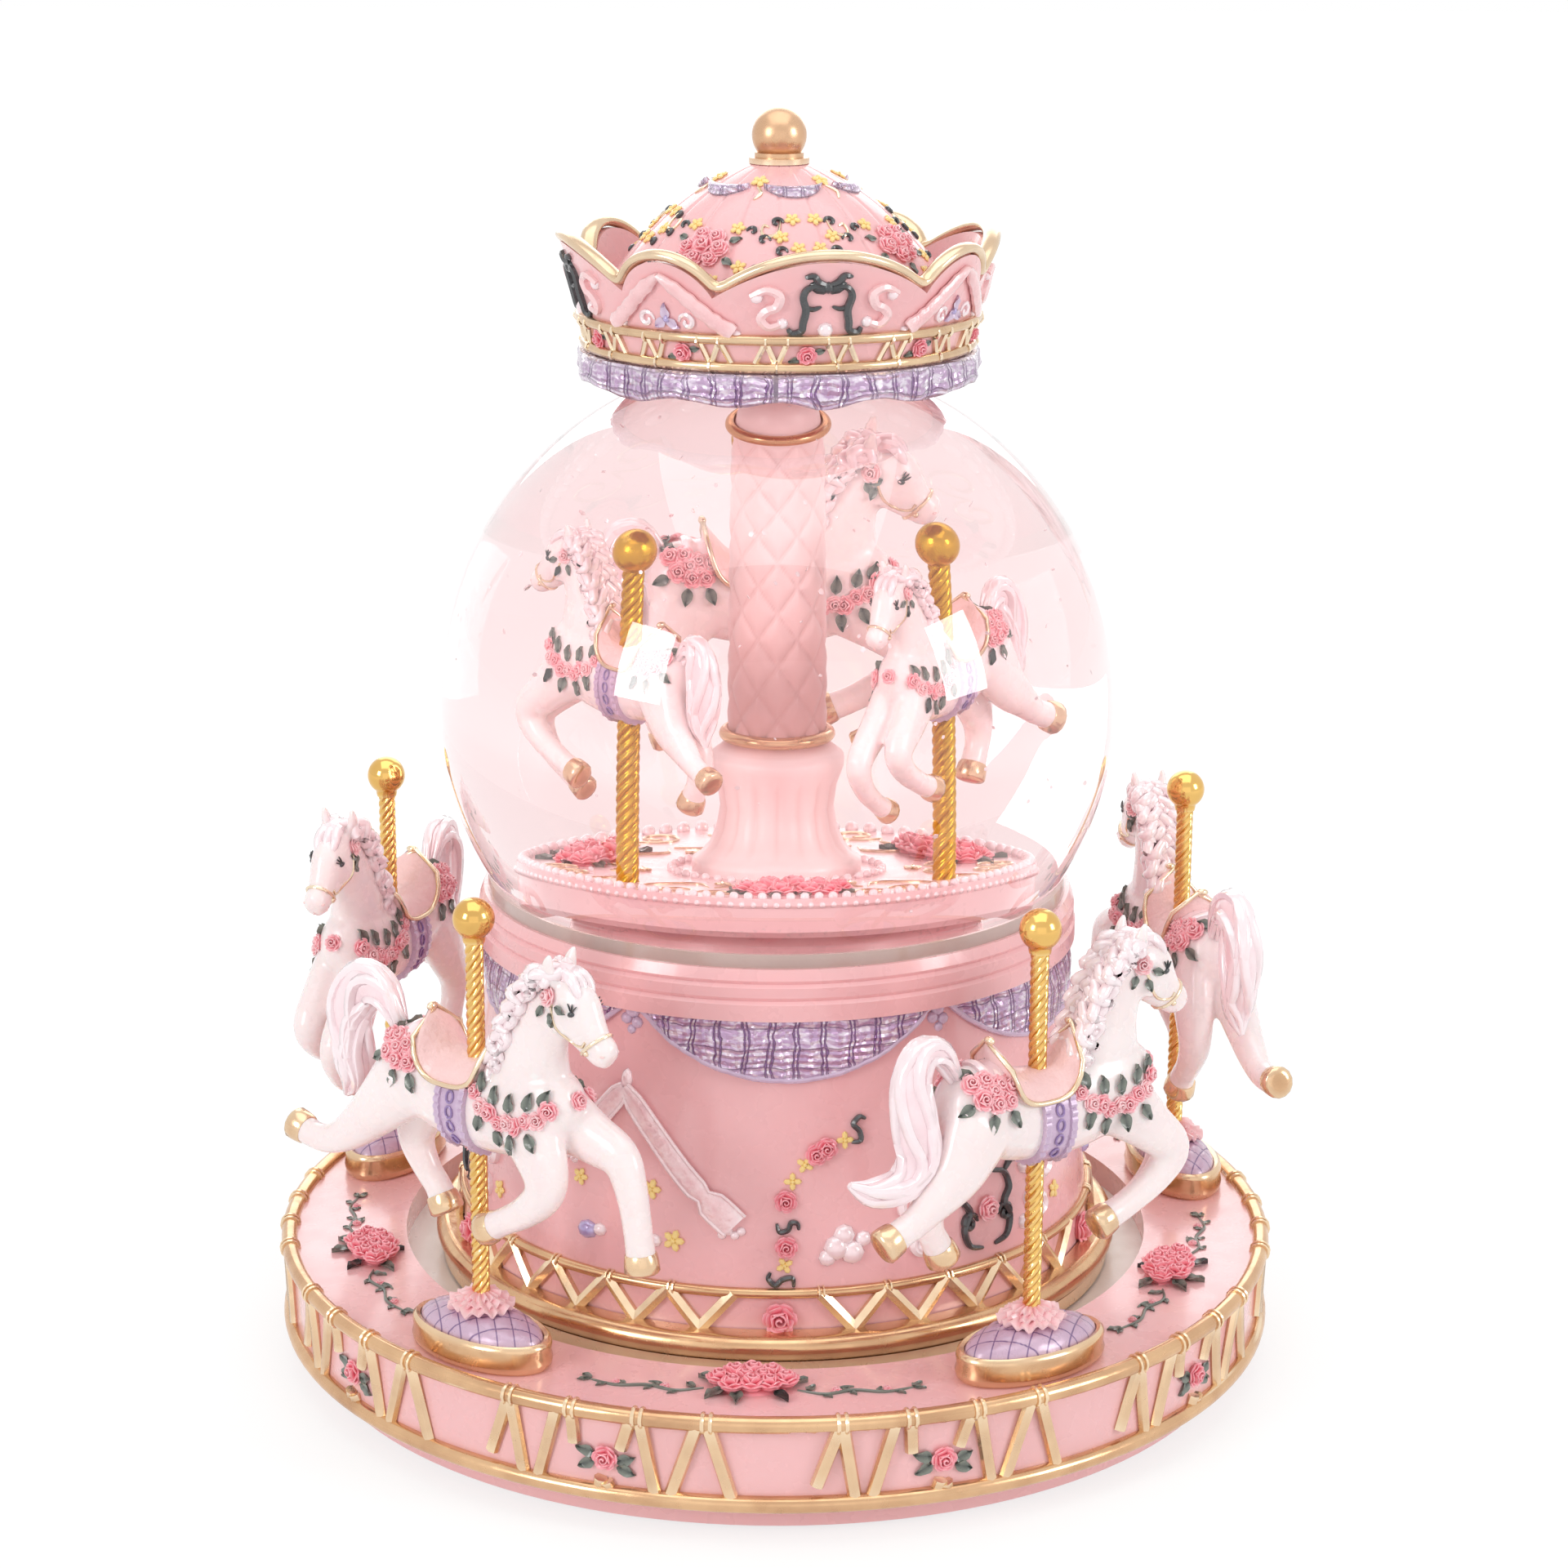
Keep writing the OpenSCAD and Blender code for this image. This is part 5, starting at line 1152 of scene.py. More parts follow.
    def build_face(self) -> None:
        """Eyes with lashes, nostrils, a mouth line, the bridle with its nose band, and a flower at each cheek."""
        for side in (-1, 1):
            eye = self.flank(20, 17.8, side)
            self.pin(INK, ball((0.58, 0.4, 0.3)), eye, 1, 20)
            for k, angle in enumerate((38, 62, 86)):
                lash = strand([(0.4, 0.1), (0.9, 0.3), (1.45, 0.42 + 0.1 * k)], 0.11, 0.5, 1.6, 5, 3)
                self.pin(INK, lash, eye, 1, side * -1 * angle + (0 if side < 0 else 180))
            self.pin(SEAT_PINK, ball((0.35, 0.22, 0.14)), self.flank(24.6, 12.6, side))
            mouth = [self.flank(x, z, side)[0] for x, z in ((25, 10.9), (23.9, 10.7), (22.9, 11.3))]
            self.cord(SEAT_PINK, smooth_line(mouth, 3), 0.13, 5)
            cheek = [self.flank(x, z, side)[0] for x, z in
                     ((16.2, 20.2), (16.6, 18), (17.4, 15.6), (19.2, 13.8), (21.2, 13.4), (22, 14.2))]
            self.cord(FINE_GILT, smooth_line(cheek, 4), 0.24)
            self.pin(PALE_ROSE, rose(), self.flank(15.9, 19.3, side), 1.6)
            for forward, up, turn in ((14.9, 17.9, 150), (16.4, 17.3, 200), (17.4, 18.4, 250)):
                self.pin(DARK_LEAF, leaf(), self.flank(forward, up, side), 2, turn)
            self.pin(FINE_GILT, ball(0.45), self.flank(22, 12.6, side))
        middle, way = np.array([22.2, 0, 13.4]), np.array([0.66, 0, -0.75])
        lift = np.cross(way, (0, 1, 0))
        band = []
        for angle in full_turn(20):
            out = lift * cos(angle) + np.array([0, 1, 0]) * sin(angle)
            band.append(self.touch(middle + out * 7, middle)[0] + out * 0.1)
        self.put(FINE_GILT, tube(band, 0.26, 6, across=way, closed=True))

    def around(self, forward: float, angle: float) -> Spot:
        """The skin of the trunk at a place along it and degrees from the top, and the way outwards."""
        out = np.array([0, sin(radians(angle)), cos(radians(angle))])
        axis = np.array([forward, 0, 1.4])
        return self.touch(axis + out * 22, axis)[0], out

    def band(self, forward: tuple[float, float], middle: float, reach: Callable[[float], float],
             lift: Callable[[float, float], float], rows: int = 9, cols: int = 25) -> Shape:
        """A pad over the skin.

        Args:
            forward: its two ends along the horse.
            middle: its middle, in degrees round from the top.
            reach: its half angle, by the share along it.
            lift: its height over the skin, by the share along it and from -1 to 1 round it.
            rows: rows along it.
            cols: columns round it.

        Returns:
            A closed shape, whose pattern coordinates are millimetres.
        """
        loops, pattern = [], []
        for j in range(rows):
            a = j / (rows - 1)
            x = forward[0] + (forward[1] - forward[0]) * a
            upper, lower, pairs = [], [], []
            for i in range(cols):
                b = 2 * i / (cols - 1) - 1
                point, out = self.around(x, middle + reach(a) * b)
                upper.append(point + out * lift(a, b))
                lower.append(point - out * 0.4)
                pairs.append((x, radians(reach(a) * b) * 6))
            loops.append(upper + lower[::-1])
            pattern.append(pairs + pairs[::-1])
        return grid(np.array(loops), uv=np.array(pattern))

    def build_saddle(self) -> None:
        """The seat with its gilt edge, pommel and cantle."""
        back, front = self.saddle

        def flap(a: float) -> float:
            """The half angle of the seat: a U on each side."""
            return 4 + 62 * (1 - abs(2 * a - 1) ** 3) ** 0.6

        def seat(a: float, b: float) -> float:
            """High at its back and front, and thin at its edge."""
            ends = 2.7 * max(0, 1 - a / 0.3) ** 1.3 + 2.9 * max(0, (a - 0.74) / 0.26) ** 1.5
            return 0.6 + ends * max(0, 1 - (flap(a) * b / 62) ** 2)

        def rim(a: float, side: float) -> np.ndarray:
            """A point on the edge, or in the middle for a side of 0."""
            point, out = self.around(back + (front - back) * a, side * flap(a))
            return point + out * (seat(a, side) + 0.1)

        self.put(SEAT_PINK, self.band(self.saddle, 0, flap, seat, 17, 29))
        steps = np.linspace(0, 1, 23)
        edge = [rim(a, 1) for a in steps[:-1]] + [rim(a, -1) for a in steps[:0:-1]]
        self.put(FINE_GILT, tube(edge, 0.4, 8, closed=True))
        for share, size in ((0, 1), (1, 0.8)):
            self.put(FINE_GILT, ball((size * 0.6, size, size * 0.6), rim(share, 0), 6, 10))
        self.put(PEARL, self.band((-11.2, -7.4), 0, lambda a: 58 - 14 * abs(2 * a - 1),
                                  lambda a, b: 0.5 + 0.25 * sin(9 * a), 9, 21))

    def build_girth(self) -> None:
        """The girth with its ruffled edges and a row of rings on each side."""
        self.put(LILAC_TRIM, self.band((-2.1, 2.1), 180, lambda a: 118, lambda a, b: 0.45, 5, 41))
        for x in (-2.2, 2.2):
            self.put(LILAC_TRIM, self.band((x - 0.45, x + 0.45), 180, lambda a: 118,
                                           lambda a, b: 0.55 + 0.4 * abs(sin(b * 34)), 4, 61))
        ring = tube([(0.6 * cos(a), 0.85 * sin(a), 0.1) for a in full_turn(10)], 0.17, 5, closed=True)
        for side in (-1, 1):
            for up in (2.2, 0.2, -1.8, -3.8):
                self.pin(DARK_LILAC, ring, self.flank(0, up, side), sink=-0.45)

    def build_garlands(self) -> None:
        """Roses and leaves round the chest, and a bunch on each side of the rump."""
        chest = [(4, 3.6), (5.6, 2.4), (7.2, 1.5), (8.8, 0.8), (10.4, 0.7), (12, 1), (13.6, 1.6), (15.2, 2.4),
                 (16.6, 3.5)]
        rump = [(-13, 7.6), (-11.2, 7.9), (-9.3, 7.2), (-12.2, 5.9), (-10.3, 5.2), (-8.3, 5.2), (-7.6, 6.8),
                (-10.6, 6.6)]
        leaves = [(5.2, 4, 10), (7.8, 2.8, 0), (10.6, 2.4, -5), (13.4, 3.2, -15), (15.4, 4.2, -30), (5.6, 1.2, 165),
                  (8.4, -0.4, 180), (11.4, -0.4, 190), (14.2, 0.4, 205), (-7.6, 8, -30), (-13.4, 5.2, 120),
                  (-8, 3.8, 200), (-6.8, 6, -90), (-13.8, 8.4, 60), (-10.8, 3.8, 170)]
        for side in (-1, 1):
            for k, (x, z) in enumerate(chest):
                self.pin(PALE_ROSE if k % 3 == 1 else ROSE, rose(), self.flank(x, z + 0.25 * (-1) ** k, side),
                         1.35 + 0.12 * (k % 3), 60 * k, 0.2)
            for k, (x, z) in enumerate(rump):
                self.pin(ROSE, rose(), self.flank(x, z, side), 1.75 - 0.08 * (k % 3), 75 * k, 0.1)
            for x, z, turn in leaves:
                self.pin(DARK_LEAF, leaf(), self.flank(x, z, side), 2.8, turn * -side)
        self.pin(ROSE, rose(), self.touch((30, 0, 4.6), (0, 0, 4.6)), 1.5, 0, 0.2)

    def build_hooves(self) -> None:
        """A gilt hoof at the end of each leg."""
        reach = [(0, 1), (0.4, 1.08), (1.4, 1.14), (2.4, 1.16), (2.8, 1), (2.95, 0.6)]
        for leg in HORSE_LEGS[self.gait]:
            before, last = np.array(leg[-2:])
            way = unit_rows(last[:3] - before[:3])
            self.cord(GILT, [last[:3] + way * (along - 0.9) for along, _ in reach],
                      np.array([last[:2:-1] * wide for _, wide in reach]), 14)

    def build(self) -> "Horse":
        """Builds the whole horse, and gives it back."""
        self.build_skin()
        self.build_mane()
        self.build_tail()
        self.build_face()
        self.build_saddle()
        self.build_girth()
        self.build_garlands()
        self.build_hooves()
        return self


# ---- Sub-assemblies ----


@dataclass
class Movement:
    """The clockwork, gears and fixings under and inside the drum, which keep their CAD shapes."""

    finishes: dict[Finish, tuple[str, ...]] = field(default_factory=lambda: {
        RUBBER: ("rubber_feet",),
        PINK: ("base_plate",),
        STEEL: ("base_screws", "deck_screws", "idler_pin", "bridge_screws", "comb_screws", "turntable_screws",
                "bearing_balls", "governor_worm"),
        BRASS: ("deck_pillars", "barrel_bridge", "cylinder_bracket", "governor_bracket", "spring_barrel",
                "barrel_cover", "music_cylinder"),
        GILT: ("movement_deck",),
        CAST_IRON: ("comb_bed",),
        COMB: ("comb",),
        NYLON: ("turntable_gear", "drive_idler", "ball_cage"),
        SPRING: ("mainspring",),
        KEY: ("winding_key", "winding_arbor"),
    })

    def dress(self) -> None:
        """Gives each node its finish."""
        for finish, nodes in self.finishes.items():
            dress(finish, *nodes)


def herd(word: str, horses: Sequence[Horse], places: Sequence[Spot], body: Body = Body.ROOT) -> None:
    """Stands horses at their places, each with a coat of its own, and all their trims together.

    Args:
        word: their word in the names of pieces and nodes.
        horses: a horse for each place.
        places: the matrix and shift of each.
        body: what they ride on.
    """
    trims = Basket()
    for k, (horse, place) in enumerate(zip(horses, places), 1):
        one = horse.moved(*place)
        make_piece(f"{word}_horse_skin_{k}", join(one.shapes.pop(IVORY)), IVORY, (f"{word}_horse_{k}",), 180, body)
        trims.pour(one)
    trims.pieces(word + "_horses", body)


@dataclass
class TurningRing:
    """The ring that turns round the drum: its gilt trellis, its flowers and its five horses."""

    top: float = read_off("carousel_ring", 1, 2)
    low: float = read_off("carousel_ring", 0, 2)
    outer: float = read_off("carousel_ring", 1, 0)
    pole_circle: float = 65.25
    first_pole: float = 33.0
    units: int = 10
    bunch_circle: float = 63.0
    plinth_half_l: float = 12.0
    plinth_half_w: float = 6.8
    rim_height: float = 4.32
    plinth_height: float = 7.2
    pole_radius: float = 1.3
    twist: float = 7.8
    ball_radius: float = 2.9
    ball_top: float = read_off("outer_pole_1", 1, 2)
    horse_height: float = 54.5
    gaits: tuple[Gait, ...] = (Gait.LEAP, Gait.STRIDE, Gait.LEAP, Gait.LEAP, Gait.STRIDE)
    behind_glass: tuple[int, ...] = (1, 2, 3)

    def azimuths(self) -> list[float]:
        """The angles of the poles from the front, in degrees."""
        return [self.first_pole + 360 / len(self.gaits) * k for k in range(len(self.gaits))]

    def trellis(self) -> None:
        """Struts, knots and roses on the outside of the ring."""
        wall = Skin([(self.outer, self.low), (self.outer, self.top)])
        tall = self.top - self.low
        full, stub = (0.3, tall - 0.4), (tall - 5, tall - 0.6)
        struts = [(-11.2, -13.6, 3.4, tall - 0.4), (-10.9, -9.4, *full), (-5.4, -8, *full), (-3.7, -3.5, *stub),
                  (2.8, 1.7, *stub), (3.9, 5.6, *full), (9.9, 6.8, *full), (11.1, 13.8, *full), (-0.4, -0.8, 0.8, 3),
                  (0.2, 0.6, 0.8, 2.6)]
        degree = radians(1) * self.outer
        basket, flowers = Basket(wall), Basket(wall)
        for top_a, low_a, foot, head in struts:
            basket.lay(GILT, strut((low_a * degree, foot), (top_a * degree, head), (0.25, 0.35, 0.6), (0.98, 0.8), 4,
                                   8))
        rail_r, hold = self.outer + 0.36, 1.28
        for knot in (-11, -3.7, 3.7, 11):
            for offset in (-0.42, 0.42):
                ring = [(offset, -(rail_r + cos(a) * hold), self.top + sin(a) * hold) for a in full_turn(14)]
                turn = turn_z(knot + offset * 0.25)
                basket.put(GILT, tube(ring, 0.3, 6, across=(1, 0, 0), closed=True).placed(turn))
        basket.lay(GILT, blossom(4, 0.3), -9.4, 1.1, 0.9)
        basket.lay(GILT, blossom(4, 0.3), 6.2, 1, 0.8)
        basket.rings("trellis", self.units, 18, Body.CAROUSEL)
        flowers.bunch([(0, 5.9, 1.95)], [(-1.2, 6.2, 2.9, 75), (-1.2, 5.2, 2.8, 115), (1.2, 5.4, 2.9, -70),
                                         (1.3, 4.7, 2.8, -110)])
        flowers.rings("trellis_flowers", self.units, 18, Body.CAROUSEL)

    def top_flowers(self) -> None:
        """Bunches of roses with leafy sprays between the horses."""
        deck = Skin([(self.outer - 0.5, self.top), (self.outer - 17, self.top)])
        basket = Basket(deck, self.bunch_circle, self.outer - 0.5 - self.bunch_circle)
        lay = basket.lay
        lay(DEEP_ROSE, ball((5.2, 3, 1.1)), 0, 0.4)
        basket.bunch([(-4.4, 0.4, 2), (-2.4, 1.9, 2.3), (0.2, 2.4, 2.4), (2.8, 2, 2.3), (4.8, 0.2, 2.1),
                      (-2.4, -1.5, 2.1), (0.2, -1.2, 2.2), (2.6, -1, 2), (-0.8, 0.6, 2.1), (1.6, 0.5, 2.1)],
                     [(-3.6, -1.4, 3.4, 140), (-1.8, -2.2, 3.2, 185), (3.4, -1.8, 3, 215), (5, 1, 3.2, -70),
                      (-4.6, 1.8, 3.2, 75), (0.6, 2.6, 2.8, 10)], lifts=(0.9, 0.3))
        for side in (-1, 1):
            stem = [(6.4, -0.6), (10, -2.2), (14, -1.5), (18, -2.8), (22, -2.2)]
            lay(DARK_LEAF, strand(stem, 0.26, 0.5, 1.2, hand=side))
            for x, y, turn, size in ((7.6, -1, 40, 2.2), (9.6, -2.2, 130, 1.7), (12.6, -1.6, 30, 1.8),
                                     (13.4, -1.6, 150, 1.5), (17, -2.4, 35, 1.6), (19.4, -2.6, 140, 1.7),
                                     (21.8, -2.2, 60, 2.2), (22, -2.4, 110, 1.7)):
                lay(DARK_LEAF, leaf(), side * x, y, size, -side * turn)
            lay(DARK_LEAF, strand([(11, -2), (12.4, -0.4), (14.2, -0.2)], 0.24, 0.5, 1.2, hand=side))
            lay(ROSE, rose(), side * 11.6, -1.2, 0.8)
            lay(ROSE, rose(), side * 18.4, -1.8, 0.7)
        basket.rings("deck_flowers", len(self.gaits), self.first_pole - 36, Body.CAROUSEL)

    def plinths(self) -> None:
        """Oval plinths: a gilt rim round a quilted lilac top, with a ruffled flower at the pole's foot."""
        angle = full_turn(72)

        def oval(inset: np.ndarray) -> np.ndarray:
            """Points of the oval, by how far each row lies inside it."""
            return np.stack([(self.plinth_half_l - inset[:, None]) * np.cos(angle),
                             (self.plinth_half_w - inset[:, None]) * np.sin(angle)], axis=-1)

        rim = np.array([(0.7, 0), (0.15, 0.5), (0, 1.3), (0.25, 2.2), (0.1, 3.4), (0.25, self.rim_height - 0.35),
                        (0.7, self.rim_height), (1.25, self.rim_height - 0.2), (1.5, self.rim_height - 1), (1.5, 0),
                        (0.7, 0)])
        rings = oval(rim[:, 0])
        rim_heights = np.broadcast_to(rim[:, 1][:, None, None], rings.shape[:2] + (1,))
        shares = np.linspace(1, 0, 26)
        plan = shares[:, None, None] * oval(np.array([1.2]))
        pitch = Quilted.pitch * 1.6
        seams = [np.abs(((plan[..., 0] + s * 1.25 * plan[..., 1]) / pitch + 50) % 1 - 0.5) for s in (1, -1)]
        groove = np.minimum(seams[0], seams[1])
        height = (self.rim_height - 0.9 + (self.plinth_height - self.rim_height + 0.9)
                  * np.sqrt(np.clip(1 - shares**2, 0, 1))[:, None]
                  + 0.28 * np.sqrt(np.clip(groove / 0.25, 0, 1)) - 0.28)
        cushion = np.concatenate([plan, height[..., None]], axis=-1)
        cushion = np.concatenate([cushion[:1] * [1, 1, 0] + [0, 0, 2], cushion])
        basket = Basket()
        basket.put(GILT, grid(np.concatenate([rings, rim_heights], axis=-1), capped=False))
        basket.put(PLINTH_LILAC, grid(cushion, uv=np.concatenate([plan[:1], plan])))
        turn = full_turn(90)
        for layer, (reach, lift) in enumerate(((4.9, 0), (3.9, 0.6), (2.9, 1.2))):
            share = np.array([0.25, 0.5, 0.75, 1, 0.95, 0.6, 0.25])
            thick = np.array([0.9, 0.9, 0.7, 0.3, -0.1, -0.3, -0.6])
            wave = np.sin(15 * turn + 2 * layer) * 0.42 + np.sin(6 * turn + 2 * layer) * 0.25
            radius = reach * share[:, None] * (1 + 0.05 * np.sin(8 * turn + layer)[None] * share[:, None])
            z = self.plinth_height - 0.1 + lift + thick[:, None] + wave[None] * share[:, None] ** 2
            frill = np.stack([radius * np.cos(turn), radius * np.sin(turn) * 0.9, z], axis=-1)
            uv = np.stack(np.broadcast_arrays(turn[None] * 0, share[:, None]), axis=-1)
            basket.put(PALE_ROSE, grid(frill, uv=uv))
        everything = Basket()
        for azimuth in self.azimuths():
            everything.pour(basket.moved(*stand(azimuth, self.pole_circle, self.top)))
        for finish, word, nodes in ((GILT, "rims", ("plinths",)), (PLINTH_LILAC, "quilting", ()),
                                    (PALE_ROSE, "ruffles", ())):
            make_piece("plinth_" + word, join(everything.shapes[finish]), finish, nodes, body=Body.CAROUSEL)

    def poles(self) -> None:
        """Twisted gold poles with polished balls."""
        foot = self.top + self.plinth_height - 0.5
        ball_z = self.ball_top - self.ball_radius
        low = ball_z - self.ball_radius
        knob = revolve([(0, low - 0.5), (1.5, low - 0.4), (1.6, low + 0.1)] + arc(self.ball_radius, ball_z, 0.6, 22),
                       40)
        height = ball_z - foot - 1.5
        for k, azimuth in enumerate(self.azimuths()):
            shift = stand(azimuth, self.pole_circle, 0)[1]
            name = f"outer_rope_{k + 1}"
            twisted = rope(name, BRIGHT_GOLD, shift + [0, 0, foot], height, self.pole_radius, height / self.twist)
            thing = make_piece(name, join([twisted, knob.placed(np.eye(3), shift)]), BRIGHT_GOLD,
                               (f"outer_pole_{k + 1}",), 60,
                               Body.CAROUSEL)
            thing.visible_transmission = k not in self.behind_glass

    def build(self) -> None:
        """Builds all of the ring."""
        dress(PINK, "carousel_ring")
        dress(GILT, "ring_rails")
        self.trellis()
        self.top_flowers()
        self.plinths()
        self.poles()
        kinds = {gait: Horse(gait=gait).build() for gait in (Gait.STRIDE, Gait.LEAP)}
        places = [stand(azimuth, self.pole_circle, self.horse_height) for azimuth in self.azimuths()]
        herd("outer", [kinds[gait] for gait in self.gaits], places, Body.CAROUSEL)


@dataclass
class Drum:
    """The fixed drum: its gilt foot, its relief and the draped cloth under its collar."""

    foot_z: float = read_off("drum_shell", 0, 2)
    collar_z: float = 64.2
    moulding_z: float = read_off("drum_moulding", 1, 2)
    rail_sink: float = 0.75
    foot_r: float = read_off("drum_shell", 1, 0)
    neck_r: float = 42.62
    relief_r: float = 46.0
    bulge: float = 1.6
    swags: int = 6
    first_swag: float = 2.0
    swag_half: float = 21.0
    swag_drop: float = 9.0

    def skin(self) -> Skin:
        """The outside of the drum's wall."""
        bend = (self.foot_r - self.bulge, (self.foot_z + self.collar_z) / 2)
        return Skin(bow((self.foot_r, self.foot_z), bend, (self.neck_r, self.collar_z), 17))

    def zigzag(self) -> None:
        """The gilt zigzag between the moulding and the thin rail, with its roses."""
        low, high = 3.4, self.moulding_z - self.rail_sink - self.foot_z
        degree = radians(1) * (self.foot_r - 0.6)
        basket, flowers = Basket(self.skin()), Basket(self.skin(), self.foot_r)
        for i in range(10):
            start, end = (7 + 5.8 * k for k in (i, i + 1))
            feet = (low, high) if i % 2 else (high, low)
            basket.lay(GILT, strut((start * degree, feet[0]), (end * degree, feet[1]), (0.3, 0.3, 0.3), (1, 1)))
            if i % 2 == 0:
                for x in (-0.34, 0.34):
                    basket.lay(GILT, hoop((x, high, 0.35), (0.9, 0.9), 8, 0.2), start)
        flowers.bunch([(0, 5.2, 2.6)], [])
        basket.rings("foot_zigzag", 5, 0.8)
        flowers.rings("foot_roses", 5, 0.8)

    def relief(self) -> None:
        """The raised ornament, three times round: a ribbon, small flowers, a garland and a scrolled frame."""
        wall = self.skin()
        basket = Basket(wall)
        dot, flat_dot = ball((1, 1, 0.8)), ball((1, 1, 0.7))

        def put(finish: Paint, shape: Shape, azimuth: float, height: float, size: float = 1.0,
                turn: float = 0.0) -> None:
            """Lays a shape on the wall by azimuth and height above the table."""
            basket.lay(finish, shape, azimuth, wall.length_at(height), size, turn)

        ribbon_a, ribbon_z = -28.3, 52
        for side, reach in ((-1, 9.5), (1, 16.5)):
            foot = -17.5 * reach / 16.5
            arm = [(0, 0.6), (side * reach * 0.3, foot * 0.3), (side * reach * 0.62, foot * 0.66), (side * reach, foot)]
            line = smooth_line([(x, y, 0.4) for x, y in arm], 6)
            widths = taper(line, [0, 0.12, 0.72, 0.77, 0.84, 1], [0.7, 1.35, 1.5, 0.9, 2.1, 2])
            put(FOIL, tube(line, np.stack([widths, 0.7 + 0 * widths], axis=1), 10), ribbon_a, ribbon_z)
            for edge in (-1, 1):
                brim = line + np.stack([edge * widths * 0.7, edge * side * widths * 0.7, 0.25 + 0 * widths], axis=1)
                put(FOIL, tube(brim, 0.3, 6), ribbon_a, ribbon_z)
            for k in range(4):
                put(PEARL, dot, ribbon_a + degrees(side * (reach - 1.2 + 0.9 * k) / self.relief_r),
                    ribbon_z + foot - 1.4 + 0.6 * (k % 2), 0.7)
        put(FOIL, ball((0.9, 1.7, 0.8)), ribbon_a, 53.6)
        for azimuth, height, size in ((-29.5, 44.6, 1.45), (-22.3, 38.6, 1.5), (-17.8, 31.6, 1.6), (-37, 38.2, 1.3)):
            put(YELLOW, blossom(), azimuth, height, size)
        for azimuth in (-34.8, -23.9):
            put(LILAC_GEM, ball((1.7, 1.4, 1.1)), azimuth, 30.8)
            put(PEARL, ball((1, 0.9, 0.8)), azimuth + 2.6, 31.2, 1.1)
        for k, azimuth, height in ((1, 9, 45.6), (4, 1.8, 38.2), (6, 1.9, 31.6)):
            put(DEEP_ROSE, rose(), azimuth, height, 1.75, 40 * k)
        for k, azimuth, height in ((0, 12.4, 46.6), (2, 5.2, 43.4), (3, 3, 41), (7, 1.6, 28.9)):
            put(YELLOW, blossom(4), azimuth, height, 1.25, 30 * k)
        put(INK, strand([(-1.6, 0.4), (-1.2, -0.8), (0, -0.5), (0.4, 0.5), (1.3, 0.4), (1.5, -0.5)], 0.42, 0.5, 1.4),
            2.2, 34.6)
        put(DEEP_ROSE, rose(), 7.2, 44.8, 1.7)
        for azimuth, height, turn in ((14.6, 48, 0), (1, 26.6, 90)):
            scroll = [(-0.8, -1.8), (0.5, -1.6), (0.3, -0.2), (-0.5, 0.8), (0.4, 1.8), (1.3, 1.5)]
            put(INK, strand(scroll, 0.44, 0.5, 1.4), azimuth, height, 1, turn)
        for azimuth, height, size in ((10.6, 31.2, 1.9), (13.4, 30.4, 1.8), (12, 33, 1.6), (9, 29.8, 1.3),
                                      (15.4, 32.2, 1.2)):
            put(PEARL, flat_dot, azimuth, height, size)
        centre_a, centre_z = 40.5, 33
        bracket = [(1, 5.4), (3.6, 4.6), (4.6, 2.2), (3.4, 0.2), (4.4, -2.2), (3.6, -4.8), (1.2, -5.6)]
        for side in (-1, 1):
            put(INK, strand(bracket, 0.55, 0.5, 1.3, hand=side), centre_a, centre_z)
            put(INK, strand(curl(1.5, 1.2), 0.45, 0.5, 1.4, hand=side), centre_a + side * 2.4, centre_z - 1.4)
            put(INK, strand([(3.8, 4.6), (5.2, 6), (6.6, 5.6)], 0.5, 0.4, 1.3, hand=side), centre_a, centre_z)
            for k, (dx, dz) in enumerate(((8.6, 4.4), (10.4, 1.8), (9.2, -1), (11.4, -3.2), (7.6, -4.2))):
                put(PEARL, flat_dot, centre_a + side * degrees(dx / self.relief_r), centre_z + dz, 1.7 - 0.12 * k)
            put(PEARL, strand(curl(2.6, 1.25), 0.75, 0.4, 1.1, hand=side), centre_a + side * 13.2, centre_z + 1.5, 1,
                30 * side)
            low_scroll = [(x, -y) for x, y in curl(2, 1.1)]
            put(PEARL, strand(low_scroll, 0.65, 0.4, 1.1, hand=side), centre_a + side * 12, centre_z - 2.5)
        put(ROSE, rose(), centre_a, centre_z, 2)
        put(PEARL, dot, centre_a, centre_z + 7.4, 1.3)
        put(YELLOW, blossom(), centre_a + 20, centre_z - 2, 1.4)
        put(YELLOW, blossom(), centre_a + 24, centre_z + 9, 1.4)
        basket.rings("drum_relief", 3)

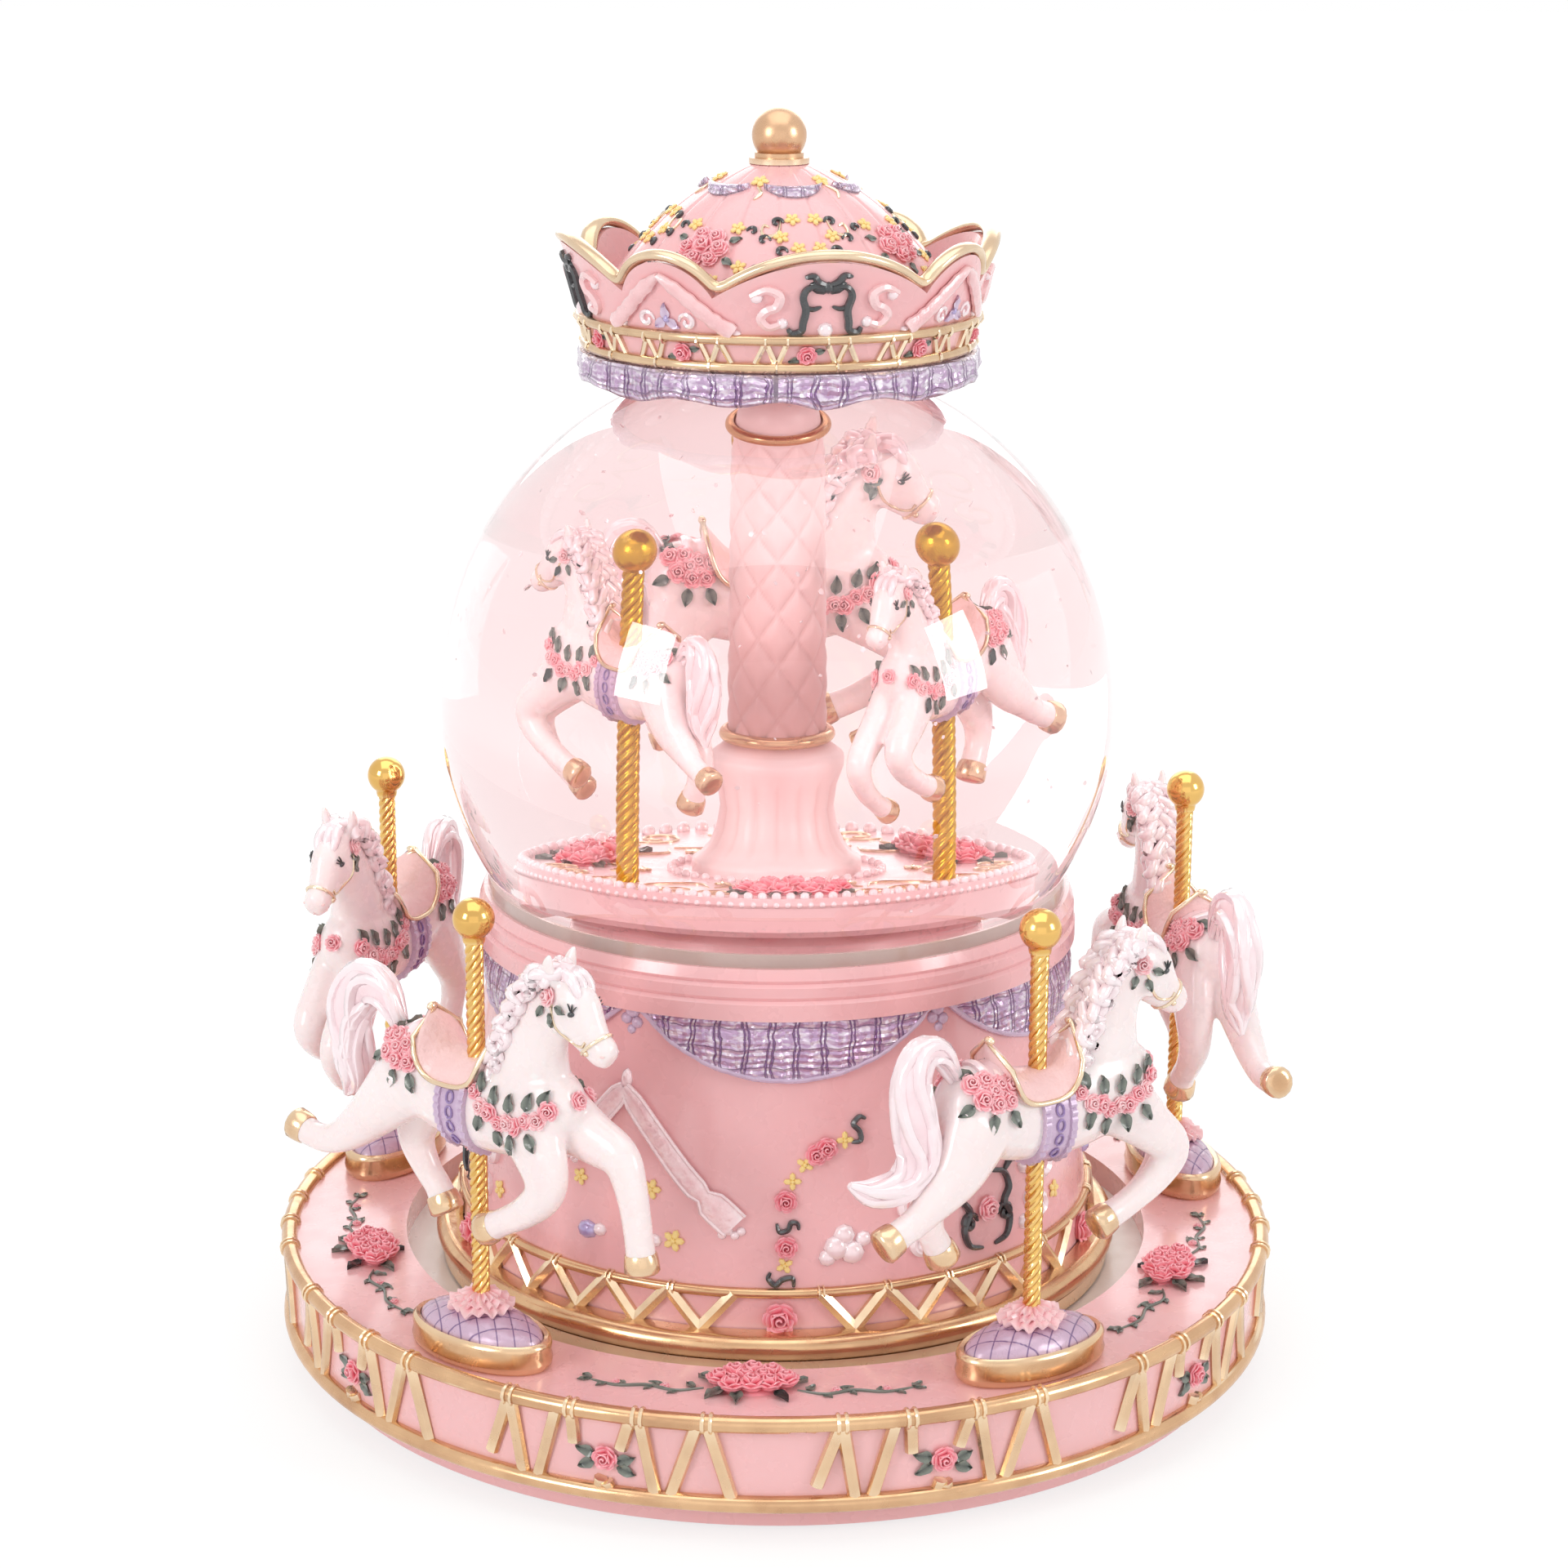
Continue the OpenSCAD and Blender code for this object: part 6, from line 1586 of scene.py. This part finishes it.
    def cloth(self) -> None:
        """Draped lilac swags under the collar, each with a rolled lower hem."""
        wall = self.skin()
        arc_r = (self.swag_half**2 + self.swag_drop**2) / (2 * self.swag_drop)
        top = wall.length_at(self.collar_z)
        x = np.linspace(-self.swag_half, self.swag_half, 49)
        drop = np.maximum(self.swag_drop - arc_r + np.sqrt(np.maximum(arc_r**2 - x**2, 0)), 0.15)
        pleat = 0.16 * np.sin(x * 1.1) + 0.12 * np.sin(x * 2.7 + 1)
        t = np.linspace(0, 1, 9)[:, None]
        bulk = 0.45 + np.sin(pi * (0.15 + 0.75 * t)) * np.minimum(1, drop / 4) + pleat * t
        front = np.stack([x + 0 * t, 0.5 - (drop + 0.5) * t, bulk], axis=-1)
        cloth = draped(front, np.concatenate([front, front[::-1]])[..., :2] * [1, -1])
        edge = tube(np.stack([x, 0.1 - drop, 0.5 + pleat], axis=1), [[0.42, 0.5]], 8)
        edge.uv[:] = 2
        ring_of("drum_swag_cloth", wall.lay(cloth, 0, top), LILAC, self.swags, self.first_swag, ("drum_swags",), 60)
        ring_of("drum_swag_hems", wall.lay(edge, 0, top), LILAC_TRIM, self.swags, self.first_swag)
        knots = Basket(wall, self.neck_r, top)
        for x, y, size in ((0, -0.6, 1.2), (-0.9, -1.9, 0.9), (0.8, -2.3, 0.9), (0, -3.4, 0.7)):
            knots.lay(LILAC_TRIM, ball((1, 1, 0.8)), x, y, size)
        knots.rings("drum_swag_knots", self.swags, self.first_swag + 30)

    def build(self) -> None:
        """Builds all of the drum."""
        dress(PINK, "drum_shell")
        dress(GILT, "drum_moulding")
        self.zigzag()
        self.relief()
        self.cloth()


@dataclass
class Globe:
    """The glass globe with its liquid and the flakes that float in it."""

    centre: float = 99.6
    radius: float = 50.0
    neck_r: float = 28.3
    neck_z: float = read_off("glass_globe", 0, 2)
    seat_z: float = read_off("drum_shell", 1, 2)
    flakes: int = 160
    seed: int = 7

    def build(self) -> None:
        """Builds the globe as one ball, and the flakes."""
        dress(STOPPER, "globe_stopper")
        low = acos((self.centre - self.neck_z) / self.radius)
        profile = [(0, self.neck_z), (self.neck_r * 0.5, self.neck_z)] + arc(self.radius, self.centre, low, 90)
        glass = make_piece("globe_glass_and_liquid", revolve(profile, 160), GLASS, ("glass_globe",), 50)
        glass.visible_shadow = False
        seat_z, lip = self.seat_z, 1.9
        touch_r, upper_r = (sqrt(self.radius**2 - (self.centre - z) ** 2) for z in (seat_z, seat_z + lip))
        bead = [(touch_r - 0.4, seat_z - 0.3), (touch_r + 1.9, seat_z - 0.3), (touch_r + 1.9, seat_z + 0.3),
                (upper_r + 0.5, seat_z + lip), (upper_r - 0.3, seat_z + lip), (touch_r - 0.4, seat_z - 0.3)]
        make_piece("globe_seal", revolve(bead, 120), SEALANT)
        draw = np.random.default_rng(self.seed)
        shapes = []
        while len(shapes) < self.flakes:
            place = draw.uniform(-1, 1, 3)
            size = draw.uniform(0.2, 0.5)
            flip = turn_z(draw.uniform(0, 360)) @ np.array([[1, 0, 0], [0, 0.5, -0.86], [0, 0.86, 0.5]])
            if np.linalg.norm(place) > 1:
                continue
            spot = place * (self.radius - 5) + [0, 0, self.centre]
            if spot[2] > 108 or np.hypot(spot[0], spot[1]) > 36:
                shapes.append(ball((size, size, 0.08), rings=3, sides=5).placed(flip, spot))
        make_piece("globe_flakes", join(shapes), PEARL)


@dataclass
class Stage:
    """What stands in the globe: the stage, its column and three horses on twisted poles."""

    top: float = read_off("stage", 1, 2)
    radius: float = read_off("stage", 1, 0)
    column_r: float = 5.3
    column_top: float = read_off("column", 1, 2)
    pole_circle: float = 21.0
    azimuths: tuple[float, ...] = (65, 185, 305)
    bunch_circle: float = 20.0
    pole_radius: float = 1.4
    twist: float = 7.4
    ball_radius: float = 2.8
    ball_top: float = read_off("inner_poles", 1, 2)
    horse_height: float = 104.04
    horse_size: float = 38 / 58 * 1.06

    def column(self) -> None:
        """The column: a fluted vase foot, a quilted shaft and a rounded cap."""
        foot = [(0, 0), (9, 0), (9.1, 0.7), (9, 1.4), (8.2, 1.9), (7.2, 3), (6.5, 4.6), (6.1, 7), (6.5, 9.6),
                (7.2, 11.4), (7.3, 12.2), (7.2, 12.8), (6.2, 13.6)]
        shaft_low, shaft_high = 14.3, self.column_top - self.top - 6.5
        shaft = [(self.column_r, z) for z in np.linspace(shaft_low, shaft_high, 120)]
        cap = [((self.column_r - 0.3) * cos(a), shaft_high + 1.5 + 5 * sin(a)) for a in np.linspace(0, pi / 2, 12)]
        profile = [(r, z + self.top) for r, z in foot + shaft + cap]

        def carve(outline: np.ndarray, angle: np.ndarray) -> np.ndarray:
            """Flutes on the foot and a buttoned quilting on the shaft."""
            r, z = outline[:, :1], outline[:, 1:] - self.top
            flutes = 0.32 * np.abs(np.sin(angle * 8))[None] * ((z > 2.4) & (z < 10.6))
            around, high = angle[None] * 7 / (2 * np.pi), (z - shaft_low) / 6.2
            seam = np.minimum(np.abs((around + high) % 1 - 0.5), np.abs((around - high + 50) % 1 - 0.5))
            quilt = 0.5 * np.sqrt(np.clip(seam / 0.28, 0, 1)) - 0.36
            quilt = quilt * ((z > shaft_low + 0.6) & (z < shaft_high - 0.4))
            return r + flutes + quilt - 0.25 * ((z > 2.4) & (z < 10.6))

        make_piece("column_body", revolve(profile, 168, carve), COLUMN_PINK, ("column",), 60)

    def floor(self) -> None:
        """Pearl rows, gilt scrolls and bunches of roses on the stage."""
        bead_ring("stage_pearls_outer", PEARL, 96, self.radius - 0.7, self.top + 0.2, 0.62)
        bead_ring("stage_pearls_low", PEARL, 120, self.radius - 0.15, self.top - 0.9, 0.42)
        bead_ring("stage_pearls_inner", PEARL, 40, 11.2, self.top + 0.2, 0.5)
        floor_skin = Skin([(self.radius, self.top), (2, self.top)])
        gilding, flowers = Basket(floor_skin), Basket(floor_skin, self.bunch_circle, 7)
        for side in (-1, 1):
            gilding.lay(FINE_GILT, strand(curl(2.6, 1.3), 0.2, 0.5, hand=side), 0, 4)
            gilding.lay(FINE_GILT, strand([(0.5, 9), (3.5, 11), (7, 10), (9.5, 6.5), (9, 3.5)], 0.2, 0.5, hand=side),
                        0, 0.5)
        gilding.lay(FINE_GILT, blossom(), 0, 13)
        gilding.rings("stage_gilding", 6, 35)
        flowers.bunch([(-5.2, 0, 1.9), (-2.6, 1.4, 2.3), (0.4, 1.8, 2.4), (3.4, 1.2, 2.2), (5.6, 0, 1.9),
                       (-1.2, -1.4, 2), (1.8, -1.4, 2), (4, -1.8, 1.6), (-3.6, -1.8, 1.7)],
                      [(-4.8, -1.2, 2.8, 120), (-1.8, -2.6, 2.6, 170), (1, -2.8, 2.6, 190), (4.4, -1.2, 2.8, -110),
                       (5.2, 1.2, 2.6, -70), (-5.4, 1.4, 2.6, 70)])
        flowers.rings("stage_flowers", 3, 5)

    def poles(self) -> None:
        """Twisted poles with balls, in the deeper gold of the globe."""
        ball_z = self.ball_top - self.ball_radius
        height = ball_z - self.top - 1
        knob = revolve(arc(self.ball_radius, ball_z, 0, 24), 36)
        parts = []
        for k, azimuth in enumerate(self.azimuths):
            shift = stand(azimuth, self.pole_circle, 0)[1]
            foot = shift + [0, 0, self.top]
            parts += [rope(f"inner_rope_{k + 1}", GLOBE_GOLD, foot, height, self.pole_radius, height / self.twist),
                      knob.placed(np.eye(3), shift)]
        make_piece("inner_ropes", join(parts), GLOBE_GOLD, ("inner_poles",), 60)

    def build(self) -> None:
        """Builds all that the globe holds."""
        dress(PALE_PINK, "stage")
        dress(GILT, "column_rings")
        self.column()
        self.floor()
        self.poles()
        places = [stand(azimuth, self.pole_circle, self.horse_height, True, self.horse_size)
                  for azimuth in self.azimuths]
        herd("inner", [Horse(gait=Gait.INNER, voxel=0.5).build()] * len(places), places)


@dataclass
class Crown:
    """The crown on the globe: a scalloped wall, a ribbed dome, a cloth frill and a finial."""

    band_z: float = 152.4
    band_r: float = 27.4
    rim_r: float = 32.0
    wall: float = 2.2
    peak: float = read_off("crown_rim", 1, 2)
    frill_out: float = 1.6
    dome_r: float = 24.9
    dome_top: float = 177.8
    dome_top_r: float = 4.0
    dome_mid_r: float = 17.5
    relief_r: float = 29.0
    peak_a: float = 12.8
    valley_drop: float = 4.6
    small_drop: float = 0.5
    ribs: int = 18

    def skin(self) -> Skin:
        """The outside of the crown's wall."""
        bend = (self.band_r + 1.4, (self.band_z + self.peak) / 2)
        return Skin(bow((self.band_r, self.band_z), bend, (self.rim_r, self.peak), 13))

    def dome_skin(self) -> Skin:
        """The outside of the dome."""
        bend = (self.dome_r - 8.9, self.dome_top - 4)
        return Skin(bow((self.dome_r, self.band_z + 8), bend, (self.dome_top_r, self.dome_top), 33))

    def edge_height(self, azimuth: np.ndarray) -> np.ndarray:
        """The height of the scalloped edge at azimuths in degrees."""
        best = np.full(azimuth.shape, self.peak - self.valley_drop)
        large, small = self.rim_r * sin(radians(27.5)), self.rim_r * sin(radians(14.3))
        for first, half, drop in ((self.peak_a, large, 0), (self.peak_a + 45, small, self.small_drop)):
            rise = self.valley_drop - drop
            bend = (half**2 + rise**2) / (2 * rise)
            off = np.abs((azimuth - first + 45) % 90 - 45)
            x = self.rim_r * np.sin(np.radians(off))
            best = np.maximum(best, self.peak - drop - bend + np.sqrt(np.clip(bend**2 - x**2, 0, None)))
        return best

    def rim(self) -> None:
        """The thick gilt edge along the scallops."""
        azimuth = np.linspace(0, 360, 240, endpoint=False)
        height = self.edge_height(azimuth) - 0.55
        height = (np.roll(height, 1) + 2 * height + np.roll(height, -1)) / 4
        wall = self.skin()
        radius = np.interp(height, wall.profile[:, 1], wall.profile[:, 0]) - self.wall / 2 + 0.1
        angle = np.radians(azimuth)
        path = np.stack([radius * np.sin(angle), -radius * np.cos(angle), height], axis=1)
        make_piece("crown_gilt_edge", tube(path, [[1.3, 0.8]], 12, closed=True), FINE_GILT, ("crown_rim",), 60)

    def band(self) -> None:
        """The trellis between the two rails of the band, with its roses."""
        basket, flowers = Basket(self.skin()), Basket(self.skin(), self.band_r)
        low, high = 0.4, 4
        degree = radians(1) * self.band_r
        for low_a, top_a in ((-15, -11.5), (-8.5, -11.5), (-8.5, -5.5), (8.5, 5.5), (8.5, 11.5), (15, 11.5)):
            basket.lay(FINE_GILT, strut((low_a * degree, low), (top_a * degree, high), (0.2, 0.25, 0.3), (0.42, 0.5)))
        for knot, up in ((-11.5, high), (-5.5, high), (5.5, high), (11.5, high), (-8.5, low), (8.5, low)):
            basket.lay(FINE_GILT, hoop((0, up, 0.3), (0.8, 0.95), 9, 0.22), knot)
        flowers.bunch([(0, 2, 1.5)], [(-1, 1.4, 1.6, 100), (1, 2.4, 1.6, -80)])
        basket.rings("crown_trellis", 10, 8)
        flowers.rings("crown_trellis_flowers", 10, 8)

    def wall_relief(self) -> None:
        """Ribbons from the small peaks, scrolls and bows under the large ones."""
        basket = Basket(self.skin())
        lay = basket.lay
        dot = ball((1, 1, 0.8))
        spiral = [(9.6, 10.6), (7.6, 11.6), (6, 10.8), (6.4, 9.2), (7.6, 8.6), (8.4, 7.4), (7.4, 6.2), (5.8, 6.6)]
        bow_leg = [(0.4, 11.9), (2.3, 11.9), (3.1, 10.6), (2.7, 8.6), (3, 6.8), (3.2, 5.6), (4.4, 5.2), (4.9, 5.9)]
        for side in (-1, 1):
            arm = smooth_line([(0, 13.2, 0.4), (side * 3.2, 10.4, 0.5), (side * 6.4, 7.4, 0.5),
                               (side * 9.4, 5.2, 0.4)], 5)
            ripple = 1 + 0.12 * np.sin(2.4 * np.arange(len(arm)))
            widths = taper(arm, [0, 0.15, 0.8, 1], [0.5, 1.3, 1.5, 1.7]) * ripple
            lay(RIBBON, tube(arm, np.stack([widths * 0.75, widths * 0 + 0.65], axis=1), 10), 45)
            for k in range(3):
                lay(PEARL, dot, 45 + degrees(side * (8.2 + 1.1 * k) / self.relief_r), 5.4 - 0.3 * k, 0.75)
            lay(RIBBON, strand(spiral, 0.72, 0.6, 1.1, hand=side))
            lay(PEARL, dot, side * degrees(9.4 / self.relief_r), 10.4, 0.95)
            lay(PEARL, dot, side * degrees(6 / self.relief_r), 6.6, 0.85)
            lay(INK, strand(bow_leg, 0.56, 0.5, 1.2, hand=side))
            lay(INK, strand([(0.1, 12.2), (1.2, 12.7), (1.9, 13.6), (2.9, 13.4)], 0.5, 0.5, 1.2, hand=side))
            lay(INK, strand([(2.9, 9.2), (1.9, 8.7), (0.7, 9)], 0.36, 0.4, 1.2, hand=side))
            lay(INK, ball((1.5, 0.95, 0.6)), side * degrees(1.2 / self.relief_r), 11.8, 1, side * 24)
            lay(PEARL, strand(curl(1.3, 1.1), 0.4, 0.4, 1.1, hand=side), 45 + side * 4, 6.4)
        lay(INK, ball((0.8, 0.9, 0.8)), 0, 11.8)
        lay(PEARL, dot, 0, 5.6, 1.15)
        for turn in (0, 120, 240):
            lay(LILAC_TRIM, leaf(), 45, 6.6, 2.4, turn)
        lay(LILAC_GEM, dot, 45, 6.6, 0.6)
        basket.rings("crown_relief", 4, self.peak_a)

    def dome(self) -> None:
        """The ribbed dome with small swags, flowers, scrolls and bunches of roses."""
        skin = self.dome_skin()
        profile = [(0, self.band_z + 2), (self.dome_r - 2, self.band_z + 2), (self.dome_r, self.band_z)] \
            + [(self.dome_r, z) for z in np.linspace(self.band_z + 1, self.band_z + 7, 4)] + list(skin.profile) \
            + [(0, self.dome_top)]

        def ribbed(outline: np.ndarray, angle: np.ndarray) -> np.ndarray:
            """Fine lines sunk between broad ribs."""
            r = outline[:, :1]
            groove = np.exp(-(((angle * self.ribs / (2 * np.pi) + 0.5) % 1 - 0.5) / 0.06) ** 2)[None]
            return r - 0.32 * groove * np.clip(r / 8, 0, 1) * (outline[:, 1:] > self.band_z + 0.5)

        make_piece("dome_ribbed", revolve(profile, 360, ribbed), PINK, ("crown_dome",), 60)
        high = skin.length_at(self.dome_top)
        top, sides, fronts = Basket(skin), Basket(skin, self.dome_mid_r), Basket(skin, self.dome_mid_r)
        half = 4.2
        x = np.linspace(-half, half, 17)
        t = np.linspace(0, 1, 5)[:, None]
        drop = 2.2 * (1 - (x / half) ** 2) + 0.3
        front = np.stack([x + 0 * t, 0.3 - drop * t, 0.3 + 0.55 * np.sin(pi * t) + 0 * x], axis=-1)
        top.lay(LILAC, draped(front, np.concatenate([front, front])[..., :2] * 1.6), 12, high - 6.6)
        top.lay(YELLOW, blossom(), -18, high - 5, 1.3)
        top.lay(FINE_GILT, strand([(0, 0), (0.8, -1.6), (0.2, -3)], 0.26, 0.5), -18, high - 6.2)
        top.rings("dome_top", 6)
        sides.bunch([(0, 9.2, 1.9), (-2.3, 8.8, 1.6), (2.2, 9, 1.6), (-1, 11, 1.5), (1.3, 10.8, 1.5), (-0.6, 7.2, 1.5),
                     (1.5, 7.2, 1.3)],
                    [(-3.2, 7.6, 2, 120), (3, 7.4, 2, -120), (0.2, 5.7, 1.9, 180), (-3.4, 10.2, 1.9, 70),
                     (3.2, 10.4, 1.9, -70)], ROSE)
        for x, y in ((-5.4, 6.4), (5.2, 6.2), (-3.6, 13), (3.8, 12.8), (-1.6, 4.4), (2.4, 3.8)):
            hand = 1 if x > 0 else -1
            sides.lay(YELLOW, blossom(), x, y, 1.15, 20 * x)
            sides.lay(INK, strand(curl(0.8, 0.8, hand), 0.3, 0.4, 1.2), x + 1.4 * hand, y - 0.4)
        sides.rings("dome_sides", 4, self.peak_a + 45)
        scroll = [(5.2, 14.6), (5.8, 12.2), (7.6, 11.4), (9, 12), (8.8, 13.4), (7.6, 13.2)]
        for side in (-1, 1):
            for x, y in ((1.8, 14.6), (3.6, 11.4), (1.4, 9.4)):
                fronts.lay(YELLOW, blossom(), side * x, y, 1.15, 30 * x)
                fronts.lay(INK, strand(curl(0.9, 0.8, side), 0.32, 0.4, 1.2), side * (x + 1.4), y - 0.6)
            fronts.lay(FINE_GILT, strand(scroll, 0.3, 0.5, hand=side))
        fronts.rings("dome_fronts", 4, self.peak_a)

    def frill(self) -> None:
        """The woven frill that hangs below the band in soft waves."""
        lobes, sides = 11, 280
        angle = full_turn(sides)
        wave = np.cos(angle * lobes + 0.9 * np.sin(3 * angle)) * (1.25 + 0.35 * np.sin(5 * angle))
        small = 0.15 * np.sin(angle * 41 + 1)
        out = self.frill_out
        section = [(0.1, 4.1, 0), (out - 0.2, 4.1, 0.2), (out + 0.2, 3.2, 0.45), (out + 0.1, 2, 0.6),
                   (out + 0.15, 0.8, 0.8), (out - 0.3, -0.1, 0.8), (out - 1.1, -0.2, 0.5), (0.1, 0.7, 0)]
        base_z = self.band_z - 4.8
        rows, pairs = [], []
        for k, (reach, up, share) in enumerate(section + section[:1]):
            radius = self.band_r + reach + share * (0.8 * wave + small)
            height = base_z + up + (0.5 * wave if up < 1 else 0)
            rows.append(np.stack([radius * np.sin(angle), -radius * np.cos(angle), height + 0 * angle], axis=-1))
            pairs.append(np.stack([angle * self.band_r, 1.1 * k + 0 * angle], axis=-1))
        make_piece("crown_frill_cloth", grid(np.array(rows), capped=False, uv=np.array(pairs)), LILAC,
                   ("crown_frill",), 60)

    def build(self) -> None:
        """Builds all of the crown."""
        dress(PINK, "crown_shell")
        dress(FINE_GILT, "crown_rails")
        dress(FINIAL_GILT, "finial")
        self.rim()
        self.band()
        self.wall_relief()
        self.dome()
        self.frill()


def seen_directly(w: Wiring) -> Socket:
    """1 for the rays of the camera, and for those through glass or off a mirror; 0 for the rest."""
    rays = w.add("ShaderNodeLightPath").outputs
    through = w.maths("MAXIMUM", rays["Is Glossy Ray"], rays["Is Transmission Ray"])
    return w.maths("MAXIMUM", rays["Is Camera Ray"], through)


@dataclass(frozen=True)
class Backdrop(Finish):
    """A floor that looks white to the camera, to mirrors and to glass, and keeps a shadow."""

    def wire(self, w: Wiring, shader: Node) -> None:
        """Feeds the shader a grey for the light, and a glow for what sees it."""
        seen = seen_directly(w)
        grey = w.ranged(seen, 0, 1, 0.9, 0.3)
        away = w.add("ShaderNodeVectorMath", {0: w.place()}, operation="LENGTH").outputs[1]
        w.feed(shader, {
            "Base Color": w.get("ShaderNodeCombineXYZ", {0: grey, 1: grey, 2: grey}),
            "Roughness": 0.9, "Specular IOR Level": 0, "Emission Color": linear(self.colour),
            "Emission Strength": w.maths("MULTIPLY", seen, w.ranged(away, 0.2, 0.9, 0.74, 0.9))})


@dataclass
class Studio:
    """The camera, the pale floor and the soft lights."""

    eye: tuple[float, float, float] = (0, -504.3, 224.2)
    pitch: float = 15.306
    yaw: float = 0.12
    roll: float = 0.241
    lens: float = 80.49
    floor_half: float = 4000.0
    target: tuple[float, float, float] = (0, 0, 95)

    def camera(self) -> None:
        """Stands the camera in front of the object, looking a little down."""
        pitch, yaw, roll = (radians(x) for x in (self.pitch, self.yaw, self.roll))
        ahead = np.array([sin(yaw) * cos(pitch), cos(yaw) * cos(pitch), -sin(pitch)])
        level = np.array([cos(yaw), -sin(yaw), 0])
        above = np.cross(level, ahead)
        right = level * cos(roll) + above * sin(roll)
        up = above * cos(roll) - level * sin(roll)
        lens = bpy.data.cameras.new("camera")
        lens.lens, lens.sensor_width = self.lens, 36
        lens.clip_start, lens.clip_end = 0.01, 20
        holder = add_object("camera", lens)
        columns = np.stack([right, up, -ahead, np.array(self.eye) * MM], axis=1)
        holder.matrix_world = Matrix([*columns.tolist(), (0, 0, 0, 1)])
        bpy.context.scene.camera = holder

    def lamp(self, name: str, place: Row, size: tuple[float, float], power: float) -> None:
        """Hangs a soft box of a size in metres at a place in millimetres, turned to the object's middle."""
        light = bpy.data.lights.new(name, "AREA")
        light.shape, light.size, light.size_y, light.energy = "RECTANGLE", *size, power
        holder = add_object(name, light)
        holder.location = Vector(place) * MM
        holder.rotation_euler = (Vector(self.target) - Vector(place)).to_track_quat("-Z", "Y").to_euler()

    def floor(self) -> None:
        """A pale floor that keeps the object's soft shadow."""
        half = self.floor_half
        shape = Shape(np.array([(-half, -half, 0), (half, -half, 0), (half, half, 0), (-half, half, 0)], float),
                      [np.array([[0, 1, 2, 3]])], np.zeros((4, 2)))
        thing = add_object("floor", build_mesh("floor", shape))
        thing.data.materials.append(Backdrop("floor_paint", "floor", 0xFFFFFF).material())

    def world(self) -> None:
        """A plain grey sky that looks white to the camera, to mirrors and to glass."""
        sky = bpy.data.worlds.new("studio_sky")
        bpy.context.scene.world = sky
        sky.use_nodes = True
        w = Wiring(sky.node_tree)
        strength = w.ranged(seen_directly(w), 0, 1, 0.5, 1)
        w.feed(sky.node_tree.nodes["Background"], {"Color": (1, 1, 1, 1), "Strength": strength})

    def build(self) -> None:
        """Sets up the camera, the floor, the sky and the lamps."""
        bpy.context.scene.view_settings.view_transform = "Standard"
        self.camera()
        self.floor()
        self.world()
        self.lamp("key_left", (-620, -590, 400), (0.26, 0.35), 2.3)
        self.lamp("key_right", (780, -370, 375), (0.26, 0.35), 2.1)
        self.lamp("front", (60, -980, 240), (0.9, 0.6), 0.45)
        self.lamp("overhead", (0, -60, 820), (0.8, 0.8), 2.2)
        self.lamp("back", (0, 700, 420), (0.7, 0.5), 1.6)


def main() -> None:
    """Builds the studio and the sub-assemblies in order."""
    logging.basicConfig(level=logging.INFO, format="%(message)s")
    Studio().build()
    Movement().dress()
    Drum().build()
    TurningRing().build()
    Stage().build()
    Globe().build()
    Crown().build()


if __name__ == "__main__":
    main()
